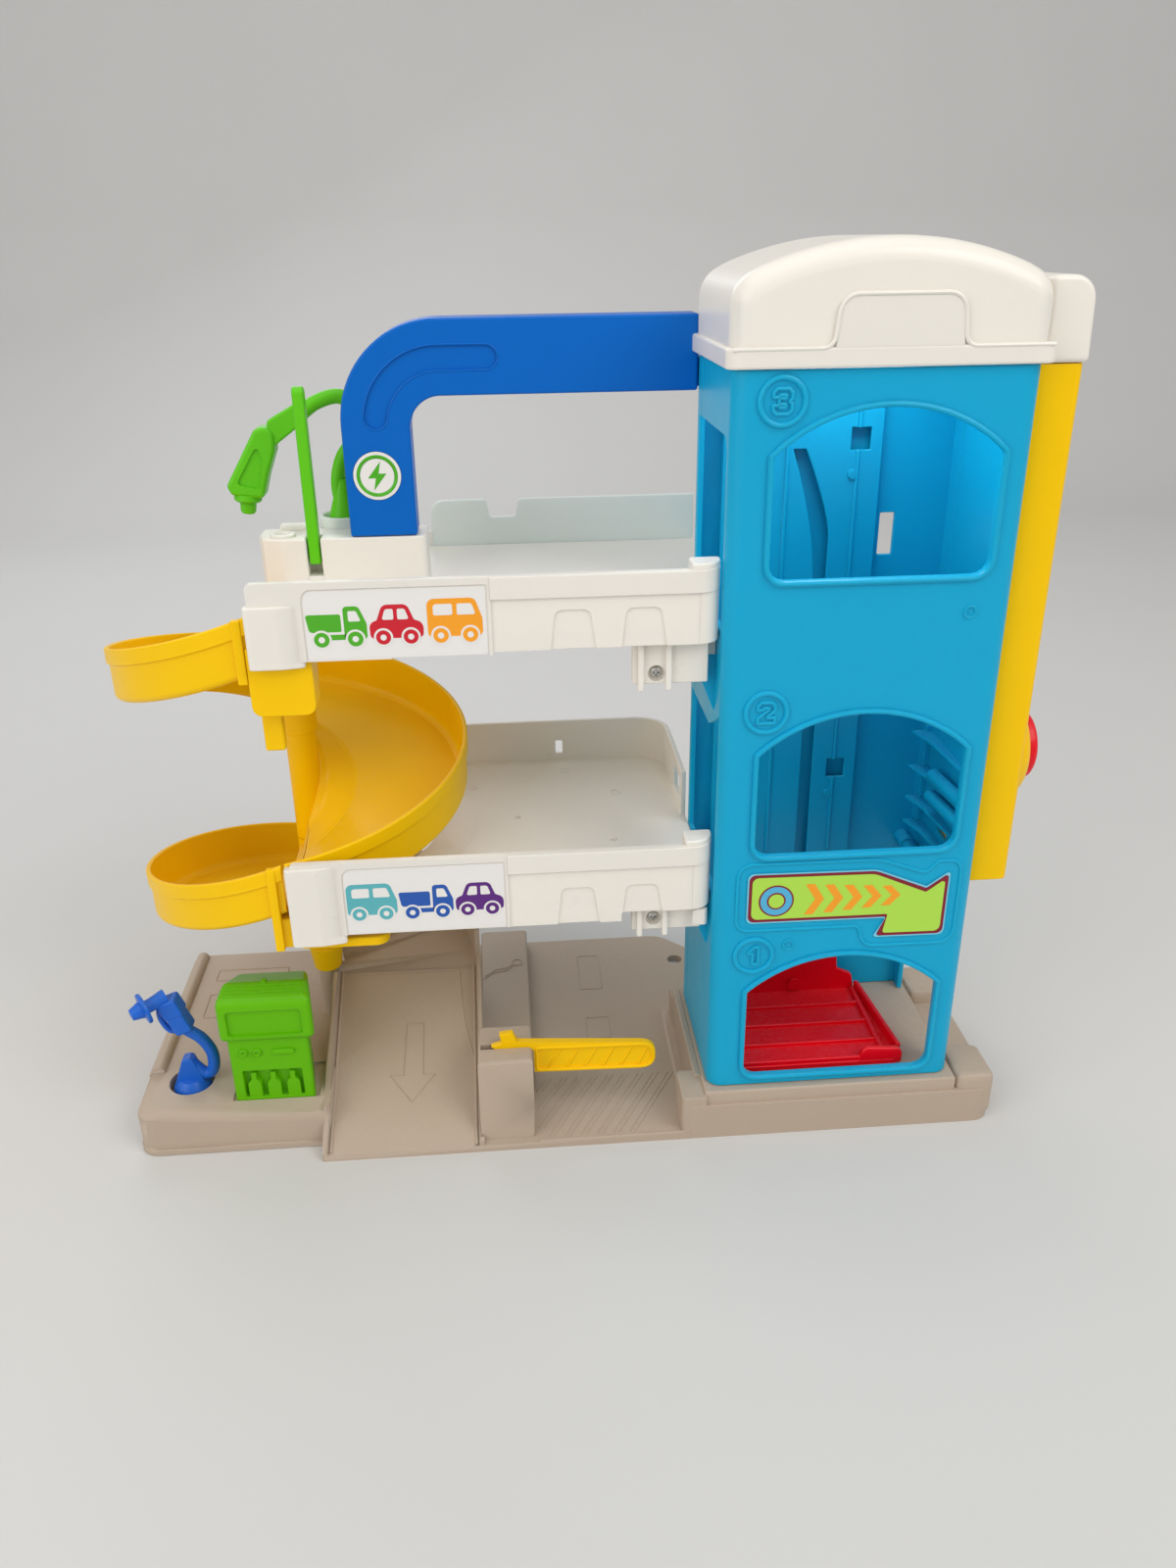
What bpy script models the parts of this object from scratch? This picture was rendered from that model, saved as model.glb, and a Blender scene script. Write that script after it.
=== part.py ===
"""Three-level toy garage with a lift tower, two parking decks and a spiral ramp.

Lengths below are in millimetres and are turned into metres when a mesh is made.
They are measured from the tower's front left corner: +X right, +Y back, +Z up,
Z = 0 on the table. One empty then centres the whole garage over the origin.
"""
import math

import bmesh
import bpy
from mathutils import Matrix, Vector

MM = 0.001
GAP = 0.3
FIT = 0.4

# Lift tower
TOWER_W = 122.0
TOWER_D = 84.0
TOWER_TOP = 364.0
TOWER_WALL = 2.6
TOWER_CORNER_R = 7.0
BACK_SHELL_SIDE = 14.0
GUIDE_DEPTH = 8.0
GUIDE_THICK = 2.0
GUIDE_W = 82.0
GUIDE_SLOT_X = 59.5
GUIDE_SLOT_W = 6.0
GUIDE_SLOT_LEAN = 13.0
GUIDE_SLOT_CURVE = 60.0

# Window in the tower front, the same on each level
WINDOW_LEFT = 14.9
WINDOW_RIGHT_MARGIN = 10.5
WINDOW_TALL = 72.3
WINDOW_ARCH = 20.0
WINDOW_R = 9.0
WINDOW_BEAD = 2.4
BEAD_PROUD = 1.2
WINDOW_HEAD_1 = 102.5
WINDOW_HEAD_ABOVE_FLOOR = 90.0
ARROW_NECK_MARGIN = 44.0
ARROW_TIP_MARGIN = 14.0

# Levels
PLINTH_TOP = 26.5
FLOOR_2 = 135.0
FLOOR_3 = 262.0

# Roof, side cap and side housing
ROOF_OVERHANG = 2.6
ROOF_LIP = 7.6
ROOF_SIDE_TALL = 31.0
ROOF_CROWN_RISE = 15.0
ROOF_EAVES = TOWER_TOP + ROOF_SIDE_TALL
ROOF_PEAK = ROOF_EAVES + ROOF_CROWN_RISE
ROOF_WALL = 2.6
ROOF_SHOULDER_R = 12.0
ROOF_TAB_W = 50.0
ROOF_TAB_BELOW_EAVES = 4.0
ROOF_TAB_TOP = ROOF_EAVES - ROOF_TAB_BELOW_EAVES
HOUSING_W = 20.0
HOUSING_FRONT = 10.0
HOUSING_D = 60.0
HOUSING_BOTTOM = 131.0
HOUSING_WALL = 2.4
SIDE_CAP_TALL = 27.0
BUTTON_Z = 188.0
BEZEL_R = 26.0
BEZEL_TOP_R = 20.5
BEZEL_PROUD = 9.0
BUTTON_R = 16.5
BUTTON_PROUD = 5.0
BUTTON_TRAVEL = 3.0
BUTTON_STEM_R = 5.0

# Battery box in the side housing
CELL_R = 7.0
CELL_L = 50.0
CELL_Z = 250.0
SPEAKER_R = 18.0
SPEAKER_Z = 338.0
BOARD_THICK = 1.6
CONTACT_THICK = 0.8

# Lift
PLATFORM_LEFT = 4.0
PLATFORM_W = 98.0
PLATFORM_FRONT = 8.0
PLATFORM_BACK_CLEAR = 1.2
PLATFORM_RISE = 4.2
PLATFORM_BACK_TALL = 44.0
PLATFORM_RIM = 7.0
PIN_R = 2.2
PIN_ABOVE_FLOOR = 5.0
TILT_AXIS_X = 5.0
TILT_AXIS_ABOVE_PIN = 6.5
TILT_RISE = 16.0

# Decks
DECK_FRONT = 4.0
DECK_BACK = 168.0
DECK_WALL = 2.5
DECK_3_TOP = 287.0
DECK_3_APRON_BOTTOM = 255.5
DECK_2_TOP = 160.0
DECK_2_APRON_BOTTOM = 116.5
DECK_BACK_TOP = 24.0
DECK_END_R = 9.0
LABEL_THICK = 0.3
LABEL_LEFT = -170.0
LABEL_W = 82.0
LABEL_TALL_3 = 27.0
LABEL_TALL_2 = 36.0
BRACKET_W = 27.0
BRACKET_DROP = 19.0
BRACKET_D = 6.0
BLOCK_FRONT = 80.0
BLOCK_LEFT = -203.0
BLOCK_RIGHT = -122.0

# Spiral ramp
RAMP_X = -194.0
RAMP_Y = 90.0
RAMP_R = 82.6
RAMP_WALL = 2.4
RAMP_RIM = 23.0
RAMP_BAND = 7.5
RAMP_BAND_PROUD = 1.2
RAMP_FLOOR = 2.6
RAMP_STEP_DOWN = 12.0
RAMP_EASE = 9.0
RAMP_EASE_ANGLE = 35.0
POST_R = 7.5
SOCKET_R = 9.0
RAMP_STEPS = 32
SPIGOT_R = 4.6
BASE_POST_R = 5.3
BASE_POST_TOP = 63.0

# Handle arch
ARCH_D = 18.0
ARCH_LEG_LEFT = -158.6
ARCH_LEG_W = 30.3
ARCH_TOP = 380.0
ARCH_BAR = 32.0
ARCH_OUTER_R = 44.0
ARCH_INNER_R = 14.0
ARCH_BACK_D = 6.0
BADGE_R = 11.0

# Base
BASE_LEFT = -282.0
BASE_RIGHT = 145.0
BASE_FRONT = -6.0
BASE_BACK = 178.0
BASE_FLOOR = 4.0
BASE_WALL = 2.6
STATION_FRONT = 7.0
STATION_TOP = 23.0
STATION_BACK = 152.0
PLINTH_LEFT = -11.0
PLINTH_BACK = 98.0
LANE_LEFT = -188.0
LANE_RIGHT = -114.0
LANE_LOW = 3.0
LANE_KERB = 9.0
LANE_STEP = 0.6
POST_BLOCK_RIGHT = -86.0
POST_BLOCK_BACK = 35.5
POST_BLOCK_TOP = 45.0
STRIP_TOP = 15.0

# Toll gate on the base and gate on deck 3
GATE_X = -97.0
GATE_Y = 18.0
GATE_Z = 40.5
GATE_LEN = 73.0
GATE_TALL = 17.5
GATE_BAR = 46.4
GATE_TAIL = 14.0
GATE_THICK = 3.4
GATE_PIN_R = 2.6
GATE_OPEN = 80.0
LANE_GATE_X = -169.0
LANE_GATE_Y = 84.5
LANE_GATE_Z = 278.0
LANE_GATE_LEN = 75.0
LANE_GATE_THICK = 5.0
LANE_GATE_WIDE = 7.0
LANE_GATE_PIN_R = 2.2

# Pump, pump hose and charger hose
PUMP_X = -214.0
PUMP_W = 42.0
PUMP_FRONT = 16.0
PUMP_D = 27.0
PUMP_HEAD_W = 45.0
PUMP_HEAD_TALL = 27.0
PUMP_TOP = 86.0
PUMP_WALL = 2.2
HOSE_R = 4.2
PUMP_HOSE_X = -259.0
PUMP_HOSE_Y = 34.0
PUMP_HOLE_R = 11.0
CHARGER_X = -164.0
CHARGER_Y = 111.0
CUP_R = 10.0
CUP_TALL = 11.0
CHARGER_HOSE_R = 4.6
SWIVEL_PIN_R = 3.0

# Screws
SCREW_HEAD_R = 2.7
SCREW_HEAD_TALL = 1.6
SCREW_R = 1.4
SCREW_LEN = 10.0


def descent(angle):
    """Drop of the spiral floor below its start after an angle in degrees."""
    total = FLOOR_3 - RAMP_STEP_DOWN - FLOOR_2
    slope = (total - RAMP_EASE) / 360.0
    return slope * angle + RAMP_EASE * (1.0 - math.exp(-angle / RAMP_EASE_ANGLE))


LANE_TOP = FLOOR_2 - descent(270.0)
LIFT_TRAVEL = FLOOR_3 - PLINTH_TOP - PLATFORM_RISE
HOUSING_RIGHT = TOWER_W + GAP + HOUSING_W
BUTTON_FACE = HOUSING_RIGHT + BEZEL_PROUD + BUTTON_PROUD
WINDOW_HEADS = (
    WINDOW_HEAD_1,
    FLOOR_2 + WINDOW_HEAD_ABOVE_FLOOR,
    FLOOR_3 + WINDOW_HEAD_ABOVE_FLOOR,
)
CENTRE_X = (BASE_LEFT + BUTTON_FACE) / 2.0
CENTRE_Y = (BASE_FRONT + BASE_BACK) / 2.0


def clear_scene():
    """Remove what the file holds before the garage is made."""
    for old in list(bpy.data.objects):
        bpy.data.objects.remove(old, do_unlink=True)


clear_scene()
PARTS = bpy.data.collections.new("toy_garage")
CUTTERS = bpy.data.collections.new("toy_garage_cutters")
bpy.context.scene.collection.children.link(PARTS)
bpy.context.scene.collection.children.link(CUTTERS)

FRAME = bpy.data.objects.new("garage_frame", None)
FRAME.location = (-CENTRE_X * MM, -CENTRE_Y * MM, 0.0)
PARTS.objects.link(FRAME)
FRAME_SHIFT = Matrix.Translation(FRAME.location)

MATERIALS = {}


def material(name, colour, roughness=0.35, metallic=0.0):
    """Principled material, made once for each finish."""
    if name not in MATERIALS:
        made = bpy.data.materials.new(name)
        made.use_nodes = True
        shader = made.node_tree.nodes["Principled BSDF"]
        shader.inputs["Base Color"].default_value = (*colour, 1.0)
        shader.inputs["Roughness"].default_value = roughness
        shader.inputs["Metallic"].default_value = metallic
        MATERIALS[name] = made
    return MATERIALS[name]


FINISHES = {
    "sky_blue": ((0.03, 0.42, 0.66), 0.3, 0.0),
    "royal_blue": ((0.0, 0.13, 0.55), 0.33, 0.0),
    "hose_blue": ((0.02, 0.14, 0.62), 0.4, 0.0),
    "white": ((0.82, 0.80, 0.77), 0.35, 0.0),
    "yellow": ((0.9, 0.6, 0.0), 0.33, 0.0),
    "red": ((0.5, 0.005, 0.015), 0.35, 0.0),
    "green": ((0.1, 0.47, 0.02), 0.38, 0.0),
    "taupe": ((0.42, 0.36, 0.31), 0.42, 0.0),
    "label": ((0.8, 0.8, 0.8), 0.4, 0.0),
    "steel": ((0.45, 0.45, 0.44), 0.35, 1.0),
    "board": ((0.02, 0.12, 0.05), 0.5, 0.0),
    "black": ((0.02, 0.02, 0.02), 0.5, 0.0),
    "cell": ((0.10, 0.10, 0.11), 0.4, 0.0),
}


def finish(obj, name, pivot=None):
    """Give a piece its node name, its material and its place under the frame."""
    colour, roughness, metallic = FINISHES[name]
    obj.data.materials.clear()
    obj.data.materials.append(material(name, colour, roughness, metallic))
    CUTTERS.objects.unlink(obj)
    PARTS.objects.link(obj)
    obj.hide_render = False
    obj.display_type = "TEXTURED"
    if pivot is not None:
        point = Vector(pivot) * MM
        obj.data.transform(Matrix.Translation(-point))
        obj.location = point
    return obj


def helper(name, mesh):
    """Link a mesh as a hidden wire helper until it is finished or used as a tool."""
    obj = bpy.data.objects.new(name, mesh)
    CUTTERS.objects.link(obj)
    obj.parent = FRAME
    obj.hide_render = True
    obj.display_type = "WIRE"
    return obj


def mesh_object(name, form):
    """Turn a bmesh in millimetres into a helper object in metres."""
    bmesh.ops.scale(form, vec=(MM, MM, MM), verts=form.verts)
    mesh = bpy.data.meshes.new(name)
    form.to_mesh(mesh)
    form.free()
    return helper(name, mesh)


def box(name, x, y, z):
    """Box between the two limits given for each axis."""
    form = bmesh.new()
    bmesh.ops.create_cube(form, size=1.0)
    size = Vector((x[1] - x[0], y[1] - y[0], z[1] - z[0]))
    middle = Vector((x[0] + x[1], y[0] + y[1], z[0] + z[1])) / 2.0
    bmesh.ops.scale(form, vec=size, verts=form.verts)
    bmesh.ops.translate(form, vec=middle, verts=form.verts)
    return mesh_object(name, form)


AXES = {
    "X": Matrix.Rotation(math.radians(90.0), 4, "Y"),
    "Y": Matrix.Rotation(math.radians(-90.0), 4, "X"),
    "Z": Matrix.Identity(4),
}


def rod(name, axis, start, length, radius, top_radius=None, sides=16):
    """Cylinder or cone from a start point along +X, +Y or +Z."""
    form = bmesh.new()
    bmesh.ops.create_cone(
        form,
        cap_ends=True,
        segments=sides,
        radius1=radius,
        radius2=radius if top_radius is None else top_radius,
        depth=length,
    )
    bmesh.ops.translate(form, vec=(0.0, 0.0, length / 2.0), verts=form.verts)
    place = Matrix.Translation(Vector(start)) @ AXES[axis]
    bmesh.ops.transform(form, matrix=place, verts=form.verts)
    return mesh_object(name, form)


def arc(centre, radius, start, end, steps):
    """Points of a round stretch, angles in degrees."""
    points = []
    for step in range(steps + 1):
        angle = math.radians(start + (end - start) * step / steps)
        x = centre[0] + radius * math.cos(angle)
        y = centre[1] + radius * math.sin(angle)
        points.append((x, y))
    return points


def rounded(corners, steps=3):
    """Outline with each corner (x, y, radius) rounded by an arc."""
    points = []
    count = len(corners)
    for index, (x, y, radius) in enumerate(corners):
        here = Vector((x, y))
        before = Vector(corners[index - 1][:2])
        after = Vector(corners[(index + 1) % count][:2])
        if radius <= 0.0:
            points.append((x, y))
            continue
        back = (before - here).normalized()
        ahead = (after - here).normalized()
        half = back.angle(ahead) / 2.0
        reach = radius / math.tan(half)
        centre = here + (back + ahead).normalized() * (radius / math.sin(half))
        first = here + back * reach - centre
        last = here + ahead * reach - centre
        sweep = first.angle_signed(last)
        for step in range(steps + 1):
            turn = Matrix.Rotation(-sweep * step / steps, 2)
            point = centre + turn @ first
            points.append((point.x, point.y))
    return points


PLANES = {
    "XY": Matrix.Identity(4),
    "XZ": Matrix(((1, 0, 0, 0), (0, 0, -1, 0), (0, 1, 0, 0), (0, 0, 0, 1))),
    "YZ": Matrix(((0, 0, 1, 0), (1, 0, 0, 0), (0, 1, 0, 0), (0, 0, 0, 1))),
}


def plate(name, plane, loops, limits):
    """Flat outline, with any holes, given a thickness across its plane."""
    curve = bpy.data.curves.new(name, "CURVE")
    curve.dimensions = "2D"
    curve.fill_mode = "BOTH"
    curve.extrude = (limits[1] - limits[0]) / 2.0
    for loop in loops:
        spline = curve.splines.new("POLY")
        spline.points.add(len(loop) - 1)
        for point, (u, v) in zip(spline.points, loop):
            point.co = (u, v, 0.0, 1.0)
        spline.use_cyclic_u = True
    holder = bpy.data.objects.new(name, curve)
    CUTTERS.objects.link(holder)
    bpy.context.view_layer.update()
    graph = bpy.context.evaluated_depsgraph_get()
    mesh = bpy.data.meshes.new_from_object(holder.evaluated_get(graph))
    bpy.data.objects.remove(holder, do_unlink=True)
    form = bmesh.new()
    form.from_mesh(mesh)
    bpy.data.meshes.remove(mesh)
    bmesh.ops.remove_doubles(form, verts=form.verts, dist=0.001)
    middle = (limits[0] + limits[1]) / 2.0
    across = -middle if plane == "XZ" else middle
    turn = PLANES[plane] @ Matrix.Translation((0.0, 0.0, across))
    bmesh.ops.transform(form, matrix=turn, verts=form.verts)
    bmesh.ops.recalc_face_normals(form, faces=form.faces)
    return mesh_object(name, form)


def loft(name, rings):
    """Closed skin through rings of the same number of points, capped at both ends."""
    form = bmesh.new()
    rows = [[form.verts.new(point) for point in ring] for ring in rings]
    for first, second in zip(rows, rows[1:]):
        for index in range(len(first)):
            after = (index + 1) % len(first)
            form.faces.new((first[index], first[after], second[after], second[index]))
    form.faces.new(list(reversed(rows[0])))
    form.faces.new(rows[-1])
    form.normal_update()
    bmesh.ops.triangulate(
        form, faces=form.faces, quad_method="SHORT_EDGE", ngon_method="EAR_CLIP"
    )
    bmesh.ops.recalc_face_normals(form, faces=form.faces)
    return mesh_object(name, form)


def tube(name, points, radii, resolution=2):
    """Round bar along a smooth curve, its radius given at each point."""
    curve = bpy.data.curves.new(name, "CURVE")
    curve.dimensions = "3D"
    curve.bevel_depth = 1.0
    curve.bevel_resolution = resolution
    curve.use_fill_caps = True
    spline = curve.splines.new("POLY")
    spline.points.add(len(points) - 1)
    for point, place, radius in zip(spline.points, points, radii):
        point.co = (*place, 1.0)
        point.radius = radius
    holder = bpy.data.objects.new(name, curve)
    CUTTERS.objects.link(holder)
    bpy.context.view_layer.update()
    graph = bpy.context.evaluated_depsgraph_get()
    mesh = bpy.data.meshes.new_from_object(holder.evaluated_get(graph))
    bpy.data.objects.remove(holder, do_unlink=True)
    form = bmesh.new()
    form.from_mesh(mesh)
    bpy.data.meshes.remove(mesh)
    bmesh.ops.remove_doubles(form, verts=form.verts, dist=0.001)
    bmesh.ops.recalc_face_normals(form, faces=form.faces)
    return mesh_object(name, form)


def smooth_path(knots, per_span):
    """Catmull-Rom points through the knots of a route."""
    ends = [knots[0] * 2 - knots[1], *knots, knots[-1] * 2 - knots[-2]]
    points = []
    for a, b, c, d in zip(ends, ends[1:], ends[2:], ends[3:]):
        for step in range(per_span):
            t = step / per_span
            points.append(
                0.5
                * (
                    2.0 * b
                    + (c - a) * t
                    + (2.0 * a - 5.0 * b + 4.0 * c - d) * t**2
                    + (3.0 * b - a - 3.0 * c + d) * t**3
                )
            )
    points.append(knots[-1])
    return points


def boolean(obj, tools, operation):
    """Cut or join tools, which stay behind as hidden helpers."""
    for tool in tools:
        step = obj.modifiers.new(operation.lower(), "BOOLEAN")
        step.operation = operation
        step.solver = "EXACT"
        step.object = tool
    return obj


def cut(obj, *tools):
    """Take the tools away from a piece."""
    return boolean(obj, tools, "DIFFERENCE")


def add(obj, *tools):
    """Join the tools to a piece."""
    return boolean(obj, tools, "UNION")


def bevel(obj, width, segments=2, angle=40.0):
    """Round the sharp edges of a piece."""
    step = obj.modifiers.new("rounded_edges", "BEVEL")
    step.width = width * MM
    step.segments = segments
    step.limit_method = "ANGLE"
    step.angle_limit = math.radians(angle)
    return obj


SIGNS = {"+": 1.0, "-": -1.0}


def screw(name, heading, head_face):
    """Pan-head screw, its head face at a point, its shank along a heading like +Y."""
    side, axis = SIGNS[heading[0]], heading[1]
    step = Vector({"X": (1, 0, 0), "Y": (0, 1, 0), "Z": (0, 0, 1)}[axis]) * side
    face = Vector(head_face)
    head_start = face if side > 0 else face + step * SCREW_HEAD_TALL
    shank_from = face + step * (SCREW_HEAD_TALL * 0.5)
    shank_len = SCREW_LEN - SCREW_HEAD_TALL * 0.5
    shank_start = shank_from if side > 0 else shank_from + step * shank_len
    head = rod(name, axis, head_start, SCREW_HEAD_TALL, SCREW_HEAD_R, sides=12)
    shank = rod(f"{name}_shank", axis, shank_start, shank_len, SCREW_R, sides=8)
    add(head, shank)
    return head


def screw_hole(name, heading, head_face, sink=0.0):
    """Bore for the same screw, with clearance all round and a countersunk seat."""
    side, axis = SIGNS[heading[0]], heading[1]
    step = Vector({"X": (1, 0, 0), "Y": (0, 1, 0), "Z": (0, 0, 1)}[axis]) * side
    seat_len = SCREW_HEAD_TALL + GAP + sink
    seat_from = Vector(head_face) - step * sink
    bore_len = SCREW_LEN + FIT
    bore_from = Vector(head_face)
    seat_start = seat_from if side > 0 else seat_from + step * seat_len
    bore_start = bore_from if side > 0 else bore_from + step * bore_len
    seat = rod(f"{name}_seat", axis, seat_start, seat_len, SCREW_HEAD_R + FIT, sides=12)
    bore = rod(f"{name}_bore", axis, bore_start, bore_len, SCREW_R + FIT, sides=8)
    return [seat, bore]


def window_outline(head, inset):
    """Arched window outline in X and Z, drawn in by an inset."""
    left = WINDOW_LEFT + inset
    right = TOWER_W - WINDOW_RIGHT_MARGIN - inset
    bottom = head - WINDOW_TALL + inset
    shoulder = head - WINDOW_ARCH
    half = (right - left) / 2.0
    rise = WINDOW_ARCH - inset
    radius = (half**2 + rise**2) / (2.0 * rise)
    middle = (left + right) / 2.0
    spread = math.degrees(math.asin(half / radius))
    top = arc((middle, shoulder + rise - radius), radius, 90.0 - spread, 90.0 + spread, 12)
    corner = WINDOW_R - inset
    low_left = arc((left + corner, bottom + corner), corner, 180.0, 270.0, 4)
    low_right = arc((right - corner, bottom + corner), corner, 270.0, 360.0, 4)
    return low_left + low_right + top


def tower_front():
    """Front and sides of the tower, with windows, doors, beads and deck lugs."""
    seam = TOWER_D - BACK_SHELL_SIDE
    w, t, r = TOWER_W, TOWER_WALL, TOWER_CORNER_R
    inner = r - t
    outer = [(0.0, seam)] + arc((r, r), r, 180.0, 270.0, 5)
    outer += arc((w - r, r), r, 270.0, 360.0, 5) + [(w, seam), (w - t, seam)]
    outer += arc((w - r, r), inner, 360.0, 270.0, 5)
    outer += arc((r, r), inner, 270.0, 180.0, 5) + [(t, seam)]
    bottom = PLINTH_TOP + GAP
    shell = plate("tower_front_shell", "XY", [outer], (bottom, TOWER_TOP))
    for number, head in enumerate(WINDOW_HEADS, 1):
        bead = plate(
            f"bead_{number}",
            "XZ",
            [window_outline(head, 0.0)],
            (-BEAD_PROUD, t * 0.5),
        )
        add(shell, bead)
        hole = plate(
            f"window_{number}",
            "XZ",
            [window_outline(head, WINDOW_BEAD)],
            (-BEAD_PROUD * 3.0, t * 2.0),
        )
        cut(shell, hole)
    door_back = seam + 1.0
    door_3 = [
        (9.0, FLOOR_3 - DECK_WALL - GAP, 0.0),
        (door_back, FLOOR_3 - DECK_WALL - GAP, 0.0),
        (door_back, FLOOR_3 + 76.0, 0.0),
        (9.0, FLOOR_3 + 76.0, 6.0),
    ]
    door_2 = [
        (6.0, FLOOR_2 - DECK_WALL - GAP, 0.0),
        (door_back, FLOOR_2 - DECK_WALL - GAP, 0.0),
        (door_back, FLOOR_2 + 74.0, 0.0),
        (30.0, FLOOR_2 + 74.0, 0.0),
        (6.0, FLOOR_2 + 86.0, 0.0),
    ]
    for number, corners in ((2, door_2), (3, door_3)):
        cut(shell, plate(f"left_door_{number}", "YZ", [rounded(corners)], (-3.0, t * 2.0)))
    entry_top = HOUSING_BOTTOM - 22.0
    entry = box("car_entry", (w - t * 2.0, w + 3.0), (12.0, door_back), (0.0, entry_top))
    cut(shell, entry)
    slots = housing_hook_slots()
    cut(shell, *slots)
    for number, floor in ((2, FLOOR_2), (3, FLOOR_3)):
        lug_z = bracket_limits(floor)
        lug = box(
            f"lug_{number}",
            (-BRACKET_W + 8.0, t * 0.5),
            (bracket_front() + BRACKET_D + GAP, bracket_front() + BRACKET_D + 9.0),
            (lug_z[0] + 2.0, lug_z[1] - 4.0),
        )
        add(shell, lug)
    for number, (heading, point) in enumerate(deck_screw_places()):
        cut(shell, *screw_hole(f"deck_bore_{number}", heading, point))
    for number, (heading, point) in enumerate(tower_screw_places()):
        boss = rod(f"boss_{number}", "Y", (point[0], seam - 16.0, point[2]), 15.6, 4.0, sides=12)
        web_x = (1.0, point[0]) if point[0] < w / 2.0 else (point[0], w - 1.0)
        web = box(
            f"web_{number}",
            web_x,
            (seam - 15.0, seam - 1.0),
            (point[2] - 1.1, point[2] + 1.1),
        )
        add(shell, boss, web)
        cut(shell, *screw_hole(f"tower_bore_{number}", heading, point))
    return finish(shell, "sky_blue")


def bracket_front():
    """Front face of the brackets below the decks."""
    return DECK_FRONT + DECK_WALL + 5.0


def bracket_limits(floor):
    """Bottom and top of the bracket below a deck floor."""
    apron_bottom = DECK_3_APRON_BOTTOM if floor == FLOOR_3 else DECK_2_APRON_BOTTOM
    bottom = apron_bottom - BRACKET_DROP if floor == FLOOR_3 else apron_bottom - 7.0
    return bottom, floor - DECK_WALL * 0.5


def deck_screw_places():
    """Heading and head face of the screw in each deck bracket."""
    places = []
    for floor in (FLOOR_2, FLOOR_3):
        low = bracket_limits(floor)[0]
        point = (-BRACKET_W + 14.0, bracket_front() - SCREW_HEAD_TALL * 0.5, low + 7.0)
        places.append(("+Y", point))
    return places


def tower_screw_places():
    """Screws through the back shell into bosses of the front shell."""
    edge = TOWER_WALL + 4.4
    back = TOWER_D - SCREW_HEAD_TALL * 0.5
    right = TOWER_W - edge
    top = TOWER_TOP - 14.0
    return [
        ("-Y", (right, back, FLOOR_2 - 16.0)),
        ("-Y", (right, back, FLOOR_3 - 22.0)),
        ("-Y", (right, back, top)),
        ("-Y", (edge, back, top)),
    ]


def tower_back():
    """Back cover of the tower with short sides that meet the front shell."""
    seam = TOWER_D - BACK_SHELL_SIDE + GAP
    w, d, t, r = TOWER_W, TOWER_D, TOWER_WALL, TOWER_CORNER_R * 0.6
    section = [(0.0, seam), (t, seam), (t, d - t), (w - t, d - t), (w - t, seam), (w, seam)]
    section += arc((w - r, d - r), r, 0.0, 90.0, 4)
    section += arc((r, d - r), r, 90.0, 180.0, 4)
    shell = plate("tower_back_shell", "XY", [section], (PLINTH_TOP + GAP, TOWER_TOP))
    lamp_x = GUIDE_W + TOWER_WALL + 7.0
    slot = box("back_slot", (lamp_x - 3.5, lamp_x + 3.5), (d - 6.0, d + 3.0), (271.0, 291.0))
    foot = box("back_entry", (w - t * 2.0, w + 3.0), (seam - 3.0, seam + 4.0), (0.0, HOUSING_BOTTOM - 22.0))
    door = box("back_door_2", (-3.0, t * 2.0), (seam - 3.0, seam + 6.0), (FLOOR_2, FLOOR_2 + 74.0))
    upper = box("back_door_3", (-3.0, t * 2.0), (seam - 3.0, seam + 5.0), (FLOOR_3, FLOOR_3 + 76.0))
    cut(shell, slot, foot, door, upper)
    for number, (heading, point) in enumerate(tower_screw_places()):
        start = (point[0], seam + 0.4, point[2])
        boss = rod(f"back_boss_{number}", "Y", start, d - t * 0.5 - start[1], 4.0, sides=12)
        web_x = (1.0, point[0]) if point[0] < w / 2.0 else (point[0], w - 1.0)
        web = box(
            f"back_web_{number}",
            web_x,
            (seam + 1.0, d - t * 0.6),
            (point[2] - 1.1, point[2] + 1.1),
        )
        add(shell, boss, web)
    for number, (heading, point) in enumerate(tower_screw_places()):
        cut(shell, *screw_hole(f"back_bore_{number}", heading, point, sink=2.0))
    for number, (heading, point) in enumerate(arch_screw_places()):
        cut(shell, *screw_hole(f"arch_bore_{number}", heading, point))
    return finish(shell, "sky_blue")


def guide_limits():
    """X limits and Y limits of the guide plate inside the tower."""
    left = TOWER_WALL + 8.9
    return (left, TOWER_WALL + GUIDE_W), (TOWER_D - GUIDE_DEPTH, TOWER_D - GUIDE_DEPTH + GUIDE_THICK)


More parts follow.
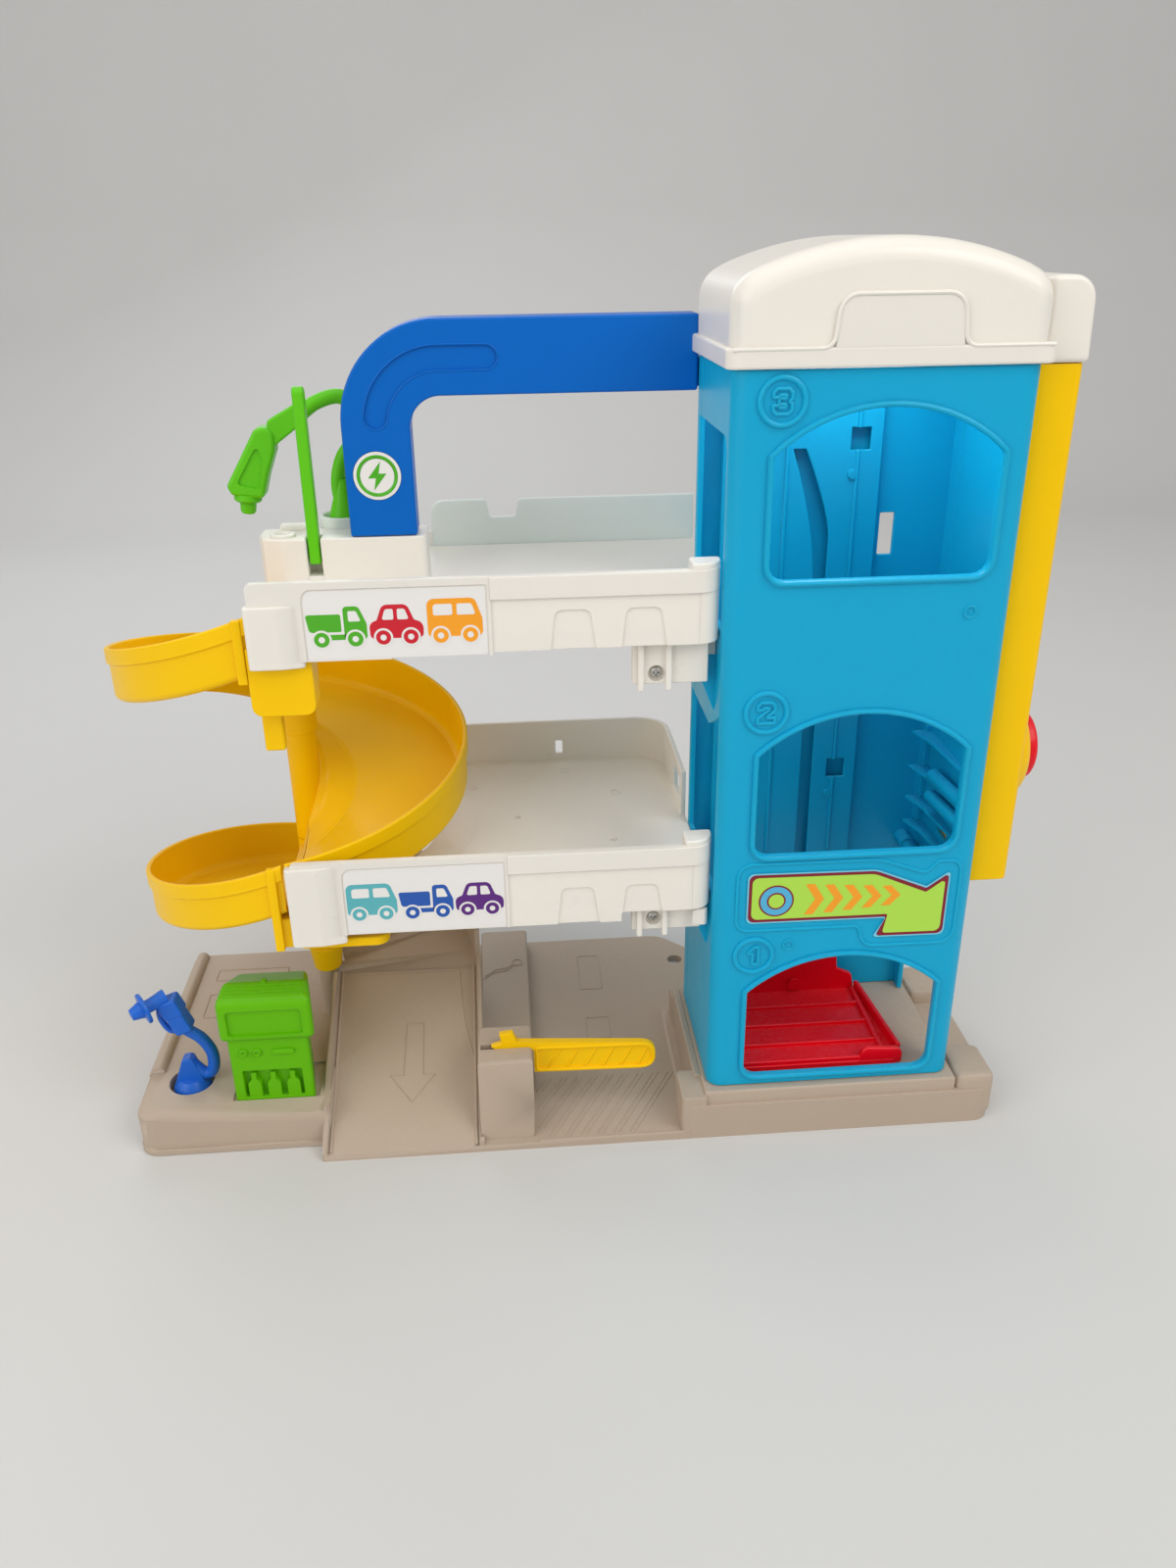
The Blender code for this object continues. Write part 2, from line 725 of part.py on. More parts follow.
def guide_plate():
    """Inner wall that guides the lift: a straight slot that leans over at the top."""
    (left, right), (front, back) = guide_limits()
    bottom = PLINTH_TOP + GAP
    top = TOWER_TOP - 8.0
    panel = box("guide_plate", (left, right), (front, back), (bottom, top))
    flange = box("flange", (right - 2.2, right), (front, TOWER_D - TOWER_WALL - GAP), (bottom, top))
    rail = box("rail", (left, left + 2.2), (front, TOWER_D - TOWER_WALL - GAP), (bottom, top))
    add(panel, flange, rail)
    half = GUIDE_SLOT_W / 2.0
    low = bottom + 1.0
    slot_top = FLOOR_3 + GUIDE_SLOT_CURVE
    bends = (FLOOR_3 + PIN_ABOVE_FLOOR + TILT_RISE, FLOOR_3)
    edges = []
    for side, bend, power in ((half, bends[0], 1.3), (-half, bends[1], 1.6)):
        edge = []
        for step in range(7):
            share = step / 6.0
            z = bend + (slot_top - bend) * share
            edge.append((GUIDE_SLOT_X - GUIDE_SLOT_LEAN * share**power + side, z))
        edges.append(edge)
    outline = [(GUIDE_SLOT_X - half, low), (GUIDE_SLOT_X + half, low)]
    outline += edges[0] + list(reversed(edges[1]))
    slot = plate("guide_slot", "XZ", [outline], (front - 3.0, back + 0.6))
    cut(panel, slot)
    for number, z in enumerate((FLOOR_2 + 28.0, FLOOR_3 + 64.0)):
        clip = box(f"clip_{number}", (70.0, 79.0), (front - 3.0, back + 3.0), (z - 5.0, z + 5.0))
        cut(panel, clip)
    for number, x in enumerate((left + 28.5, right - 12.0)):
        rib = box(f"rib_{number}", (x, x + 1.6), (front - 1.0, front + 1.0), (bottom + 90.0, top))
        add(panel, rib)
    return finish(panel, "sky_blue")


def roof():
    """Barrel roof with a lip all round and a raised bare tab on its front."""
    over = ROOF_OVERHANG
    lip_top = TOWER_TOP + GAP + ROOF_LIP
    left, right = -over + 1.4, TOWER_W + over - 1.4
    half = (right - left) / 2.0
    rise = ROOF_PEAK - ROOF_EAVES
    radius = (half**2 + rise**2) / (2.0 * rise)
    spread = math.degrees(math.asin(half / radius))
    middle = (left + right) / 2.0
    crown = arc((middle, ROOF_PEAK - radius), radius, 90.0 - spread, 90.0 + spread, 12)
    r = ROOF_SHOULDER_R
    body = rounded([(left, TOWER_TOP + GAP, 0.0), (right, TOWER_TOP + GAP, 0.0)]
                   + [(right, crown[0][1], r * 0.5)]
                   + [(x, z, 0.0) for x, z in crown[1:-1]]
                   + [(left, crown[-1][1], r * 0.5)], steps=3)
    front, back = -over + 1.4, TOWER_D + over - 1.4
    shape = plate("roof_cap", "XZ", [body], (front, back))
    lip = box("lip", (-over, TOWER_W + over), (-over, TOWER_D + over), (TOWER_TOP + GAP, lip_top))
    tab_left = TOWER_W / 2.0 + 2.0 - ROOF_TAB_W / 2.0
    tab_right = tab_left + ROOF_TAB_W
    tab = plate(
        "tab",
        "XZ",
        [
            rounded(
                [
                    (tab_left, TOWER_TOP + GAP, 0.0),
                    (tab_right, TOWER_TOP + GAP, 0.0),
                    (tab_right - 1.5, ROOF_TAB_TOP, 8.0),
                    (tab_left + 1.5, ROOF_TAB_TOP, 8.0),
                ],
                steps=4,
            )
        ],
        (-over, front + 2.0),
    )
    bevel(lip, 1.2, 2)
    bevel(shape, 4.5, 2, 60.0)
    add(shape, lip, tab)
    hollow_half = half - ROOF_WALL
    hollow = box(
        "roof_hollow",
        (middle - hollow_half, middle + hollow_half),
        (front + ROOF_WALL, back - ROOF_WALL),
        (TOWER_TOP - 3.0, ROOF_EAVES - ROOF_WALL),
    )
    cut(shape, bevel(hollow, 3.0, 2))
    return finish(shape, "white")


def housing_limits():
    """X, Y and Z limits of the yellow side housing."""
    return (
        (TOWER_W + GAP, HOUSING_RIGHT),
        (HOUSING_FRONT, HOUSING_FRONT + HOUSING_D),
        (HOUSING_BOTTOM, TOWER_TOP - 1.0),
    )


def hook_heights():
    """Heights of the hooks that hold the side housing, clear of what is inside."""
    low, high = housing_limits()[2]
    return low + 12.0, BUTTON_Z + 40.0, high - 7.5


def housing_hook_slots():
    """Slots in the tower side that take the hooks of the side housing."""
    slots = []
    (left, _), (front, back), _ = housing_limits()
    for number, z in enumerate(hook_heights()):
        y = (front + back) / 2.0
        slots.append(
            box(f"hook_slot_{number}", (left - 6.0, left + 1.0), (y - 6.5, y + 6.5), (z - 3.5, z + 3.5))
        )
    return slots


def side_housing():
    """Yellow box on the tower side that holds the sound unit and carries the button."""
    (left, right), (front, back), (low, high) = housing_limits()
    t = HOUSING_WALL
    outline = rounded([(left, front, 0.0), (right, front, 4.0), (right, back, 4.0), (left, back, 0.0)])
    shell = plate("side_housing", "XY", [outline], (low, high))
    hollow = box("housing_hollow", (left - 3.0, right - t), (front + t, back - t), (low + t, high - t))
    cut(shell, hollow)
    middle = (front + back) / 2.0
    wall_hole = rod("wall_hole", "X", (right - t - 3.0, middle, BUTTON_Z), 9.0, BUTTON_R + 3.0, sides=28)
    cut(shell, wall_hole)
    bezel = rod(
        "bezel", "X", (right - 1.2, middle, BUTTON_Z), BEZEL_PROUD + 1.2, BEZEL_R, BEZEL_TOP_R, sides=28
    )
    bore = rod("button_bore", "X", (right - 9.0, middle, BUTTON_Z), 40.0, BUTTON_R + FIT, sides=28)
    cut(bezel, bore)
    add(shell, bezel)
    for number, z in enumerate(hook_heights()):
        hook = box(
            f"hook_{number}",
            (left - TOWER_WALL + GAP, left + 2.4),
            (middle - 6.0, middle + 6.0),
            (z - 3.0, z + 3.0),
        )
        arm = box(
            f"hook_arm_{number}",
            (left + 0.4, left + 3.0),
            (front + 1.0, back - 1.0),
            (z - 3.4, z + 3.4),
        )
        add(shell, arm, hook)
    door = door_limits()
    door_hole = box("door_hole", (right - t - 1.0, right + 3.0), door[0], door[1])
    cut(shell, door_hole)
    grille = []
    for row in range(5):
        z = SPEAKER_Z - 10.0 + row * 5.0
        grille.append(
            box(
                f"grille_{row}",
                (right - t - 1.0, right + 3.0),
                (middle - 11.0, middle + 11.0),
                (z - 1.0, z + 1.0),
            )
        )
    cut(shell, *grille)
    for number, (heading, point) in enumerate(door_screw_places()):
        boss = rod(f"door_boss_{number}", "X", (right - t - 9.0, point[1], point[2]), 10.2, 3.6, sides=12)
        add(shell, boss)
        cut(shell, *screw_hole(f"door_bore_{number}", heading, point))
    return finish(shell, "yellow")


def door_limits():
    """Y and Z limits of the opening for the battery door."""
    middle = HOUSING_FRONT + HOUSING_D / 2.0
    return (middle - 19.0, middle + 19.0), (CELL_Z - 4.0, CELL_Z + CELL_L + 8.0)


def door_screw_places():
    """Screw that holds the battery door, above the door opening."""
    (front, back), (_, top) = door_limits()
    middle = (front + back) / 2.0
    return [("-X", (HOUSING_RIGHT + 0.4, middle, top + 4.0))]


def battery_door():
    """Door that closes the battery box, with a lug for its screw."""
    (front, back), (low, high) = door_limits()
    right = HOUSING_RIGHT
    door = box(
        "battery_door",
        (right - HOUSING_WALL, right + 0.6),
        (front + FIT, back - FIT),
        (low + FIT, high - FIT),
    )
    middle = (front + back) / 2.0
    lug = plate(
        "door_lug",
        "YZ",
        [rounded([(middle - 8.0, high - 2.0, 0.0), (middle + 8.0, high - 2.0, 0.0),
                  (middle + 8.0, high + 8.5, 5.0), (middle - 8.0, high + 8.5, 5.0)])],
        (right + GAP, right + 1.6),
    )
    skin = box("door_skin", (right + GAP, right + 1.6), (front - 1.5, back + 1.5), (low - 1.5, high + 0.5))
    add(door, skin, lug)
    for number, (heading, point) in enumerate(door_screw_places()):
        bore = rod(
            "door_pass", "X", (point[0] - 5.0, point[1], point[2]), 12.0, SCREW_HEAD_R + FIT, sides=12
        )
        cut(door, bore)
    return finish(door, "yellow")


def batteries():
    """Two cylindrical cells that stand side by side in the housing."""
    middle = HOUSING_FRONT + HOUSING_D / 2.0
    x = HOUSING_RIGHT - HOUSING_WALL - CELL_R - GAP
    cells = []
    for number, side in enumerate((-1.0, 1.0)):
        y = middle + side * (CELL_R + 1.5)
        body = rod(f"battery_{number + 1}", "Z", (x, y, CELL_Z), CELL_L - 1.6, CELL_R, sides=16)
        tip = rod(f"tip_{number}", "Z", (x, y, CELL_Z + CELL_L - 2.0), 2.0, 2.6, sides=10)
        cells.append(finish(add(body, tip), "cell"))
    return cells


def battery_contacts():
    """Spring plates above and below the cells, held in slots of the battery tray."""
    middle = HOUSING_FRONT + HOUSING_D / 2.0
    x = HOUSING_RIGHT - HOUSING_WALL - CELL_R - GAP
    plates = []
    for number, z in enumerate((CELL_Z - GAP - CONTACT_THICK, CELL_Z + CELL_L + GAP)):
        contact = box(
            f"battery_contact_{number + 1}",
            (x - 5.0, x + 5.0),
            (middle - 15.0, middle + 15.0),
            (z, z + CONTACT_THICK),
        )
        plates.append(finish(contact, "steel"))
    return plates


def battery_tray():
    """Black tray behind the cells that holds them and their contacts."""
    middle = HOUSING_FRONT + HOUSING_D / 2.0
    axis = HOUSING_RIGHT - HOUSING_WALL - CELL_R - GAP
    back = TOWER_W + GAP + GAP
    bed_low = CELL_Z - GAP * 2.0 - CONTACT_THICK
    bed_high = CELL_Z + CELL_L + GAP * 2.0 + CONTACT_THICK
    body = box(
        "battery_tray",
        (back, axis + 5.0),
        (middle - 19.0, middle + 19.0),
        (bed_low - 2.0, bed_high + 2.0),
    )
    for number, side in enumerate((-1.0, 1.0)):
        y = middle + side * (CELL_R + 1.5)
        hole = rod(
            f"cell_bed_{number}", "Z", (axis, y, bed_low), bed_high - bed_low, CELL_R + GAP, sides=16
        )
        mouth = box(
            f"cell_mouth_{number}",
            (axis, axis + 12.0),
            (y - CELL_R - GAP, y + CELL_R + GAP),
            (bed_low + 0.1, bed_high - 0.1),
        )
        cut(body, hole, mouth)
    for number, z in enumerate((bed_low - 0.2, CELL_Z + CELL_L)):
        slot = box(
            f"contact_slot_{number}",
            (axis - 5.0 - GAP, axis + 9.0),
            (middle - 15.0 - GAP, middle + 15.0 + GAP),
            (z, z + CONTACT_THICK + GAP * 2.0 + 0.2),
        )
        cut(body, slot)
    return finish(body, "black")


def circuit_board():
    """Board that lies against the tower side behind the button."""
    middle = HOUSING_FRONT + HOUSING_D / 2.0
    left = TOWER_W + GAP + GAP + 3.0
    low, high = BUTTON_Z - 24.0, BUTTON_Z + 24.0
    board = box("circuit_board", (left, left + BOARD_THICK), (middle - 22.0, middle + 22.0), (low, high))
    stand = rod("stand", "X", (TOWER_W + GAP + GAP, middle + 17.0, low + 5.0), 4.0, 2.5, sides=10)
    stand_2 = rod("stand_2", "X", (TOWER_W + GAP + GAP, middle - 17.0, high - 5.0), 4.0, 2.5, sides=10)
    switch_face = left + BOARD_THICK + 3.2
    switch = box(
        "switch",
        (left + 0.5, switch_face),
        (middle - 4.0, middle + 4.0),
        (BUTTON_Z - 4.0, BUTTON_Z + 4.0),
    )
    chip = box(
        "chip",
        (left + 0.5, left + BOARD_THICK + 1.4),
        (middle - 19.0, middle - 9.0),
        (low + 6.0, low + 16.0),
    )
    add(board, stand, stand_2, switch, chip)
    return finish(board, "board")


def speaker():
    """Small speaker behind the grille at the top of the housing."""
    middle = HOUSING_FRONT + HOUSING_D / 2.0
    right = HOUSING_RIGHT - HOUSING_WALL - GAP
    z = SPEAKER_Z
    rim = rod("speaker", "X", (right - 3.0, middle, z), 3.0, SPEAKER_R, sides=24)
    basket = rod("basket", "X", (right - 8.0, middle, z), 5.5, 9.0, SPEAKER_R - 2.0, sides=24)
    magnet = rod("magnet", "X", (right - 12.0, middle, z), 4.5, 9.0, sides=16)
    add(rim, basket, magnet)
    bowl = rod("bowl", "X", (right - 2.0, middle, z), 6.0, SPEAKER_R - 5.0, SPEAKER_R - 2.0, sides=24)
    cut(rim, bowl)
    return finish(rim, "black")


def push_button():
    """Red domed button that slides in the yellow bezel."""
    middle = HOUSING_FRONT + HOUSING_D / 2.0
    left = TOWER_W + GAP + GAP + 3.0 + BOARD_THICK + 3.2
    back = HOUSING_RIGHT - 3.0
    face = BUTTON_FACE
    body = rod("push_button", "X", (back, middle, BUTTON_Z), face - back - 2.5, BUTTON_R, sides=28)
    dome = rod("dome", "X", (face - 2.6, middle, BUTTON_Z), 2.6, BUTTON_R - 0.1, BUTTON_R - 5.0, sides=28)
    flange = rod("flange", "X", (back - 0.4, middle, BUTTON_Z), 1.6, BUTTON_R + 2.0, sides=28)
    stem_from = left + BUTTON_TRAVEL + GAP
    stem = rod("stem", "X", (stem_from, middle, BUTTON_Z), back - stem_from + 1.0, BUTTON_STEM_R, sides=16)
    add(body, dome, flange, stem)
    return finish(body, "red", (back, middle, BUTTON_Z))


def side_cap():
    """White cap on the side housing, beside the roof."""
    (left, right), (front, back), (_, high) = housing_limits()
    low = high + GAP
    inner = TOWER_W + ROOF_OVERHANG + GAP
    cap = plate(
        "side_cap",
        "XZ",
        [
            rounded(
                [
                    (inner, low, 0.0),
                    (right + 1.5, low, 0.0),
                    (right + 1.5, low + SIDE_CAP_TALL, 9.0),
                    (inner, low + SIDE_CAP_TALL, 0.0),
                ],
                steps=5,
            )
        ],
        (front - 1.5, back + 1.5),
    )
    peg = box(
        "cap_peg",
        (left + 5.0, right - 5.0),
        (front + 20.0, back - 20.0),
        (high - HOUSING_WALL - 3.0, low + 2.0),
    )
    hollow = box(
        "cap_hollow",
        (inner + 2.4, right - 1.0),
        (front + 1.0, back - 1.0),
        (low - 2.0, low + SIDE_CAP_TALL - 3.0),
    )
    cut(cap, hollow)
    hole = box("peg_hole", (left + 4.6, right - 4.6), (front + 19.6, back - 19.6), (high - 6.0, high + 2.0))
    web = box(
        "peg_web",
        (inner + 1.0, right + 0.5),
        (front + 24.0, back - 24.0),
        (low, low + SIDE_CAP_TALL - 2.0),
    )
    add(cap, web, peg)
    return finish(cap, "white"), hole


def platform_back():
    """Back face of the lift platform."""
    return TOWER_D - GUIDE_DEPTH - PLATFORM_BACK_CLEAR


def elevator_platform():
    """Red lift floor with cross ribs, a tall back and low rounded side walls."""
    left, right = PLATFORM_LEFT, PLATFORM_LEFT + PLATFORM_W
    front, back = PLATFORM_FRONT, platform_back() - 2.4
    floor_top = PLINTH_TOP + PLATFORM_RISE
    low = PLINTH_TOP + GAP
    outline = rounded(
        [(left, front, 2.0), (right, front, 6.0), (right - 6.0, back, 6.0), (left, back, 1.0)]
    )
    floor = plate("elevator_platform", "XY", [outline], (low, floor_top))
    wall = plate(
        "back_wall",
        "XZ",
        [
            rounded(
                [
                    (left + 6.0, low + 0.6, 0.0),
                    (right - 8.0, low + 0.6, 2.0),
                    (right - 10.0, floor_top + 9.0, 4.0),
                    (GUIDE_W + TOWER_WALL - 1.0, floor_top + 13.0, 2.0),
                    (GUIDE_W + TOWER_WALL - 4.0, floor_top + PLATFORM_BACK_TALL, 5.0),
                    (left + 16.0, floor_top + PLATFORM_BACK_TALL, 5.0),
                ],
                steps=3,
            )
        ],
        (back - 0.5, back + 2.1),
    )
    rim = plate(
        "side_rim",
        "XY",
        [
            [
                (right - 6.6, back - 0.3),
                (right - 0.8, front + 5.0),
                (right - 3.4, front + 5.0),
                (right - 9.2, back - 0.3),
            ]
        ],
        (low + 0.8, floor_top + PLATFORM_RIM * 0.7),
    )
    corner = box(
        "corner_wall",
        (right - 24.0, right - 1.5),
        (front + 0.3, front + 2.7),
        (low + 1.1, floor_top + PLATFORM_RIM),
    )
    sill = box(
        "front_sill",
        (left + 1.0, right - 8.0),
        (front + 0.6, front + 2.2),
        (low + 1.4, floor_top + 2.0),
    )
    add(floor, wall, rim, bevel(corner, 0.9, 2), sill)
    for number in range(1, 4):
        y = front + (back - front) * number / 4.0
        rib = box(
            f"floor_rib_{number}",
            (left + 1.4, right - 8.4),
            (y - 0.8, y + 0.8),
            (low + 1.7, floor_top + 1.6),
        )
        add(floor, rib)
    bore = rod("pin_bore", "Y", (GUIDE_SLOT_X, back - 6.0, pin_height()), 14.0, PIN_R + GAP, sides=16)
    cut(floor, bore)
    axis = (TILT_AXIS_X, front, pin_height() + TILT_AXIS_ABOVE_PIN)
    return finish(floor, "red", axis)


def pin_height():
    """Height of the guide pin on the lift at rest."""
    return PLINTH_TOP + PLATFORM_RISE + PIN_ABOVE_FLOOR


def guide_pin():
    """Pin that joins the platform to its carriage through the guide slot."""
    back = platform_back()
    head_face = back - 2.4 - 2.4
    head = rod("guide_pin", "Y", (GUIDE_SLOT_X, head_face, pin_height()), 1.5, PIN_R + 1.4, sides=16)
    carriage_back = carriage_limits()[1]
    shank = rod(
        "shank",
        "Y",
        (GUIDE_SLOT_X, head_face + 1.0, pin_height()),
        carriage_back - head_face - 1.2,
        PIN_R,
        sides=14,
    )
    return finish(add(head, shank), "steel")


def carriage_limits():
    """Y limits of the lift carriage behind the guide plate."""
    behind = TOWER_D - GUIDE_DEPTH + GUIDE_THICK
    return behind + GAP, TOWER_D - TOWER_WALL - GAP


def lift_carriage():
    """Slider that runs behind the guide plate and grips it by friction."""
    front, back = carriage_limits()
    z = pin_height()
    slider = box(
        "lift_carriage",
        (GUIDE_SLOT_X - 14.0, GUIDE_SLOT_X + 14.0),
        (front, back),
        (z - 8.0, z + TILT_RISE + 9.0),
    )
    upright_slot = box(
        "upright_slot",
        (GUIDE_SLOT_X - PIN_R - 0.9, GUIDE_SLOT_X + PIN_R + 0.9),
        (front - 4.0, back + 4.0),
        (z - PIN_R - GAP, z + TILT_RISE + PIN_R),
    )
    cut(slider, upright_slot)
    return finish(slider, "black")


def apron(name, floor, top, bottom, label_tall):
    """Front wall of a deck: label panel, offset skirt, two recesses, rounded end."""
    left = RAMP_X - 2.0
    right = -GAP
    front, back = DECK_FRONT, DECK_FRONT + DECK_WALL
    step_x = LABEL_LEFT + LABEL_W + 2.0
    wall = box(name, (left, right - DECK_END_R), (front, back), (bottom, top))
    end = plate(
        f"{name}_end",
        "XY",
        [
            [(right - DECK_END_R - 0.5, front)]
            + arc((right - DECK_END_R, front + DECK_END_R), DECK_END_R, 270.0, 360.0, 5)
            + [(right, front + DECK_END_R + 4.0), (right - DECK_WALL, front + DECK_END_R + 4.0)]
            + arc((right - DECK_END_R, front + DECK_END_R), DECK_END_R - DECK_WALL, 360.0, 270.0, 5)
            + [(right - DECK_END_R - 0.5, back)]
        ],
        (bottom + 0.0, top + 2.5),
    )
    band_left = step_x
    band = box(
        f"{name}_band",
        (band_left, right - DECK_END_R - 0.3),
        (front - 0.8, front + 0.5),
        (top - 7.0, top),
    )
    add(wall, end, band)
    recess_low = bottom - 1.0
    recess_high = top - 9.0
    for number, x in enumerate((-69.0, -31.0)):
        outline = rounded(
            [
                (x, recess_low, 0.0),
                (x + 22.0, recess_low, 0.0),
                (x + 18.5, recess_high, 4.0),
                (x + 1.5, recess_high, 4.0),
            ]
        )
        cut(wall, plate(f"{name}_recess_{number}", "XZ", [outline], (front - 2.0, front + 0.8)))
    label_low, label_high = label_limits(top, label_tall)
    pocket = plate(
        f"{name}_pocket",
        "XZ",
        [label_outline(label_low, label_high, 0.6)],
        (front - 2.0, front + 0.6),
    )
    cut(wall, pocket)
    clip = box(
        f"{name}_clip",
        (left - 1.5, left + 22.0),
        (front - 2.4, front + 1.0),
        (bottom - 4.0, top - 9.0),
    )
    add(wall, bevel(clip, 1.4, 2))
    return wall


def label_limits(top, label_tall):
    """Bottom and top of a deck label."""
    return top - 2.0 - label_tall, top - 2.0


def label_outline(low, high, grow):
    """Rounded outline of a deck label in X and Z."""
    return rounded(
        [
            (LABEL_LEFT - grow, low - grow, 1.5),
            (LABEL_LEFT + LABEL_W + grow, low - grow, 1.0),
            (LABEL_LEFT + LABEL_W + grow, high + grow, 1.0),
            (LABEL_LEFT - grow, high + grow, 4.0),
        ]
    )


def deck_label(name, top, label_tall):
    """Printed label that lies in the pocket of a deck's front wall."""
    low, high = label_limits(top, label_tall)
    face = DECK_FRONT + 0.6 - GAP
    label = plate(name, "XZ", [label_outline(low, high, 0.0)], (face - LABEL_THICK, face))
    return finish(label, "label")


def bracket(name, floor):
    """Screw bracket below a deck, beside the tower."""
    low, high = bracket_limits(floor)
    front = bracket_front()
    plate_box = box(name, (-BRACKET_W, -GAP), (front, front + BRACKET_D), (low, high))
    for number, x in enumerate((-BRACKET_W, -BRACKET_W + 19.0)):
        rib = box(f"{name}_rib_{number}", (x, x + 2.6), (front - 2.5, front + 1.0), (low - 1.5, high))
        add(plate_box, rib)
    return plate_box


def deck_3():
    """Upper deck: floor, front wall, back wall with a notch and the raised block."""
    top = DECK_3_TOP
    floor_low = FLOOR_3 - DECK_WALL
    right = -GAP
    lane_end = RAMP_X + GAP
    outline = [
        (lane_end, DECK_FRONT + 1.0),
        (right, DECK_FRONT + DECK_END_R),
        (right, DECK_BACK - 1.0),
        (BLOCK_LEFT, DECK_BACK - 1.0),
        (BLOCK_LEFT, BLOCK_FRONT + 1.0),
        (lane_end, BLOCK_FRONT + 1.0),
    ]
    deck = plate("deck_3", "XY", [outline], (floor_low, FLOOR_3))
    wall = apron("deck_3_apron", FLOOR_3, top, DECK_3_APRON_BOTTOM, LABEL_TALL_3)
    back = box(
        "deck_3_back",
        (BLOCK_RIGHT - 2.0, right),
        (DECK_BACK - DECK_WALL, DECK_BACK),
        (floor_low, FLOOR_3 + DECK_BACK_TOP),
    )
    notch = box(
        "notch",
        (-97.0, -80.0),
        (DECK_BACK - 9.0, DECK_BACK + 3.0),
        (FLOOR_3 + DECK_BACK_TOP - 9.0, top + 20.0),
    )
    cut(back, bevel(notch, 2.0, 2))
    end = box(
        "deck_3_end",
        (right - DECK_WALL, right),
        (TOWER_D + 3.0, DECK_BACK - 1.0),
        (floor_low, FLOOR_3 + DECK_BACK_TOP),
    )
    block = box("block", (BLOCK_LEFT, BLOCK_RIGHT), (BLOCK_FRONT, DECK_BACK), (floor_low, top))
    hollow = box(
        "block_hollow",
        (BLOCK_LEFT + DECK_WALL, BLOCK_RIGHT - DECK_WALL),
        (BLOCK_FRONT + DECK_WALL, DECK_BACK - DECK_WALL),
        (floor_low - 3.0, top - DECK_WALL),
    )
    under = box(
        "floor_under_block",
        (BLOCK_LEFT + DECK_WALL, BLOCK_RIGHT - DECK_WALL),
        (BLOCK_FRONT + DECK_WALL, DECK_BACK - DECK_WALL),
        (floor_low - 3.0, FLOOR_3 + 2.0),
    )
    bevel(block, 2.0, 2)
    cut(block, hollow)
    cut(deck, under)
    cup = rod(
        "cup",
        "Z",
        (CHARGER_X, CHARGER_Y, top - 1.0),
        CUP_TALL + 1.0,
        CUP_R + 2.0,
        CUP_R + 1.0,
        sides=24,
    )
    cup_bore = rod(
        "cup_bore", "Z", (CHARGER_X, CHARGER_Y, top + 2.0), CUP_TALL, CUP_R - 1.6, CUP_R - 0.8, sides=24
    )
    cup_pin = rod(
        "cup_pin_bore", "Z", (CHARGER_X, CHARGER_Y, top - 12.0), 20.0, SWIVEL_PIN_R + GAP, sides=16
    )
    cup_boss = rod("cup_boss", "Z", (CHARGER_X, CHARGER_Y, top - 9.0), 8.0, SWIVEL_PIN_R + 3.0, sides=16)
    boss = rod("corner_boss", "Z", (BLOCK_LEFT + 9.0, BLOCK_FRONT + 10.0, top - 1.0), 3.0, 6.0, sides=16)
    add(deck, wall, back, end, block, cup, cup_boss, boss)
    cut(deck, cup_bore, cup_pin)
    side = LANE_GATE_THICK / 2.0 + GAP
    reach = LANE_GATE_WIDE / 2.0 + GAP
    slot = box(
        "gate_slot",
        (LANE_GATE_X - side, LANE_GATE_X + side),
        (BLOCK_FRONT - 3.0, LANE_GATE_Y + reach),
        (LANE_GATE_Z - reach - 0.5, top + 3.0),
    )
    cheeks = box(
        "gate_cheeks",
        (LANE_GATE_X - side - 6.0, LANE_GATE_X + side + 6.0),
        (BLOCK_FRONT + 0.5, LANE_GATE_Y + reach + 3.0),
        (FLOOR_3 - 1.0, top - 1.0),
    )
    add(deck, cheeks)
    pin_bore = rod(
        "gate_pin_bore",
        "X",
        (LANE_GATE_X - side - 4.0, LANE_GATE_Y, LANE_GATE_Z),
        2.0 * (side + 4.0),
        LANE_GATE_PIN_R + GAP,
        sides=16,
    )
    cut(deck, slot, pin_bore)
    add(deck, bracket("bracket_3", FLOOR_3))
    post_plate = box(
        "post_plate",
        (BLOCK_LEFT + 1.0, RAMP_X + SOCKET_R),
        (BLOCK_FRONT + 1.0, RAMP_Y + SOCKET_R),
        (floor_low, floor_low + 8.0),
    )
    add(deck, post_plate)
    post_seat = rod("post_seat", "Z", (RAMP_X, RAMP_Y, floor_low - 3.0), 14.0, SPIGOT_R + FIT, sides=16)
    cut(deck, post_seat)
    for number, (heading, point) in enumerate(deck_screw_places()[1:]):
        cut(deck, *screw_hole(f"deck_3_bore_{number}", heading, point, sink=3.0))
    for number, (heading, point) in enumerate(arch_foot_screw_places()):
        cut(deck, *screw_hole(f"arch_foot_bore_{number}", heading, point, sink=2.0))
    return finish(deck, "white")


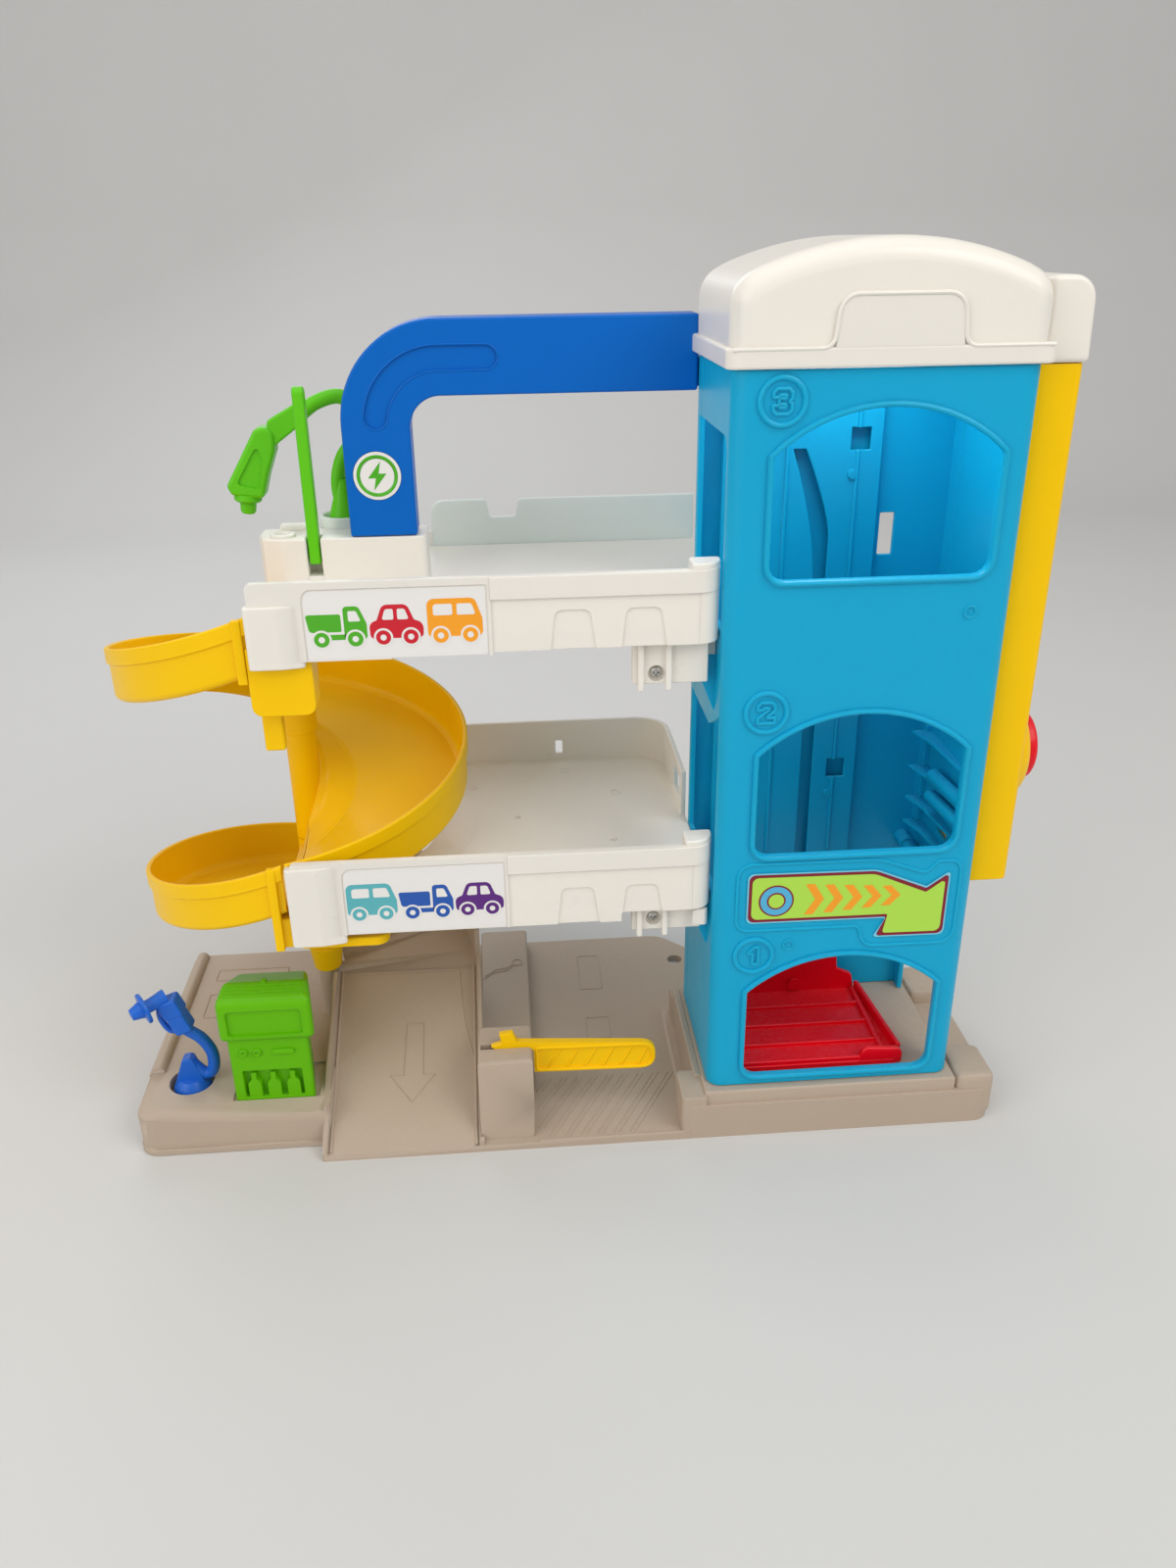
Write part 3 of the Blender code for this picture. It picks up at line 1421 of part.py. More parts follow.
def deck_2():
    """Lower deck, cut away round the spiral, with a window in its right end wall."""
    top = DECK_2_TOP
    floor_low = FLOOR_2 - DECK_WALL
    right = -GAP
    clear = RAMP_R + RAMP_BAND_PROUD + FIT
    angle = math.degrees(math.asin((DECK_BACK - 1.0 - RAMP_Y) / clear))
    low_angle = math.degrees(math.asin((DECK_FRONT + DECK_WALL - 0.5 - RAMP_Y) / clear))
    rim = arc((RAMP_X, RAMP_Y), clear, angle, low_angle, 20)
    corner = 18.0
    outline = list(rim)
    outline += [(right - DECK_END_R, DECK_FRONT + DECK_WALL - 0.5), (right, DECK_FRONT + DECK_END_R)]
    outline += arc((right - corner, DECK_BACK - corner), corner, 0.0, 90.0, 6)
    deck = plate("deck_2", "XY", [outline], (floor_low, FLOOR_2))
    wall = apron("deck_2_apron", FLOOR_2, top, DECK_2_APRON_BOTTOM, LABEL_TALL_2)
    back_left = rim[0][0] + 2.0
    t = DECK_WALL
    back = plate(
        "deck_2_back",
        "XY",
        [
            [(back_left, DECK_BACK - t), (right - corner, DECK_BACK - t)]
            + arc((right - corner, DECK_BACK - corner), corner - t, 90.0, 0.0, 6)
            + [(right - t, TOWER_D + 3.0), (right, TOWER_D + 3.0)]
            + arc((right - corner, DECK_BACK - corner), corner, 0.0, 90.0, 6)
            + [(back_left, DECK_BACK)]
        ],
        (floor_low, FLOOR_2 + DECK_BACK_TOP),
    )
    slot = box(
        "back_slot_2",
        (-64.0, -60.0),
        (DECK_BACK - 6.0, DECK_BACK + 3.0),
        (FLOOR_2 + 4.0, FLOOR_2 + 12.0),
    )
    port = box(
        "end_port",
        (right - 6.0, right + 3.0),
        (TOWER_D + 10.0, TOWER_D + 30.0),
        (FLOOR_2 + 5.0, FLOOR_2 + 18.0),
    )
    cut(back, slot, bevel(port, 2.0, 2))
    add(deck, wall, back, bracket("bracket_2", FLOOR_2))
    holes = [
        rod(f"drain_{number}", "Z", (x, y, floor_low - 3.0), 9.0, 1.8, sides=12)
        for number, (x, y) in enumerate(((-88.0, 92.0), (-40.0, 62.0)))
    ]
    cut(deck, *holes)
    for number, (heading, point) in enumerate(deck_screw_places()[:1]):
        cut(deck, *screw_hole(f"deck_2_bore_{number}", heading, point, sink=3.0))
    return finish(deck, "white")


def lane_ring(angle, start_height):
    """Cross-section of the spiral lane at an angle, as points in space."""
    floor = start_height - descent(angle)
    inner = POST_R - 2.0
    r, t = RAMP_R, RAMP_WALL
    rim = RAMP_RIM
    section = [
        (inner, 8.5),
        (POST_R + 0.8, 8.5),
        (POST_R + 3.0, 4.4),
        (POST_R + 8.0, 1.2),
        (POST_R + 16.0, 0.0),
        (r - t - 5.0, 0.0),
        (r - t - 1.2, 1.4),
        (r - t, 5.0),
        (r - t, rim),
        (r, rim),
        (r, rim - RAMP_BAND),
        (r - RAMP_BAND_PROUD, rim - RAMP_BAND - 0.8),
        (r - RAMP_BAND_PROUD, 0.5),
        (r - 4.0, -RAMP_FLOOR),
        (inner, -RAMP_FLOOR),
    ]
    heading = math.radians(-90.0 - angle)
    ring = []
    for radius, height in section:
        x = RAMP_X + radius * math.cos(heading)
        y = RAMP_Y + radius * math.sin(heading)
        ring.append((x, y, floor + height))
    return ring


def spiral(name, start_height, first, last):
    """Spiral lane between two angles."""
    steps = max(4, round(RAMP_STEPS * (last - first) / 360.0))
    rings = []
    for step in range(steps + 1):
        angle = first + (last - first) * step / steps
        rings.append(lane_ring(angle, start_height))
    return loft(name, rings)


def ramp_upper():
    """Full turn from deck 3 down to deck 2, with its stretch of the centre post."""
    start = FLOOR_3 - RAMP_STEP_DOWN
    under_deck = FLOOR_3 - DECK_WALL - GAP
    post_low = FLOOR_2 - RAMP_FLOOR
    front = RAMP_Y - RAMP_R
    lane = spiral("ramp_upper", start, 0.6, 359.4)
    post = rod("upper_post", "Z", (RAMP_X, RAMP_Y, post_low), under_deck - post_low, POST_R, sides=24)
    sleeve = rod("sleeve", "Z", (RAMP_X, RAMP_Y, start - 60.0), 60.0, POST_R + 0.7, sides=24)
    spigot = rod("upper_spigot", "Z", (RAMP_X, RAMP_Y, under_deck - 3.0), 12.0, SPIGOT_R, sides=16)
    flange = box(
        "upper_flange",
        (RAMP_X - 7.5, RAMP_X - 4.0),
        (front - 0.4, front + 3.0),
        (start - RAMP_FLOOR - 4.0, start + RAMP_RIM - 2.0),
    )
    hanger = box(
        "hanger",
        (RAMP_X - 3.0, RAMP_X + 23.0),
        (DECK_FRONT + DECK_WALL + GAP * 2.0, DECK_FRONT + DECK_WALL + 16.0),
        (start - 21.0, under_deck),
    )
    tab = box(
        "hanger_tab",
        (RAMP_X - 1.5, RAMP_X + 6.5),
        (DECK_FRONT + DECK_WALL + 9.0, DECK_FRONT + DECK_WALL + 14.0),
        (start - 40.0, start - 19.0),
    )
    bevel(hanger, 2.0, 2)
    add(lane, post, sleeve, spigot, flange, tab, hanger)
    socket = rod("socket", "Z", (RAMP_X, RAMP_Y, post_low - 3.0), 15.0, SPIGOT_R + FIT, sides=16)
    cut(lane, socket)
    return finish(lane, "yellow")


def ramp_lower():
    """Half turn from deck 2 down to the base, with its stretch of the post."""
    front = RAMP_Y - RAMP_R
    lane = spiral("ramp_lower", FLOOR_2, 0.6, 180.0)
    post_high = FLOOR_2 - RAMP_FLOOR - GAP
    above = rod("post_clear", "Z", (RAMP_X, RAMP_Y, post_high), 40.0, POST_R + FIT, sides=24)
    cut(lane, above)
    foot = BASE_POST_TOP - 11.0
    post = rod("lower_post", "Z", (RAMP_X, RAMP_Y, foot + 11.0), post_high - foot - 11.0, POST_R, sides=24)
    cone = rod("post_foot", "Z", (RAMP_X, RAMP_Y, foot), 14.0, BASE_POST_R + 2.0, POST_R + 1.6, sides=24)
    spigot = rod("lower_spigot", "Z", (RAMP_X, RAMP_Y, post_high - 3.0), 14.0, SPIGOT_R, sides=16)
    flange = box(
        "lower_flange",
        (RAMP_X - 7.5, RAMP_X - 4.0),
        (front - 0.4, front + 3.0),
        (DECK_2_APRON_BOTTOM - 3.0, FLOOR_2 + RAMP_RIM - 2.0),
    )
    shelf_top = DECK_2_APRON_BOTTOM - 4.4
    shelf = box(
        "shelf",
        (RAMP_X + 4.0, RAMP_X + 45.0),
        (front + 1.0, RAMP_Y - POST_R + 3.0),
        (shelf_top - 5.0, shelf_top),
    )
    arm = box(
        "shelf_arm",
        (RAMP_X - 7.0, RAMP_X + 6.0),
        (front + 1.4, RAMP_Y - POST_R + 4.0),
        (shelf_top - 4.0, FLOOR_2 - RAMP_FLOOR - 3.0),
    )
    bevel(shelf, 1.6, 2)
    add(lane, post, cone, spigot, flange, arm, shelf)
    seat = rod("base_post_bore", "Z", (RAMP_X, RAMP_Y, foot - 3.0), 14.0 + GAP, BASE_POST_R + GAP, sides=16)
    cut(lane, seat)
    return finish(lane, "yellow")


def arch_outline(grow=0.0):
    """Outline of the handle arch in X and Z."""
    left = ARCH_LEG_LEFT
    inner_left = left + ARCH_LEG_W
    foot = DECK_3_TOP + GAP
    top = ARCH_TOP
    under = ARCH_TOP - ARCH_BAR
    end = -GAP
    outer_r, inner_r = ARCH_OUTER_R, ARCH_INNER_R
    points = [(left, foot)]
    points += arc((left + outer_r, top - outer_r), outer_r, 180.0, 90.0, 10)
    points += [(end, top), (end, under)]
    points += arc((inner_left + inner_r, under - inner_r), inner_r, 90.0, 180.0, 6)
    points += [(inner_left + 2.0, foot)]
    return points


def handle_arch(name, limits, groove):
    """One half of the handle arch."""
    half = plate(name, "XZ", [arch_outline()], limits)
    if groove:
        left = ARCH_LEG_LEFT + 7.5
        top = ARCH_TOP - 8.5
        wide = 13.0
        r = ARCH_OUTER_R - 10.0
        outline = arc((left + r, top - r), r, 180.0, 90.0, 8)
        outline += rounded_end((left + 62.0, top), (left + 62.0, top - wide))
        outline += arc((left + r, top - r), r - wide, 90.0, 180.0, 8)
        outline += rounded_end((left + wide, top - r - 12.0), (left, top - r - 12.0))
        cut(half, plate("grip_groove", "XZ", [outline], (limits[0] - 3.0, limits[0] + 0.8)))
        badge = rod("badge_pocket", "Y", (*badge_place(limits[0] - 3.0),), 3.6, BADGE_R + 0.4, sides=28)
        cut(half, badge)
    return half


def rounded_end(first, last):
    """Half circle between two points, turned clockwise."""
    a, b = Vector(first), Vector(last)
    centre = (a + b) / 2.0
    radius = (a - b).length / 2.0
    start = math.degrees(math.atan2(a.y - centre.y, a.x - centre.x))
    return arc(centre, radius, start, start - 180.0, 6)


def badge_place(y):
    """Centre of the round badge on the arch leg."""
    return (ARCH_LEG_LEFT + 16.5, y, DECK_3_TOP + 30.0)


def arch_front():
    """Front half of the arch, with the grip groove and the badge pocket."""
    split = BLOCK_FRONT + ARCH_D - ARCH_BACK_D
    half = handle_arch("handle_arch_front", (BLOCK_FRONT, split), True)
    bevel(half, 1.0, 1, 60.0)
    over = ROOF_OVERHANG + GAP
    roof_clear = box("roof_clear", (-over, 20.0), (0.0, TOWER_D + over), (TOWER_TOP, ARCH_TOP + 9.0))
    cut(half, roof_clear)
    for number, (heading, point) in enumerate(arch_half_screw_places()):
        cut(half, *screw_hole(f"arch_front_bore_{number}", heading, point))
    for number, (heading, point) in enumerate(arch_foot_screw_places()):
        cut(half, *screw_hole(f"arch_foot_hole_{number}", heading, point))
    return finish(half, "royal_blue")


def arch_back():
    """Back half of the arch, with a tab that is screwed to the tower's back."""
    split = BLOCK_FRONT + ARCH_D - ARCH_BACK_D + GAP
    half = handle_arch("handle_arch_back", (split, BLOCK_FRONT + ARCH_D), False)
    low = ARCH_TOP - ARCH_BAR + 0.6
    high = TOWER_TOP - 1.5
    link = box("arch_link", (-6.0, 3.0), (split + 0.4, BLOCK_FRONT + ARCH_D - 0.4), (low, high))
    tab = box("arch_tab", (0.0, 16.0), (TOWER_D + GAP, BLOCK_FRONT + ARCH_D - 0.8), (low + 0.4, high - 0.4))
    bevel(half, 0.9, 1, 60.0)
    add(half, link, tab)
    for number, (heading, point) in enumerate(arch_half_screw_places()):
        cut(half, *screw_hole(f"arch_back_bore_{number}", heading, point, sink=3.0))
    for number, (heading, point) in enumerate(arch_screw_places()):
        seat = rod(
            f"tab_seat_{number}",
            "Y",
            (point[0], point[1] - SCREW_HEAD_TALL - GAP, point[2]),
            20.0,
            SCREW_HEAD_R + FIT,
            sides=12,
        )
        bore = rod(
            f"tab_bore_{number}", "Y", (point[0], TOWER_D - 3.0, point[2]), 20.0, SCREW_R + FIT, sides=8
        )
        cut(half, seat, bore)
    return finish(half, "royal_blue")


def arch_half_screw_places():
    """Screws from the back that hold the two halves of the arch together."""
    back = BLOCK_FRONT + ARCH_D - SCREW_HEAD_TALL * 0.5
    return [
        ("-Y", (ARCH_LEG_LEFT + 15.0, back, DECK_3_TOP + 12.0)),
        ("-Y", (ARCH_LEG_LEFT + 22.0, back, ARCH_TOP - 20.0)),
        ("-Y", (-60.0, back, ARCH_TOP - 16.0)),
    ]


def arch_screw_places():
    """Screw through the tab of the arch into the tower's back shell."""
    return [("-Y", (9.5, TOWER_D + GAP + 5.5, ARCH_TOP - ARCH_BAR + 8.0))]


def arch_foot_screw_places():
    """Screws from below through the raised block into the arch's foot."""
    z = DECK_3_TOP - DECK_WALL - SCREW_HEAD_TALL * 0.5
    return [("+Z", (ARCH_LEG_LEFT + along, BLOCK_FRONT + 7.5, z)) for along in (6.6, 22.6)]


def badge():
    """Round badge in the pocket on the arch leg."""
    x, y, z = badge_place(BLOCK_FRONT + 0.6 - GAP - LABEL_THICK)
    return finish(rod("arch_badge", "Y", (x, y, z), LABEL_THICK, BADGE_R, sides=28), "label")


def tower_label():
    """Arrow-shaped label between the windows of levels 1 and 2."""
    low = WINDOW_HEADS[0] + 7.0
    high = WINDOW_HEADS[1] - WINDOW_TALL - 6.0
    middle = (low + high) / 2.0 + 2.0
    left = WINDOW_LEFT + 1.5
    neck = TOWER_W - ARROW_NECK_MARGIN
    tip = TOWER_W - ARROW_TIP_MARGIN
    outline = rounded(
        [
            (left, middle - 10.0, 3.0),
            (neck + 2.0, middle - 10.0, 1.0),
            (neck - 5.0, low + 1.0, 1.5),
            (tip, low + 1.0, 3.0),
            (tip, high - 2.0, 1.5),
            (tip - 11.0, high - 9.0, 1.0),
            (neck - 2.0, high - 1.0, 12.0),
            (left, high - 3.0, 3.0),
        ]
    )
    face = -GAP
    return finish(plate("tower_label", "XZ", [outline], (face - LABEL_THICK, face)), "label")


def lane_surface(y):
    """Height of the straight exit lane at a depth."""
    share = (y - BASE_FRONT) / (RAMP_Y - BASE_FRONT)
    return LANE_LOW + (LANE_TOP - LANE_STEP - LANE_LOW) * share


def base_quarter(name, section):
    """Quarter turn of the base's lane, from below the yellow ramp to the straight."""
    rings = []
    steps = 10
    for step in range(steps + 1):
        angle = 180.6 + 89.4 * step / steps
        floor = FLOOR_2 - descent(angle)
        heading = math.radians(-90.0 - angle)
        ring = []
        for radius, height, absolute in section:
            z = height if absolute else floor + height
            x = RAMP_X + radius * math.cos(heading)
            y = RAMP_Y + radius * math.sin(heading)
            ring.append((x, y, z))
        rings.append(ring)
    return loft(name, rings)


def base():
    """Grey base: station platform, exit lane, gate post, floor and tower plinth."""
    t = BASE_WALL
    floor = box("base", (LANE_RIGHT - 2.0, PLINTH_LEFT + 2.0), (BASE_FRONT, BASE_BACK), (0.0, BASE_FLOOR))
    station = plate(
        "station",
        "XY",
        [
            rounded(
                [
                    (BASE_LEFT, STATION_FRONT, 10.0),
                    (LANE_LEFT + 1.0, STATION_FRONT, 3.2),
                    (LANE_LEFT + 1.0, STATION_BACK, 5.0),
                    (BASE_LEFT, STATION_BACK, 6.0),
                ],
                steps=5,
            )
        ],
        (0.0, STATION_TOP),
    )
    bevel(station, 2.6, 2, 60.0)
    station_hollow = box(
        "station_hollow",
        (BASE_LEFT + t + 2.0, LANE_LEFT - t),
        (STATION_FRONT + t, STATION_BACK - t),
        (-3.0, STATION_TOP - t),
    )
    rail = rod(
        "station_rail",
        "Y",
        (BASE_LEFT + 4.5, STATION_FRONT + 34.0, STATION_TOP),
        STATION_BACK - STATION_FRONT - 36.0,
        3.6,
        sides=12,
    )
    foot_rim = plate(
        "station_rim",
        "XY",
        [
            rounded(
                [
                    (BASE_LEFT - 0.0, STATION_FRONT - 1.6, 10.0),
                    (LANE_LEFT + 1.0, STATION_FRONT - 1.6, 0.0),
                    (LANE_LEFT + 1.0, STATION_FRONT + 8.0, 0.0),
                    (BASE_LEFT - 0.0, STATION_FRONT + 12.0, 0.0),
                ],
                steps=5,
            )
        ],
        (0.0, 3.0),
    )
    cut(station, station_hollow)
    add(station, rail, foot_rim)

    lane_end = RAMP_Y + 0.8
    lane_profile = [
        (BASE_FRONT, 0.0),
        (BASE_FRONT, lane_surface(BASE_FRONT)),
        (lane_end, lane_surface(lane_end)),
        (lane_end, 0.0),
    ]
    lane = plate("lane", "YZ", [lane_profile], (LANE_LEFT - t, LANE_RIGHT + t))
    under_profile = [
        (BASE_FRONT + 14.0, -3.0),
        (BASE_FRONT + 14.0, lane_surface(BASE_FRONT + 14.0) - t - 2.0),
        (RAMP_Y + 3.0, lane_surface(RAMP_Y + 3.0) - t - 2.0),
        (RAMP_Y + 3.0, -3.0),
    ]
    lane_hollow = plate("lane_hollow", "YZ", [under_profile], (LANE_LEFT, LANE_RIGHT))
    kerbs = []
    for number, (left, right) in enumerate(((LANE_LEFT - t, LANE_LEFT), (LANE_RIGHT, LANE_RIGHT + t))):
        kerb_profile = [
            (BASE_FRONT, 0.0),
            (BASE_FRONT, lane_surface(BASE_FRONT) + 1.5),
            (BASE_FRONT + 24.0, lane_surface(BASE_FRONT + 24.0) + LANE_KERB),
            (lane_end - 0.4, lane_surface(lane_end) + LANE_KERB),
            (lane_end - 0.4, 0.0),
        ]
        kerbs.append(plate(f"kerb_{number}", "YZ", [kerb_profile], (left, right)))
    cut(lane, lane_hollow)

    outer = LANE_RIGHT + t - RAMP_X
    lane_section = [
        (BASE_POST_R - 2.0, 0.0, False),
        (outer - t, 0.0, False),
        (outer - t, RAMP_RIM, False),
        (outer, RAMP_RIM, False),
        (outer, 1.0, True),
        (outer - t, 1.0, True),
        (outer - t, -t, False),
        (BASE_POST_R - 2.0, -t, False),
    ]
    quarter = base_quarter("quarter", lane_section)
    inner_leg = rod("inner_leg", "Z", (RAMP_X, RAMP_Y, 1.2), BASE_POST_TOP - 1.2, BASE_POST_R, sides=21)

    post = box(
        "gate_post",
        (LANE_RIGHT + 1.0, POST_BLOCK_RIGHT),
        (BASE_FRONT + 4.0, POST_BLOCK_BACK),
        (0.0, POST_BLOCK_TOP),
    )
    bevel(post, 1.8, 2)
    strip = box(
        "strip",
        (LANE_RIGHT + 1.0, POST_BLOCK_RIGHT + 1.0),
        (POST_BLOCK_BACK - 3.0, BASE_BACK - 2.0),
        (0.0, STRIP_TOP),
    )
    bevel(strip, 1.2, 1)

    plinth = plate(
        "plinth",
        "XY",
        [
            rounded(
                [
                    (PLINTH_LEFT, BASE_FRONT, 3.0),
                    (BASE_RIGHT, BASE_FRONT, 9.0),
                    (BASE_RIGHT, PLINTH_BACK, 9.0),
                    (PLINTH_LEFT, PLINTH_BACK, 0.0),
                ],
                steps=5,
            )
        ],
        (0.0, PLINTH_TOP - 7.0),
    )
    bevel(plinth, 1.6, 1, 60.0)
    seat_top = box(
        "tower_seat", (-2.2, TOWER_W + 3.0), (BASE_FRONT + 1.5, TOWER_D + 3.0), (5.0, PLINTH_TOP)
    )
    bevel(seat_top, 1.2, 1)
    ears = []
    for number, y in enumerate((BASE_FRONT + 0.6, PLINTH_BACK - 30.0)):
        ear = box(f"ear_{number}", (BASE_RIGHT - 20.0, BASE_RIGHT), (y, y + 27.0), (3.0, PLINTH_TOP + 1.5))
        ears.append(bevel(ear, 4.0, 2))
    add(plinth, seat_top)
    plinth_hollow = box(
        "plinth_hollow",
        (PLINTH_LEFT + 3.0, BASE_RIGHT - 22.0),
        (BASE_FRONT + 6.0, TOWER_D - 2.0),
        (-3.0, PLINTH_TOP - 7.0 - t),
    )
    add(plinth, *ears)
    cut(plinth, plinth_hollow)

    rear = plate(
        "rear_floor",
        "XY",
        [
            rounded(
                [
                    (PLINTH_LEFT + 1.0, PLINTH_BACK - 2.0, 0.0),
                    (PLINTH_LEFT + 40.0, PLINTH_BACK - 2.0, 0.0),
                    (PLINTH_LEFT + 40.0, BASE_BACK - 30.0, 12.0),
                    (PLINTH_LEFT + 10.0, BASE_BACK, 12.0),
                    (PLINTH_LEFT + 1.0, BASE_BACK, 0.0),
                ]
            )
        ],
        (0.0, BASE_FLOOR),
    )
    shelf = box(
        "quarter_shelf",
        (RAMP_X - 3.0, LANE_RIGHT + t + 1.0),
        (RAMP_Y - 4.0, BASE_BACK - 1.0),
        (0.0, BASE_FLOOR),
    )

    foot_clear = rod(
        "foot_clear",
        "Z",
        (RAMP_X, RAMP_Y, BASE_POST_TOP - 11.0 - GAP),
        60.0,
        POST_R + 1.6 + GAP,
        sides=24,
    )
    add(floor, station, lane, *kerbs, post, strip, plinth, rear, shelf, quarter)
    cut(floor, foot_clear)
    add(floor, inner_leg)
    hose_hole = rod(
        "hose_hole", "Z", (PUMP_HOSE_X, PUMP_HOSE_Y, STATION_TOP - 6.0), 20.0, PUMP_HOLE_R, sides=24
    )
    hose_cup = rod(
        "hose_cup", "Z", (PUMP_HOSE_X, PUMP_HOSE_Y, STATION_TOP - 9.0), 8.0, PUMP_HOLE_R + t, sides=24
    )
    hose_pin = rod(
        "hose_pin_hole",
        "Z",
        (PUMP_HOSE_X, PUMP_HOSE_Y, STATION_TOP - 14.0),
        14.0,
        SWIVEL_PIN_R + GAP,
        sides=16,
    )
    add(floor, hose_cup)
    cut(floor, hose_hole, hose_pin)
    pump_left, pump_right = PUMP_X - PUMP_W / 2.0, PUMP_X + PUMP_W / 2.0
    pump_seat = box(
        "pump_seat",
        (pump_left - GAP, pump_right + GAP),
        (PUMP_FRONT - GAP, PUMP_FRONT + PUMP_D + GAP),
        (STATION_TOP - 1.2, STATION_TOP + 5.0),
    )
    cut(floor, pump_seat)
    drain = rod("floor_hole", "Z", (5.4, 150.0, -3.0), 12.0, 4.5, sides=16)
    cut(floor, drain)
    side = GATE_THICK / 2.0 + GAP
    sweep = GATE_TAIL + GAP * 2.0
    gate_slot = box(
        "gate_slot",
        (GATE_X - sweep, GATE_X + 6.5),
        (GATE_Y - side, GATE_Y + side),
        (GATE_Z - sweep, POST_BLOCK_TOP + 9.0),
    )
    bar_notch = box(
        "bar_notch",
        (GATE_X + 6.0, POST_BLOCK_RIGHT + 5.0),
        (GATE_Y - side, GATE_Y + side),
        (GATE_BAR - 3.4, POST_BLOCK_TOP + 9.0),
    )
    gate_bore = rod(
        "gate_bore",
        "Y",
        (GATE_X, GATE_Y - side - 4.0, GATE_Z),
        2.0 * (side + 4.0),
        GATE_PIN_R + GAP,
        sides=16,
    )
    cut(floor, gate_slot, bar_notch, gate_bore)
    for number, (heading, point) in enumerate(base_screw_places()):
        cut(floor, *screw_hole(f"base_bore_{number}", heading, point, sink=20.0))
    return finish(floor, "taupe")


def base_screw_places():
    """Screws from below that hold the pump to the station platform."""
    z = STATION_TOP - BASE_WALL - SCREW_HEAD_TALL * 0.5
    return [
        ("+Z", (PUMP_X - 12.0, PUMP_FRONT + PUMP_D / 2.0, z)),
        ("+Z", (PUMP_X + 12.0, PUMP_FRONT + PUMP_D / 2.0, z)),
    ]


def fuel_pump():
    """Green pump: wide head with a screen recess above a body with a niche."""
    low = STATION_TOP - 1.2 + GAP
    left, right = PUMP_X - PUMP_W / 2.0, PUMP_X + PUMP_W / 2.0
    front, back = PUMP_FRONT, PUMP_FRONT + PUMP_D
    neck = PUMP_TOP - PUMP_HEAD_TALL
    body = box("fuel_pump", (left, right), (front, back), (low, neck + 3.0))
    bevel(body, 2.0, 2)
    head = plate(
        "pump_head",
        "YZ",
        [
            rounded(
                [
                    (front - 2.5, neck, 3.0),
                    (back + 1.5, neck, 2.0),
                    (back + 1.5, PUMP_TOP - 7.0, 4.0),
                    (front + 9.0, PUMP_TOP, 5.0),
                    (front - 1.0, PUMP_TOP - 3.0, 4.0),
                ]
            )
        ],
        (PUMP_X - PUMP_HEAD_W / 2.0, PUMP_X + PUMP_HEAD_W / 2.0),
    )
    bevel(head, 1.6, 2, 60.0)
    add(body, head)
    hollow = box(
        "pump_hollow",
        (left + PUMP_WALL, right - PUMP_WALL),
        (front + PUMP_WALL + 1.6, back - PUMP_WALL),
        (low - 3.0, PUMP_TOP - 11.0),
    )
    cut(body, hollow)
    screen = box(
        "screen",
        (PUMP_X - 18.5, PUMP_X + 18.5),
        (front - 6.0, front - 1.2),
        (neck + 5.0, neck + 19.0),
    )
    niche = box(
        "niche", (PUMP_X - 15.0, PUMP_X + 15.0), (front - 3.0, front + 1.5), (low + 2.0, low + 17.0)
    )
    cut(body, bevel(screen, 1.0, 2), niche)
    for number in (-1, 0, 1):
        x = PUMP_X + number * 9.5
        bottle = plate(
            f"bottle_{number}",
            "XZ",
            [
                [
                    (x - 3.2, low + 2.0),
                    (x + 3.2, low + 2.0),
                    (x + 3.2, low + 9.0),
                    (x + 1.2, low + 12.0),
                    (x + 1.2, low + 15.5),
                    (x - 1.2, low + 15.5),
                    (x - 1.2, low + 12.0),
                    (x - 3.2, low + 9.0),
                ]
            ],
            (front + 0.2, front + 2.5),
        )
        add(body, bottle)
    for number, (heading, point) in enumerate(base_screw_places()):
        boss = rod(f"pump_boss_{number}", "Z", (point[0], point[1], low), 12.0, 3.4, sides=12)
        web = box(
            f"pump_web_{number}",
            (point[0] - 1.0, point[0] + 1.0),
            (front + 1.0, back - 1.0),
            (low, low + 12.0),
        )
        add(body, boss, web)
    for number, (heading, point) in enumerate(base_screw_places()):
        cut(body, *screw_hole(f"pump_bore_{number}", heading, point))
    return finish(body, "green")


def pump_hose():
    """Blue moulded hose: foot in its hole, a bent neck and a flared nozzle."""
    x, y, z = PUMP_HOSE_X, PUMP_HOSE_Y, STATION_TOP - 6.0 + GAP
    knots = [
        Vector((x + 2.0, y, z + 11.0)),
        Vector((x + 7.0, y - 0.5, z + 13.5)),
        Vector((x + 11.6, y - 1.0, z + 20.0)),
        Vector((x + 12.0, y - 1.5, z + 28.0)),
        Vector((x + 8.6, y - 2.0, z + 35.5)),
        Vector((x + 2.0, y - 2.0, z + 40.5)),
    ]
    points = smooth_path(knots, 3)
    hose = tube("pump_hose", points, [HOSE_R] * len(points), resolution=2)
    foot = rod("hose_foot", "Z", (x, y, z), 20.5, PUMP_HOLE_R - 1.2, 4.2, sides=24)
    pin = rod("hose_pin", "Z", (x, y, z - 6.5), 8.0, SWIVEL_PIN_R, sides=16)
    grip_knots = [
        Vector((x + 4.6, y - 2.0, z + 38.5)),
        Vector((x + 0.6, y - 2.0, z + 42.0)),
        Vector((x - 3.0, y - 2.0, z + 49.0)),
        Vector((x - 5.4, y - 2.0, z + 56.0)),
        Vector((x - 9.0, y - 2.0, z + 58.4)),
        Vector((x - 13.0, y - 2.0, z + 59.4)),
        Vector((x - 16.5, y - 2.0, z + 60.0)),
    ]
    grip = tube("hose_grip", grip_knots, [4.6, 6.4, 6.8, 5.4, 3.6, 3.6, 8.0], resolution=2)
    add(hose, foot, pin, grip)
    return finish(hose, "hose_blue", (x, y, STATION_TOP))


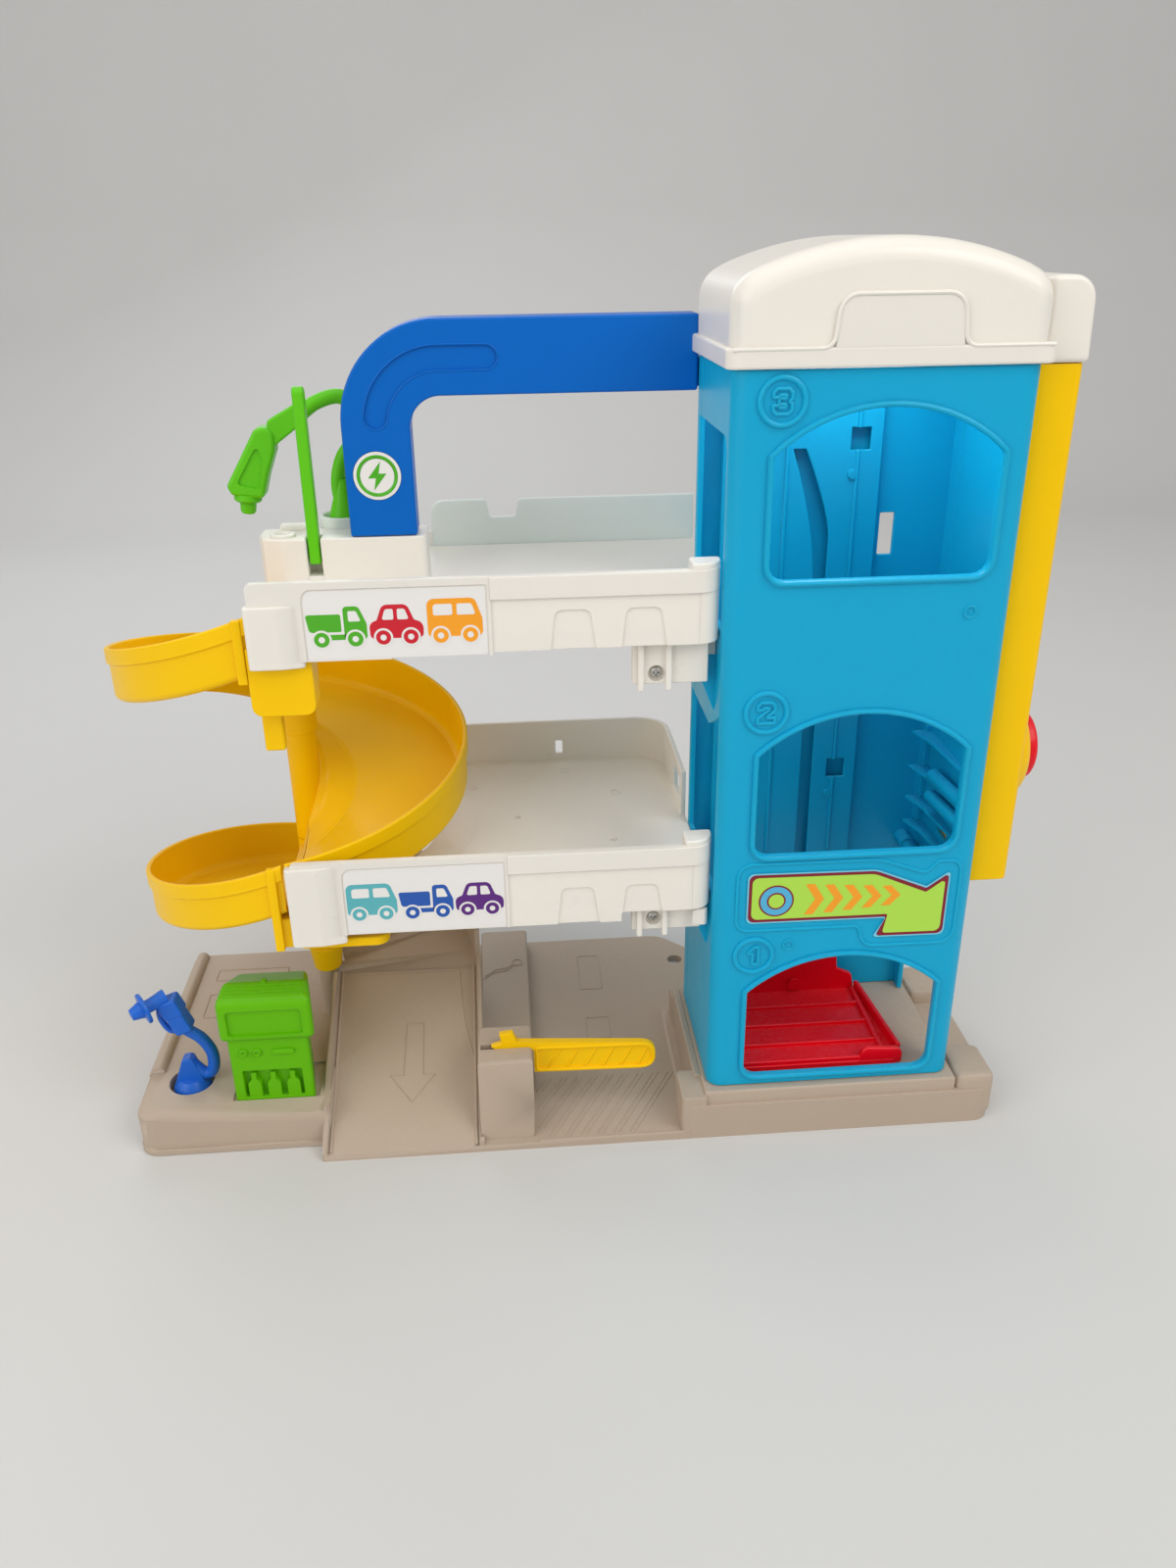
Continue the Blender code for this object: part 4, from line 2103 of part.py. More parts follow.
def charger_hose():
    """Green moulded charger: foot in the cup, hose behind the arch and its nozzle."""
    x, y, z = CHARGER_X, CHARGER_Y, DECK_3_TOP + 2.0 + GAP
    knots = [
        Vector((x, y, z + 1.0)),
        Vector((x - 2.0, y, z + 16.0)),
        Vector((x + 1.0, y, z + 28.0)),
        Vector((x + 8.0, y, z + 38.0)),
        Vector((x + 10.0, y - 1.0, z + 48.0)),
        Vector((x + 3.0, y - 2.0, z + 56.0)),
        Vector((x - 8.0, y - 3.0, z + 54.0)),
        Vector((x - 17.0, y - 4.0, z + 48.0)),
    ]
    points = smooth_path(knots, 3)
    hose = tube("charger_hose", points, [CHARGER_HOSE_R] * len(points), resolution=2)
    foot = rod("charger_foot", "Z", (x, y, z), 20.0, CUP_R - 2.2, 5.0, sides=24)
    pin = rod("charger_pin", "Z", (x, y, z - 9.0), 10.0, SWIVEL_PIN_R, sides=16)
    grip_knots = [
        Vector((x - 14.0, y - 4.0, z + 50.0)),
        Vector((x - 22.0, y - 5.0, z + 45.0)),
        Vector((x - 30.0, y - 6.0, z + 38.0)),
        Vector((x - 37.0, y - 7.0, z + 30.0)),
        Vector((x - 42.0, y - 7.0, z + 19.0)),
        Vector((x - 43.5, y - 7.0, z + 14.0)),
        Vector((x - 44.5, y - 7.0, z + 8.0)),
    ]
    grip = tube("charger_grip", grip_knots, [4.6, 5.2, 6.0, 8.0, 10.0, 5.0, 3.0], resolution=2)
    add(hose, foot, pin, grip)
    return finish(hose, "green", (x, y, DECK_3_TOP))


def gate_arm():
    """Yellow toll gate: ribbed paddle, top bar, forked tail and its trunnion."""
    half = GATE_THICK / 2.0
    x, y, z = GATE_X, GATE_Y, GATE_Z
    paddle_left = POST_BLOCK_RIGHT + 0.8
    top = GATE_BAR + 2.0
    end = x + GATE_LEN
    drop = 5.0
    paddle = plate(
        "gate_arm",
        "XZ",
        [
            rounded(
                [
                    (paddle_left, top - GATE_TALL - 1.6, 1.0),
                    (end, top - GATE_TALL - 3.0, 6.0),
                    (end, top - drop, 6.0),
                    (x - 1.0, top, 0.0),
                    (x - 3.0, z, 0.0),
                    (x + 3.0, z, 0.0),
                    (x + 4.0, top - 4.0, 0.0),
                    (paddle_left, top - 5.0, 0.0),
                ],
                steps=4,
            )
        ],
        (y - half, y + half),
    )
    tail = plate(
        "tail",
        "XZ",
        [
            [
                (x + 3.5, z + 3.0),
                (x - 6.4, z + 2.8),
                (x - 9.4, z + 5.6),
                (x - 4.0, z + 7.4),
                (x - 5.0, z + 12.6),
                (x + 1.6, z + 13.4),
                (x + 4.6, z + 5.0),
            ]
        ],
        (y - half + 0.05, y + half - 0.05),
    )
    panel = plate(
        "paddle_panel",
        "XZ",
        [
            rounded(
                [
                    (paddle_left + 2.0, top - GATE_TALL + 0.8, 1.0),
                    (end - 2.2, top - GATE_TALL - 0.8, 4.6),
                    (end - 2.2, top - drop - 2.2, 4.6),
                    (paddle_left + 2.0, top - 5.4, 1.0),
                ]
            )
        ],
        (y - half - 2.0, y - half + 0.8),
    )
    cut(paddle, panel)
    hub = rod("gate_hub", "Y", (x, y - half + 0.1, z), 2.0 * half - 0.2, GATE_PIN_R + 2.0, sides=16)
    pin = rod("gate_pin", "Y", (x, y - half - 3.6, z), 2.0 * (half + 3.6), GATE_PIN_R, sides=16)
    add(paddle, tail, hub, pin)
    return finish(paddle, "yellow", (x, y, z))


def lane_gate():
    """Green gate arm that stands in the slot of the raised block."""
    half = LANE_GATE_THICK / 2.0
    wide = LANE_GATE_WIDE / 2.0
    x, y, z = LANE_GATE_X, LANE_GATE_Y, LANE_GATE_Z
    arm = plate(
        "lane_gate",
        "YZ",
        [
            arc((y, z), wide, 180.0, 360.0, 8)
            + [(y + wide * 0.9, z + LANE_GATE_LEN - wide)]
            + arc((y, z + LANE_GATE_LEN - wide), wide * 0.9, 0.0, 180.0, 6)
        ],
        (x - half, x + half),
    )
    bevel(arm, 0.8, 1, 60.0)
    pin = rod("lane_gate_pin", "X", (x - half - 3.4, y, z), 2.0 * (half + 3.4), LANE_GATE_PIN_R, sides=16)
    add(arm, pin)
    return finish(arm, "green", (x, y, z))


def screws():
    """Every screw of the garage, numbered within its group."""
    groups = {
        "deck_screw": deck_screw_places(),
        "tower_screw": tower_screw_places(),
        "arch_screw": arch_half_screw_places() + arch_screw_places() + arch_foot_screw_places(),
        "battery_door_screw": door_screw_places(),
        "pump_screw": base_screw_places(),
    }
    for name, places in groups.items():
        for number, (heading, point) in enumerate(places, 1):
            finish(screw(f"{name}_{number}", heading, point), "steel")


def build():
    """Make every piece of the garage."""
    base()
    tower_front()
    tower_back()
    guide_plate()
    roof()
    housing = side_housing()
    cap, peg_hole = side_cap()
    cut(housing, peg_hole)
    battery_door()
    batteries()
    battery_contacts()
    battery_tray()
    circuit_board()
    speaker()
    push_button()
    elevator_platform()
    guide_pin()
    lift_carriage()
    deck_3()
    deck_2()
    deck_label("deck_3_label", DECK_3_TOP, LABEL_TALL_3)
    deck_label("deck_2_label", DECK_2_TOP, LABEL_TALL_2)
    ramp_upper()
    ramp_lower()
    arch_front()
    arch_back()
    badge()
    tower_label()
    fuel_pump()
    pump_hose()
    charger_hose()
    gate_arm()
    lane_gate()
    screws()


build()
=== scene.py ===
"""Looks of a toy garage: a lift tower, two decks, a spiral ramp, gates, a pump and a charger.

Lengths are in millimetres from the tower's front left corner: +X right, +Y back,
+Z up, Z = 0 on the table. The function spot() turns them into metres in the model's
frame.
"""
import logging
import math
from contextlib import contextmanager
from dataclasses import dataclass
from enum import Enum
from typing import ClassVar, Dict, Iterator, List, Sequence, Tuple

import bmesh
import bpy
from mathutils import Matrix, Vector


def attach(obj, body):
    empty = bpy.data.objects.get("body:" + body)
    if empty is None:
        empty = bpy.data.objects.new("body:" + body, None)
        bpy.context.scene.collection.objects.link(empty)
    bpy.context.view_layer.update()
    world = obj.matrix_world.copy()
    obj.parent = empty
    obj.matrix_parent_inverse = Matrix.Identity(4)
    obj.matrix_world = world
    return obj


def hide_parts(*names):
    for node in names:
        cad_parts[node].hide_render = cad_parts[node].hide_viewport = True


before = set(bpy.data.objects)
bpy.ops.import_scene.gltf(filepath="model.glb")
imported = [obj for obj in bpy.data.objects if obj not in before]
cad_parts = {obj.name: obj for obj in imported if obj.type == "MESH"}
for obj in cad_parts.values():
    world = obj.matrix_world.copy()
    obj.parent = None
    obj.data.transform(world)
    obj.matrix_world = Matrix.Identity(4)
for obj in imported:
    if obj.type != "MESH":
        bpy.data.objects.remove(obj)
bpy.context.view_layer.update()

LOG = logging.getLogger("toy_garage")
MM = 0.001
SHIFT = Vector((62.85, -86.0, 0.0))
SMOOTH_ANGLE = math.radians(42.0)
MERGE = 1e-6

BLOCK_FACES = 3
UPWARDS = (0.0, 0.0, 1.0)
RAMP_POST = (-194.0, 90.0)
CHARGER_FOOT = (-164.0, 111.0)
LOWER_FLOOR, UPPER_FLOOR = 135.0, 262.0

Point = Sequence[float]
Pair = Tuple[float, float]
Triple = Tuple[float, float, float]
Outline = List[Pair]
Corners = Sequence[Triple]
Piece = bpy.types.Object
Tree = bpy.types.NodeTree
Socket = bpy.types.NodeSocket


def spot(x: float, y: float, z: float) -> Vector:
    """Place in the model's frame, in metres, of a point given in millimetres."""
    return (Vector((x, y, z)) + SHIFT) * MM


class Plane(Enum):
    """Plane in which an outline is drawn."""

    FLOOR = "XY"
    FRONT = "XZ"
    SIDE = "YZ"

    def point(self, pair: Pair, depth: float) -> Vector:
        """Place of an outline's point at a depth across the plane."""
        u, v = pair
        if self is Plane.FLOOR:
            return spot(u, v, depth)
        if self is Plane.FRONT:
            return spot(u, depth, v)
        return spot(depth, u, v)

    def across(self) -> Vector:
        """Unit vector across the plane."""
        return {"XY": Vector((0, 0, 1)), "XZ": Vector((0, 1, 0)), "YZ": Vector((1, 0, 0))}[self.value]


def pick(*objects: Piece) -> None:
    """Select these objects alone and make the first one active."""
    bpy.ops.object.select_all(action="DESELECT")
    for item in objects:
        item.select_set(True)
    bpy.context.view_layer.objects.active = objects[0]


@contextmanager
def shaping(piece: Piece, mode: str = "FACE") -> Iterator[None]:
    """Edit mode on one piece, in a select mode, and back."""
    pick(piece)
    bpy.ops.object.mode_set(mode="EDIT")
    bpy.ops.mesh.select_mode(type=mode)
    bpy.ops.mesh.select_all(action="SELECT")
    yield
    bpy.ops.object.mode_set(mode="OBJECT")


def settle(piece: Piece, name: str) -> Piece:
    """Name a piece and put its place, turn and size into its mesh."""
    piece.name = name
    piece.data.name = name
    pick(piece)
    bpy.ops.object.transform_apply(location=True, rotation=True, scale=True)
    return piece


def finish_surface(piece: Piece, angle: float = SMOOTH_ANGLE) -> Piece:
    """Smooth shading up to an angle, weighted so that large faces stay flat."""
    pick(piece)
    bpy.ops.object.shade_smooth_by_angle(angle=angle)
    step = piece.modifiers.new("weights", "WEIGHTED_NORMAL")
    step.keep_sharp = True
    bpy.ops.object.modifier_apply(modifier=step.name)
    return piece


def round_edges(piece: Piece, width: float, segments: int = 2, angle: float = 35.0) -> Piece:
    """Round the edges of a piece that are sharper than an angle in degrees."""
    pick(piece)
    step = piece.modifiers.new("edges", "BEVEL")
    step.width = width * MM
    step.segments = segments
    step.limit_method = "ANGLE"
    step.angle_limit = math.radians(angle)
    step.use_clamp_overlap = True
    bpy.ops.object.modifier_apply(modifier=step.name)
    return piece


def weigh_edges(piece: Piece, reach: float, angle: float = 35.0) -> None:
    """Mark for rounding the sharp edges that have room for it.

    Args:
        piece: the mesh object.
        reach: shortest edge in millimetres that may meet a marked edge.
        angle: least angle in degrees between an edge's faces.
    """
    form = bmesh.new()
    form.from_mesh(piece.data)
    layer = form.edges.layers.float.new("bevel_weight_edge")
    for edge in form.edges:
        sharp = len(edge.link_faces) == 2 and edge.calc_face_angle(0.0) > math.radians(angle)
        room = sharp and min(near.calc_length() for end in edge.verts for near in end.link_edges) > reach * MM
        edge[layer] = 1.0 if room else 0.0
    form.to_mesh(piece.data)
    form.free()


def round_marked(piece: Piece, width: float, segments: int = 2) -> Piece:
    """Round the marked edges of a piece."""
    pick(piece)
    step = piece.modifiers.new("edges", "BEVEL")
    step.width = width * MM
    step.segments = segments
    step.limit_method = "WEIGHT"
    step.use_clamp_overlap = False
    bpy.ops.object.modifier_apply(modifier=step.name)
    return piece


def outward(piece: Piece) -> Piece:
    """Merge doubles and point the faces of a piece outwards."""
    with shaping(piece):
        bpy.ops.mesh.remove_doubles(threshold=MERGE)
        bpy.ops.mesh.normals_make_consistent(inside=False)
    return piece


def block(name: str, low: Point, high: Point, edge: float = 0.4) -> Piece:
    """Box between two corners, its edges rounded.

    Args:
        name: the piece's name.
        low: lowest corner in millimetres.
        high: highest corner in millimetres.
        edge: width of the rounding, or 0.

    Returns:
        The finished mesh object at the origin.
    """
    middle = [(a + b) / 2.0 for a, b in zip(low, high)]
    size = [(b - a) * MM for a, b in zip(low, high)]
    bpy.ops.mesh.primitive_cube_add(size=1.0, location=spot(*middle), scale=size)
    piece = settle(bpy.context.active_object, name)
    if edge > 0.0:
        with shaping(piece, "EDGE"):
            bpy.ops.mesh.bevel(offset=edge * MM, segments=BLOCK_FACES, affect="EDGES")
    return finish_surface(piece)


def arc(centre: Point, radius: float, start: float, end: float, steps: int = 8) -> Outline:
    """Points of a round stretch, angles in degrees."""
    points = []
    for step in range(steps + 1):
        angle = math.radians(start + (end - start) * step / steps)
        points.append((centre[0] + radius * math.cos(angle), centre[1] + radius * math.sin(angle)))
    return points


def full_circle(centre: Point, radius: float, count: int = 60) -> Outline:
    """Points of a whole circle."""
    return arc(centre, radius, 0.0, 360.0 - 360.0 / count, count - 1)


def rounded(corners: Corners, steps: int = 5) -> Outline:
    """Outline with each corner (u, v, radius) rounded by an arc."""
    points: Outline = []
    for index, (u, v, radius) in enumerate(corners):
        here = Vector((u, v))
        back = (Vector(corners[index - 1][:2]) - here).normalized()
        ahead = (Vector(corners[(index + 1) % len(corners)][:2]) - here).normalized()
        if radius <= 0.0:
            points.append((u, v))
            continue
        half = back.angle(ahead) / 2.0
        reach = radius / math.tan(half)
        centre = here + (back + ahead).normalized() * (radius / math.sin(half))
        first = here + back * reach - centre
        sweep = first.angle_signed(here + ahead * reach - centre)
        for step in range(steps + 1):
            point = centre + Matrix.Rotation(-sweep * step / steps, 2) @ first
            points.append((point.x, point.y))
    return points


def rounded_box(low: Point, high: Point, radius: float, steps: int = 5) -> Outline:
    """Outline of a box with round corners."""
    return rounded(
        [(low[0], low[1], radius), (high[0], low[1], radius), (high[0], high[1], radius), (low[0], high[1], radius)],
        steps,
    )


def prism(
    name: str,
    outline: Outline,
    plane: Plane,
    low: float,
    high: float,
    edge: float = 0.0,
    segments: int = 2,
) -> Piece:
    """Flat outline with a thickness across its plane.

    Args:
        name: the piece's name.
        outline: points in the plane, in millimetres.
        plane: the plane of the outline.
        low: where the thickness starts.
        high: where it ends.
        edge: width of the rounding of the rims, or 0.
        segments: faces across the rounding.

    Returns:
        The finished mesh object at the origin.
    """
    bpy.ops.mesh.primitive_circle_add(vertices=len(outline), fill_type="NGON")
    piece = settle(bpy.context.active_object, name)
    for vertex, pair in zip(piece.data.vertices, outline):
        vertex.co = plane.point(pair, low)
    with shaping(piece):
        bpy.ops.mesh.extrude_region_move(
            TRANSFORM_OT_translate={"value": plane.across() * ((high - low) * MM)}
        )
        bpy.ops.mesh.select_all(action="SELECT")
        bpy.ops.mesh.normals_make_consistent(inside=False)
    if edge > 0.0:
        round_edges(piece, edge, segments, 50.0)
    return finish_surface(piece)


def turned(
    name: str,
    profile: Outline,
    centre: Point,
    steps: int = 48,
    heading: Point = UPWARDS,
) -> Piece:
    """Piece turned on a lathe from a closed profile of (radius, height) points.

    Args:
        name: the piece's name.
        profile: half of the section, as a closed loop.
        centre: the point that height 0 lies at.
        steps: faces round the piece.
        heading: the way that the lathe's axis points.

    Returns:
        The finished mesh object at the origin.
    """
    bpy.ops.mesh.primitive_circle_add(vertices=len(profile), fill_type="NOTHING")
    piece = settle(bpy.context.active_object, name)
    for vertex, (radius, height) in zip(piece.data.vertices, profile):
        vertex.co = Vector((radius * MM, 0.0, height * MM))
    with shaping(piece, "EDGE"):
        bpy.ops.mesh.spin(steps=steps, angle=math.tau, center=(0, 0, 0), axis=(0, 0, 1))
    outward(piece)
    way = Vector(heading).normalized()
    turn = Vector(UPWARDS).rotation_difference(way).to_matrix().to_4x4()
    piece.data.transform(Matrix.Translation(spot(*centre)) @ turn)
    return finish_surface(piece)


def flow(knots: Sequence[Point], per_span: int = 8) -> List[Vector]:
    """Smooth points through the knots of a route."""
    knots = [Vector(knot) for knot in knots]
    ends = [knots[0] * 2 - knots[1], *knots, knots[-1] * 2 - knots[-2]]
    points = []
    for a, b, c, d in zip(ends, ends[1:], ends[2:], ends[3:]):
        for step in range(per_span):
            t = step / per_span
            ahead = 2.0 * b + (c - a) * t
            curve = (2.0 * a - 5.0 * b + 4.0 * c - d) * t**2 + (3.0 * b - a - 3.0 * c + d) * t**3
            points.append(0.5 * (ahead + curve))
    return points + [knots[-1]]


def bar(
    name: str,
    points: Sequence[Point],
    radius: float,
    closed: bool = False,
    sides: int = 4,
) -> Piece:
    """Round bar along a route, made as a curve and turned into a mesh.

    Args:
        name: the piece's name.
        points: the route in millimetres.
        radius: radius of the bar.
        closed: whether the route ends where it starts.
        sides: the curve's bevel resolution.

    Returns:
        The finished mesh object at the origin.
    """
    curve = bpy.data.curves.new(name, "CURVE")
    curve.dimensions = "3D"
    curve.bevel_depth = radius * MM
    curve.bevel_resolution = sides
    curve.use_fill_caps = not closed
    spline = curve.splines.new("POLY")
    spline.points.add(len(points) - 1)
    for knot, place in zip(spline.points, points):
        knot.co = (*spot(*place), 1.0)
        knot.radius = 1.0
    spline.use_cyclic_u = closed
    piece = bpy.data.objects.new(name, curve)
    bpy.context.scene.collection.objects.link(piece)
    pick(piece)
    bpy.ops.object.convert(target="MESH")
    outward(piece)
    return finish_surface(piece)


def bead(name: str, outline: Outline, plane: Plane, depth: float, radius: float = 0.6, closed: bool = True) -> Piece:
    """Fine raised line along an outline, half sunk in the wall it runs on."""
    points = [(plane.point(pair, depth) / MM) - SHIFT for pair in outline]
    return bar(name, points, radius, closed=closed, sides=2)


def carve(piece: Piece, *tools: Piece) -> Piece:
    """Take tools away from a piece."""
    for tool in tools:
        step = piece.modifiers.new("carve", "BOOLEAN")
        step.operation = "DIFFERENCE"
        step.solver = "EXACT"
        step.object = tool
        pick(piece)
        bpy.ops.object.modifier_apply(modifier=step.name)
        bpy.data.objects.remove(tool, do_unlink=True)
    return piece


def taper(piece: Piece, centre: float, start: float, share: float) -> Piece:
    """Draw a piece in sideways towards its back, as a mould's draft does.

    Args:
        piece: the mesh object.
        centre: the heading in millimetres that stays where it is.
        start: the depth in millimetres where the drawing in starts.
        share: the part of the width that goes for each millimetre.

    Returns:
        The same object.
    """
    middle, begin = spot(centre, 0.0, 0.0).x, spot(0.0, start, 0.0).y
    for vertex in piece.data.vertices:
        way = (vertex.co.y - begin) / MM
        vertex.co.x = middle + (vertex.co.x - middle) * (1.0 - share * way)
    return finish_surface(piece)


def join(name: str, pieces: Sequence[Piece]) -> Piece:
    """Make one object of several that share a finish."""
    pick(*pieces)
    bpy.ops.object.join()
    joined = bpy.context.view_layer.objects.active
    joined.name = name
    joined.data.name = name
    return joined


# Shader node groups that several materials share


def new_group(name: str, inputs: Dict[str, str], outputs: Dict[str, str]) -> Tree:
    """Shader node group with named sockets.

    Args:
        name: the group's name.
        inputs: socket names and types.
        outputs: socket names and types.

    Returns:
        The group with its input and output nodes in place.
    """
    group = bpy.data.node_groups.new(name, "ShaderNodeTree")
    for label, kind in inputs.items():
        group.interface.new_socket(label, in_out="INPUT", socket_type=kind)
    for label, kind in outputs.items():
        group.interface.new_socket(label, in_out="OUTPUT", socket_type=kind)
    group.nodes.new("NodeGroupInput").name = "in"
    group.nodes.new("NodeGroupOutput").name = "out"
    return group


FLOAT = "NodeSocketFloat"
VECTOR = "NodeSocketVector"
COLOUR = "NodeSocketColor"


def fill(tree: Tree, made: bpy.types.Node, links: Dict[object, object]) -> None:
    """Fill a node's sockets with values or links."""
    for key, value in links.items():
        socket = made.inputs[key]
        if isinstance(value, Socket):
            tree.links.new(value, socket)
        else:
            socket.default_value = value


def node(tree: Tree, kind: str, links: Dict[object, object] = None, **settings: object) -> bpy.types.Node:
    """Add a node, set its fields and fill its sockets with values or links."""
    made = tree.nodes.new(kind)
    for key, value in settings.items():
        setattr(made, key, value)
    fill(tree, made, links or {})
    return made


def noise(tree: Tree, place: Socket, scale: float, detail: float) -> Socket:
    """Value of a noise pattern."""
    return node(tree, "ShaderNodeTexNoise", {"Vector": place, "Scale": scale, "Detail": detail}).outputs[0]


def maths(tree: Tree, operation: str, first: object, second: object = 0.0) -> Socket:
    """Result of a math node."""
    return node(tree, "ShaderNodeMath", {0: first, 1: second}, operation=operation).outputs[0]


def spread(tree: Tree, value: object, low: float, high: float) -> Socket:
    """Value stretched from a range to 0 and 1, and held there."""
    links = {"Value": value, "From Min": low, "From Max": high, "To Max": 1.0}
    return node(tree, "ShaderNodeMapRange", links, clamp=True).outputs[0]


def grain_group() -> Tree:
    """Height of a moulded surface: fine mould texture over slow sink marks."""
    group = new_group("mould_texture", {"Place": VECTOR, "Grain": FLOAT, "Sink": FLOAT}, {"Height": FLOAT})
    given, out = group.nodes["in"].outputs, group.nodes["out"].inputs
    fine = noise(group, given["Place"], 1500.0, 3.0)
    slow = noise(group, given["Place"], 38.0, 1.0)
    first = maths(group, "MULTIPLY", fine, given["Grain"])
    second = maths(group, "MULTIPLY", slow, given["Sink"])
    group.links.new(maths(group, "ADD", first, second), out["Height"])
    return group


def drift_group() -> Tree:
    """Colour that wanders a little in depth, as pigment in moulded plastic does."""
    sockets = {"Place": VECTOR, "Colour": COLOUR, "Amount": FLOAT}
    group = new_group("pigment_drift", sockets, {"Colour": COLOUR})
    given, out = group.nodes["in"].outputs, group.nodes["out"].inputs
    cloud = noise(group, given["Place"], 14.0, 4.0)
    swirl = noise(group, given["Place"], 90.0, 2.0)
    mixed = maths(group, "ADD", cloud, maths(group, "MULTIPLY", swirl, 0.4))
    centred = maths(group, "MULTIPLY", maths(group, "SUBTRACT", mixed, 0.7), given["Amount"])
    value = maths(group, "ADD", centred, 1.0)
    links = {"Color": given["Colour"], "Value": value, "Saturation": 1.0, "Hue": 0.5, "Fac": 1.0}
    toned = node(group, "ShaderNodeHueSaturation", links)
    group.links.new(toned.outputs[0], out["Colour"])
    return group


def scuff_group() -> Tree:
    """Mask of fine play scratches in two directions, broken up in patches."""
    group = new_group("play_scuffs", {"Place": VECTOR, "Amount": FLOAT}, {"Mask": FLOAT})
    given, out = group.nodes["in"].outputs, group.nodes["out"].inputs
    lines = []
    for turn, stretch in ((0.5, (1.0, 26.0, 9.0)), (-0.9, (22.0, 1.0, 14.0))):
        links = {"Vector": given["Place"], "Rotation": (turn * 0.4, turn * 0.7, turn), "Scale": stretch}
        laid = node(group, "ShaderNodeMapping", links)
        streak = noise(group, laid.outputs[0], 95.0, 2.0)
        lines.append(spread(group, streak, 0.69, 0.76))
    patch = noise(group, given["Place"], 24.0, 2.0)
    where = spread(group, patch, 0.48, 0.66)
    both = maths(group, "MULTIPLY", maths(group, "MAXIMUM", lines[0], lines[1]), where)
    group.links.new(maths(group, "MULTIPLY", both, given["Amount"]), out["Mask"])
    return group


def dust_group() -> Tree:
    """Mask of the dust that settles on faces that look up."""
    sockets = {"Place": VECTOR, "Normal": VECTOR, "Amount": FLOAT}
    group = new_group("settled_dust", sockets, {"Mask": FLOAT})
    given, out = group.nodes["in"].outputs, group.nodes["out"].inputs
    split = node(group, "ShaderNodeSeparateXYZ", {"Vector": given["Normal"]})
    facing_up = spread(group, split.outputs["Z"], 0.35, 0.98)
    speck = noise(group, given["Place"], 420.0, 4.0)
    patch = noise(group, given["Place"], 16.0, 3.0)
    specks, patches = spread(group, speck, 0.42, 0.8), spread(group, patch, 0.35, 0.7)
    mottled = maths(group, "MULTIPLY", specks, patches)
    both = maths(group, "MULTIPLY", maths(group, "ADD", mottled, 0.18), facing_up)
    group.links.new(maths(group, "MULTIPLY", both, given["Amount"]), out["Mask"])
    return group


class Effects:
    """The shared shader groups, each built once."""

    def __init__(self) -> None:
        """Build the groups."""
        self.grain = grain_group()
        self.drift = drift_group()
        self.scuffs = scuff_group()
        self.dust = dust_group()


DUST_COLOUR = (0.62, 0.6, 0.56, 1.0)


@dataclass(frozen=True)
class Plastic:
    """Finish of a moulded plastic, a printed film or a plated metal."""

    name: str
    colour: Triple
    roughness: float = 0.3
    coat: float = 0.15
    grain: float = 0.25
    sink: float = 0.5
    drift: float = 0.06
    scuffs: float = 0.5
    dust: float = 0.08
    glow_through: float = 0.0
    metallic: float = 0.0
    shine: float = 0.3

    def material(self, effects: Effects) -> bpy.types.Material:
        """Build the node material, or return it when it is there.

        Args:
            effects: the shared shader groups.

        Returns:
            The material with this finish's values.
        """
        made = bpy.data.materials.get(self.name)
        if made:
            return made
        made = bpy.data.materials.new(self.name)
        made.use_nodes = True
        tree = made.node_tree
        shader = tree.nodes["Principled BSDF"]
        place = node(tree, "ShaderNodeTexCoord")
        where = place.outputs["Object"]

        def effect(group: Tree, **values: object) -> bpy.types.Node:
            """Shared group laid on this material's surface."""
            return node(tree, "ShaderNodeGroup", {"Place": where, **values}, node_tree=group)

        drift = effect(effects.drift, Colour=(*self.colour, 1.0), Amount=self.drift)
        dust = effect(effects.dust, Normal=place.outputs["Normal"], Amount=self.dust).outputs["Mask"]
        scuffs = effect(effects.scuffs, Amount=self.scuffs).outputs["Mask"]
        grain = effect(effects.grain, Grain=self.grain, Sink=self.sink)

        light = tuple(min(1.0, c * 1.15 + 0.05) for c in self.colour)
        share = maths(tree, "MULTIPLY", scuffs, 0.35)
        links = {"Factor": share, 6: drift.outputs["Colour"], 7: (*light, 1.0)}
        worn = node(tree, "ShaderNodeMix", links, data_type="RGBA")
        links = {"Factor": dust, 6: worn.outputs[2], 7: DUST_COLOUR}
        dusty = node(tree, "ShaderNodeMix", links, data_type="RGBA")

        patch = noise(tree, where, 55.0, 3.0)
        uneven = maths(tree, "MULTIPLY", maths(tree, "SUBTRACT", patch, 0.5), 0.12)
        rough = maths(tree, "ADD", uneven, self.roughness)
        rough = maths(tree, "ADD", rough, maths(tree, "MULTIPLY", scuffs, 0.22))
        rough = maths(tree, "ADD", rough, maths(tree, "MULTIPLY", dust, 0.4))

        height = maths(tree, "SUBTRACT", grain.outputs["Height"], maths(tree, "MULTIPLY", scuffs, 0.2))
        bump = node(tree, "ShaderNodeBump", {"Strength": 0.35, "Distance": 0.0002, "Height": height})
        links = {
            "Base Color": dusty.outputs[2], "Roughness": rough, "Normal": bump.outputs["Normal"],
            "Metallic": self.metallic, "Coat Weight": self.coat, "Coat Roughness": 0.12, "IOR": 1.5,
            "Specular IOR Level": self.shine,
        }
        if self.glow_through > 0.0:
            links["Subsurface Weight"] = self.glow_through
            links["Subsurface Radius"] = (1.0, 0.9, 0.8)
            links["Subsurface Scale"] = 0.004
        fill(tree, shader, links)
        return made


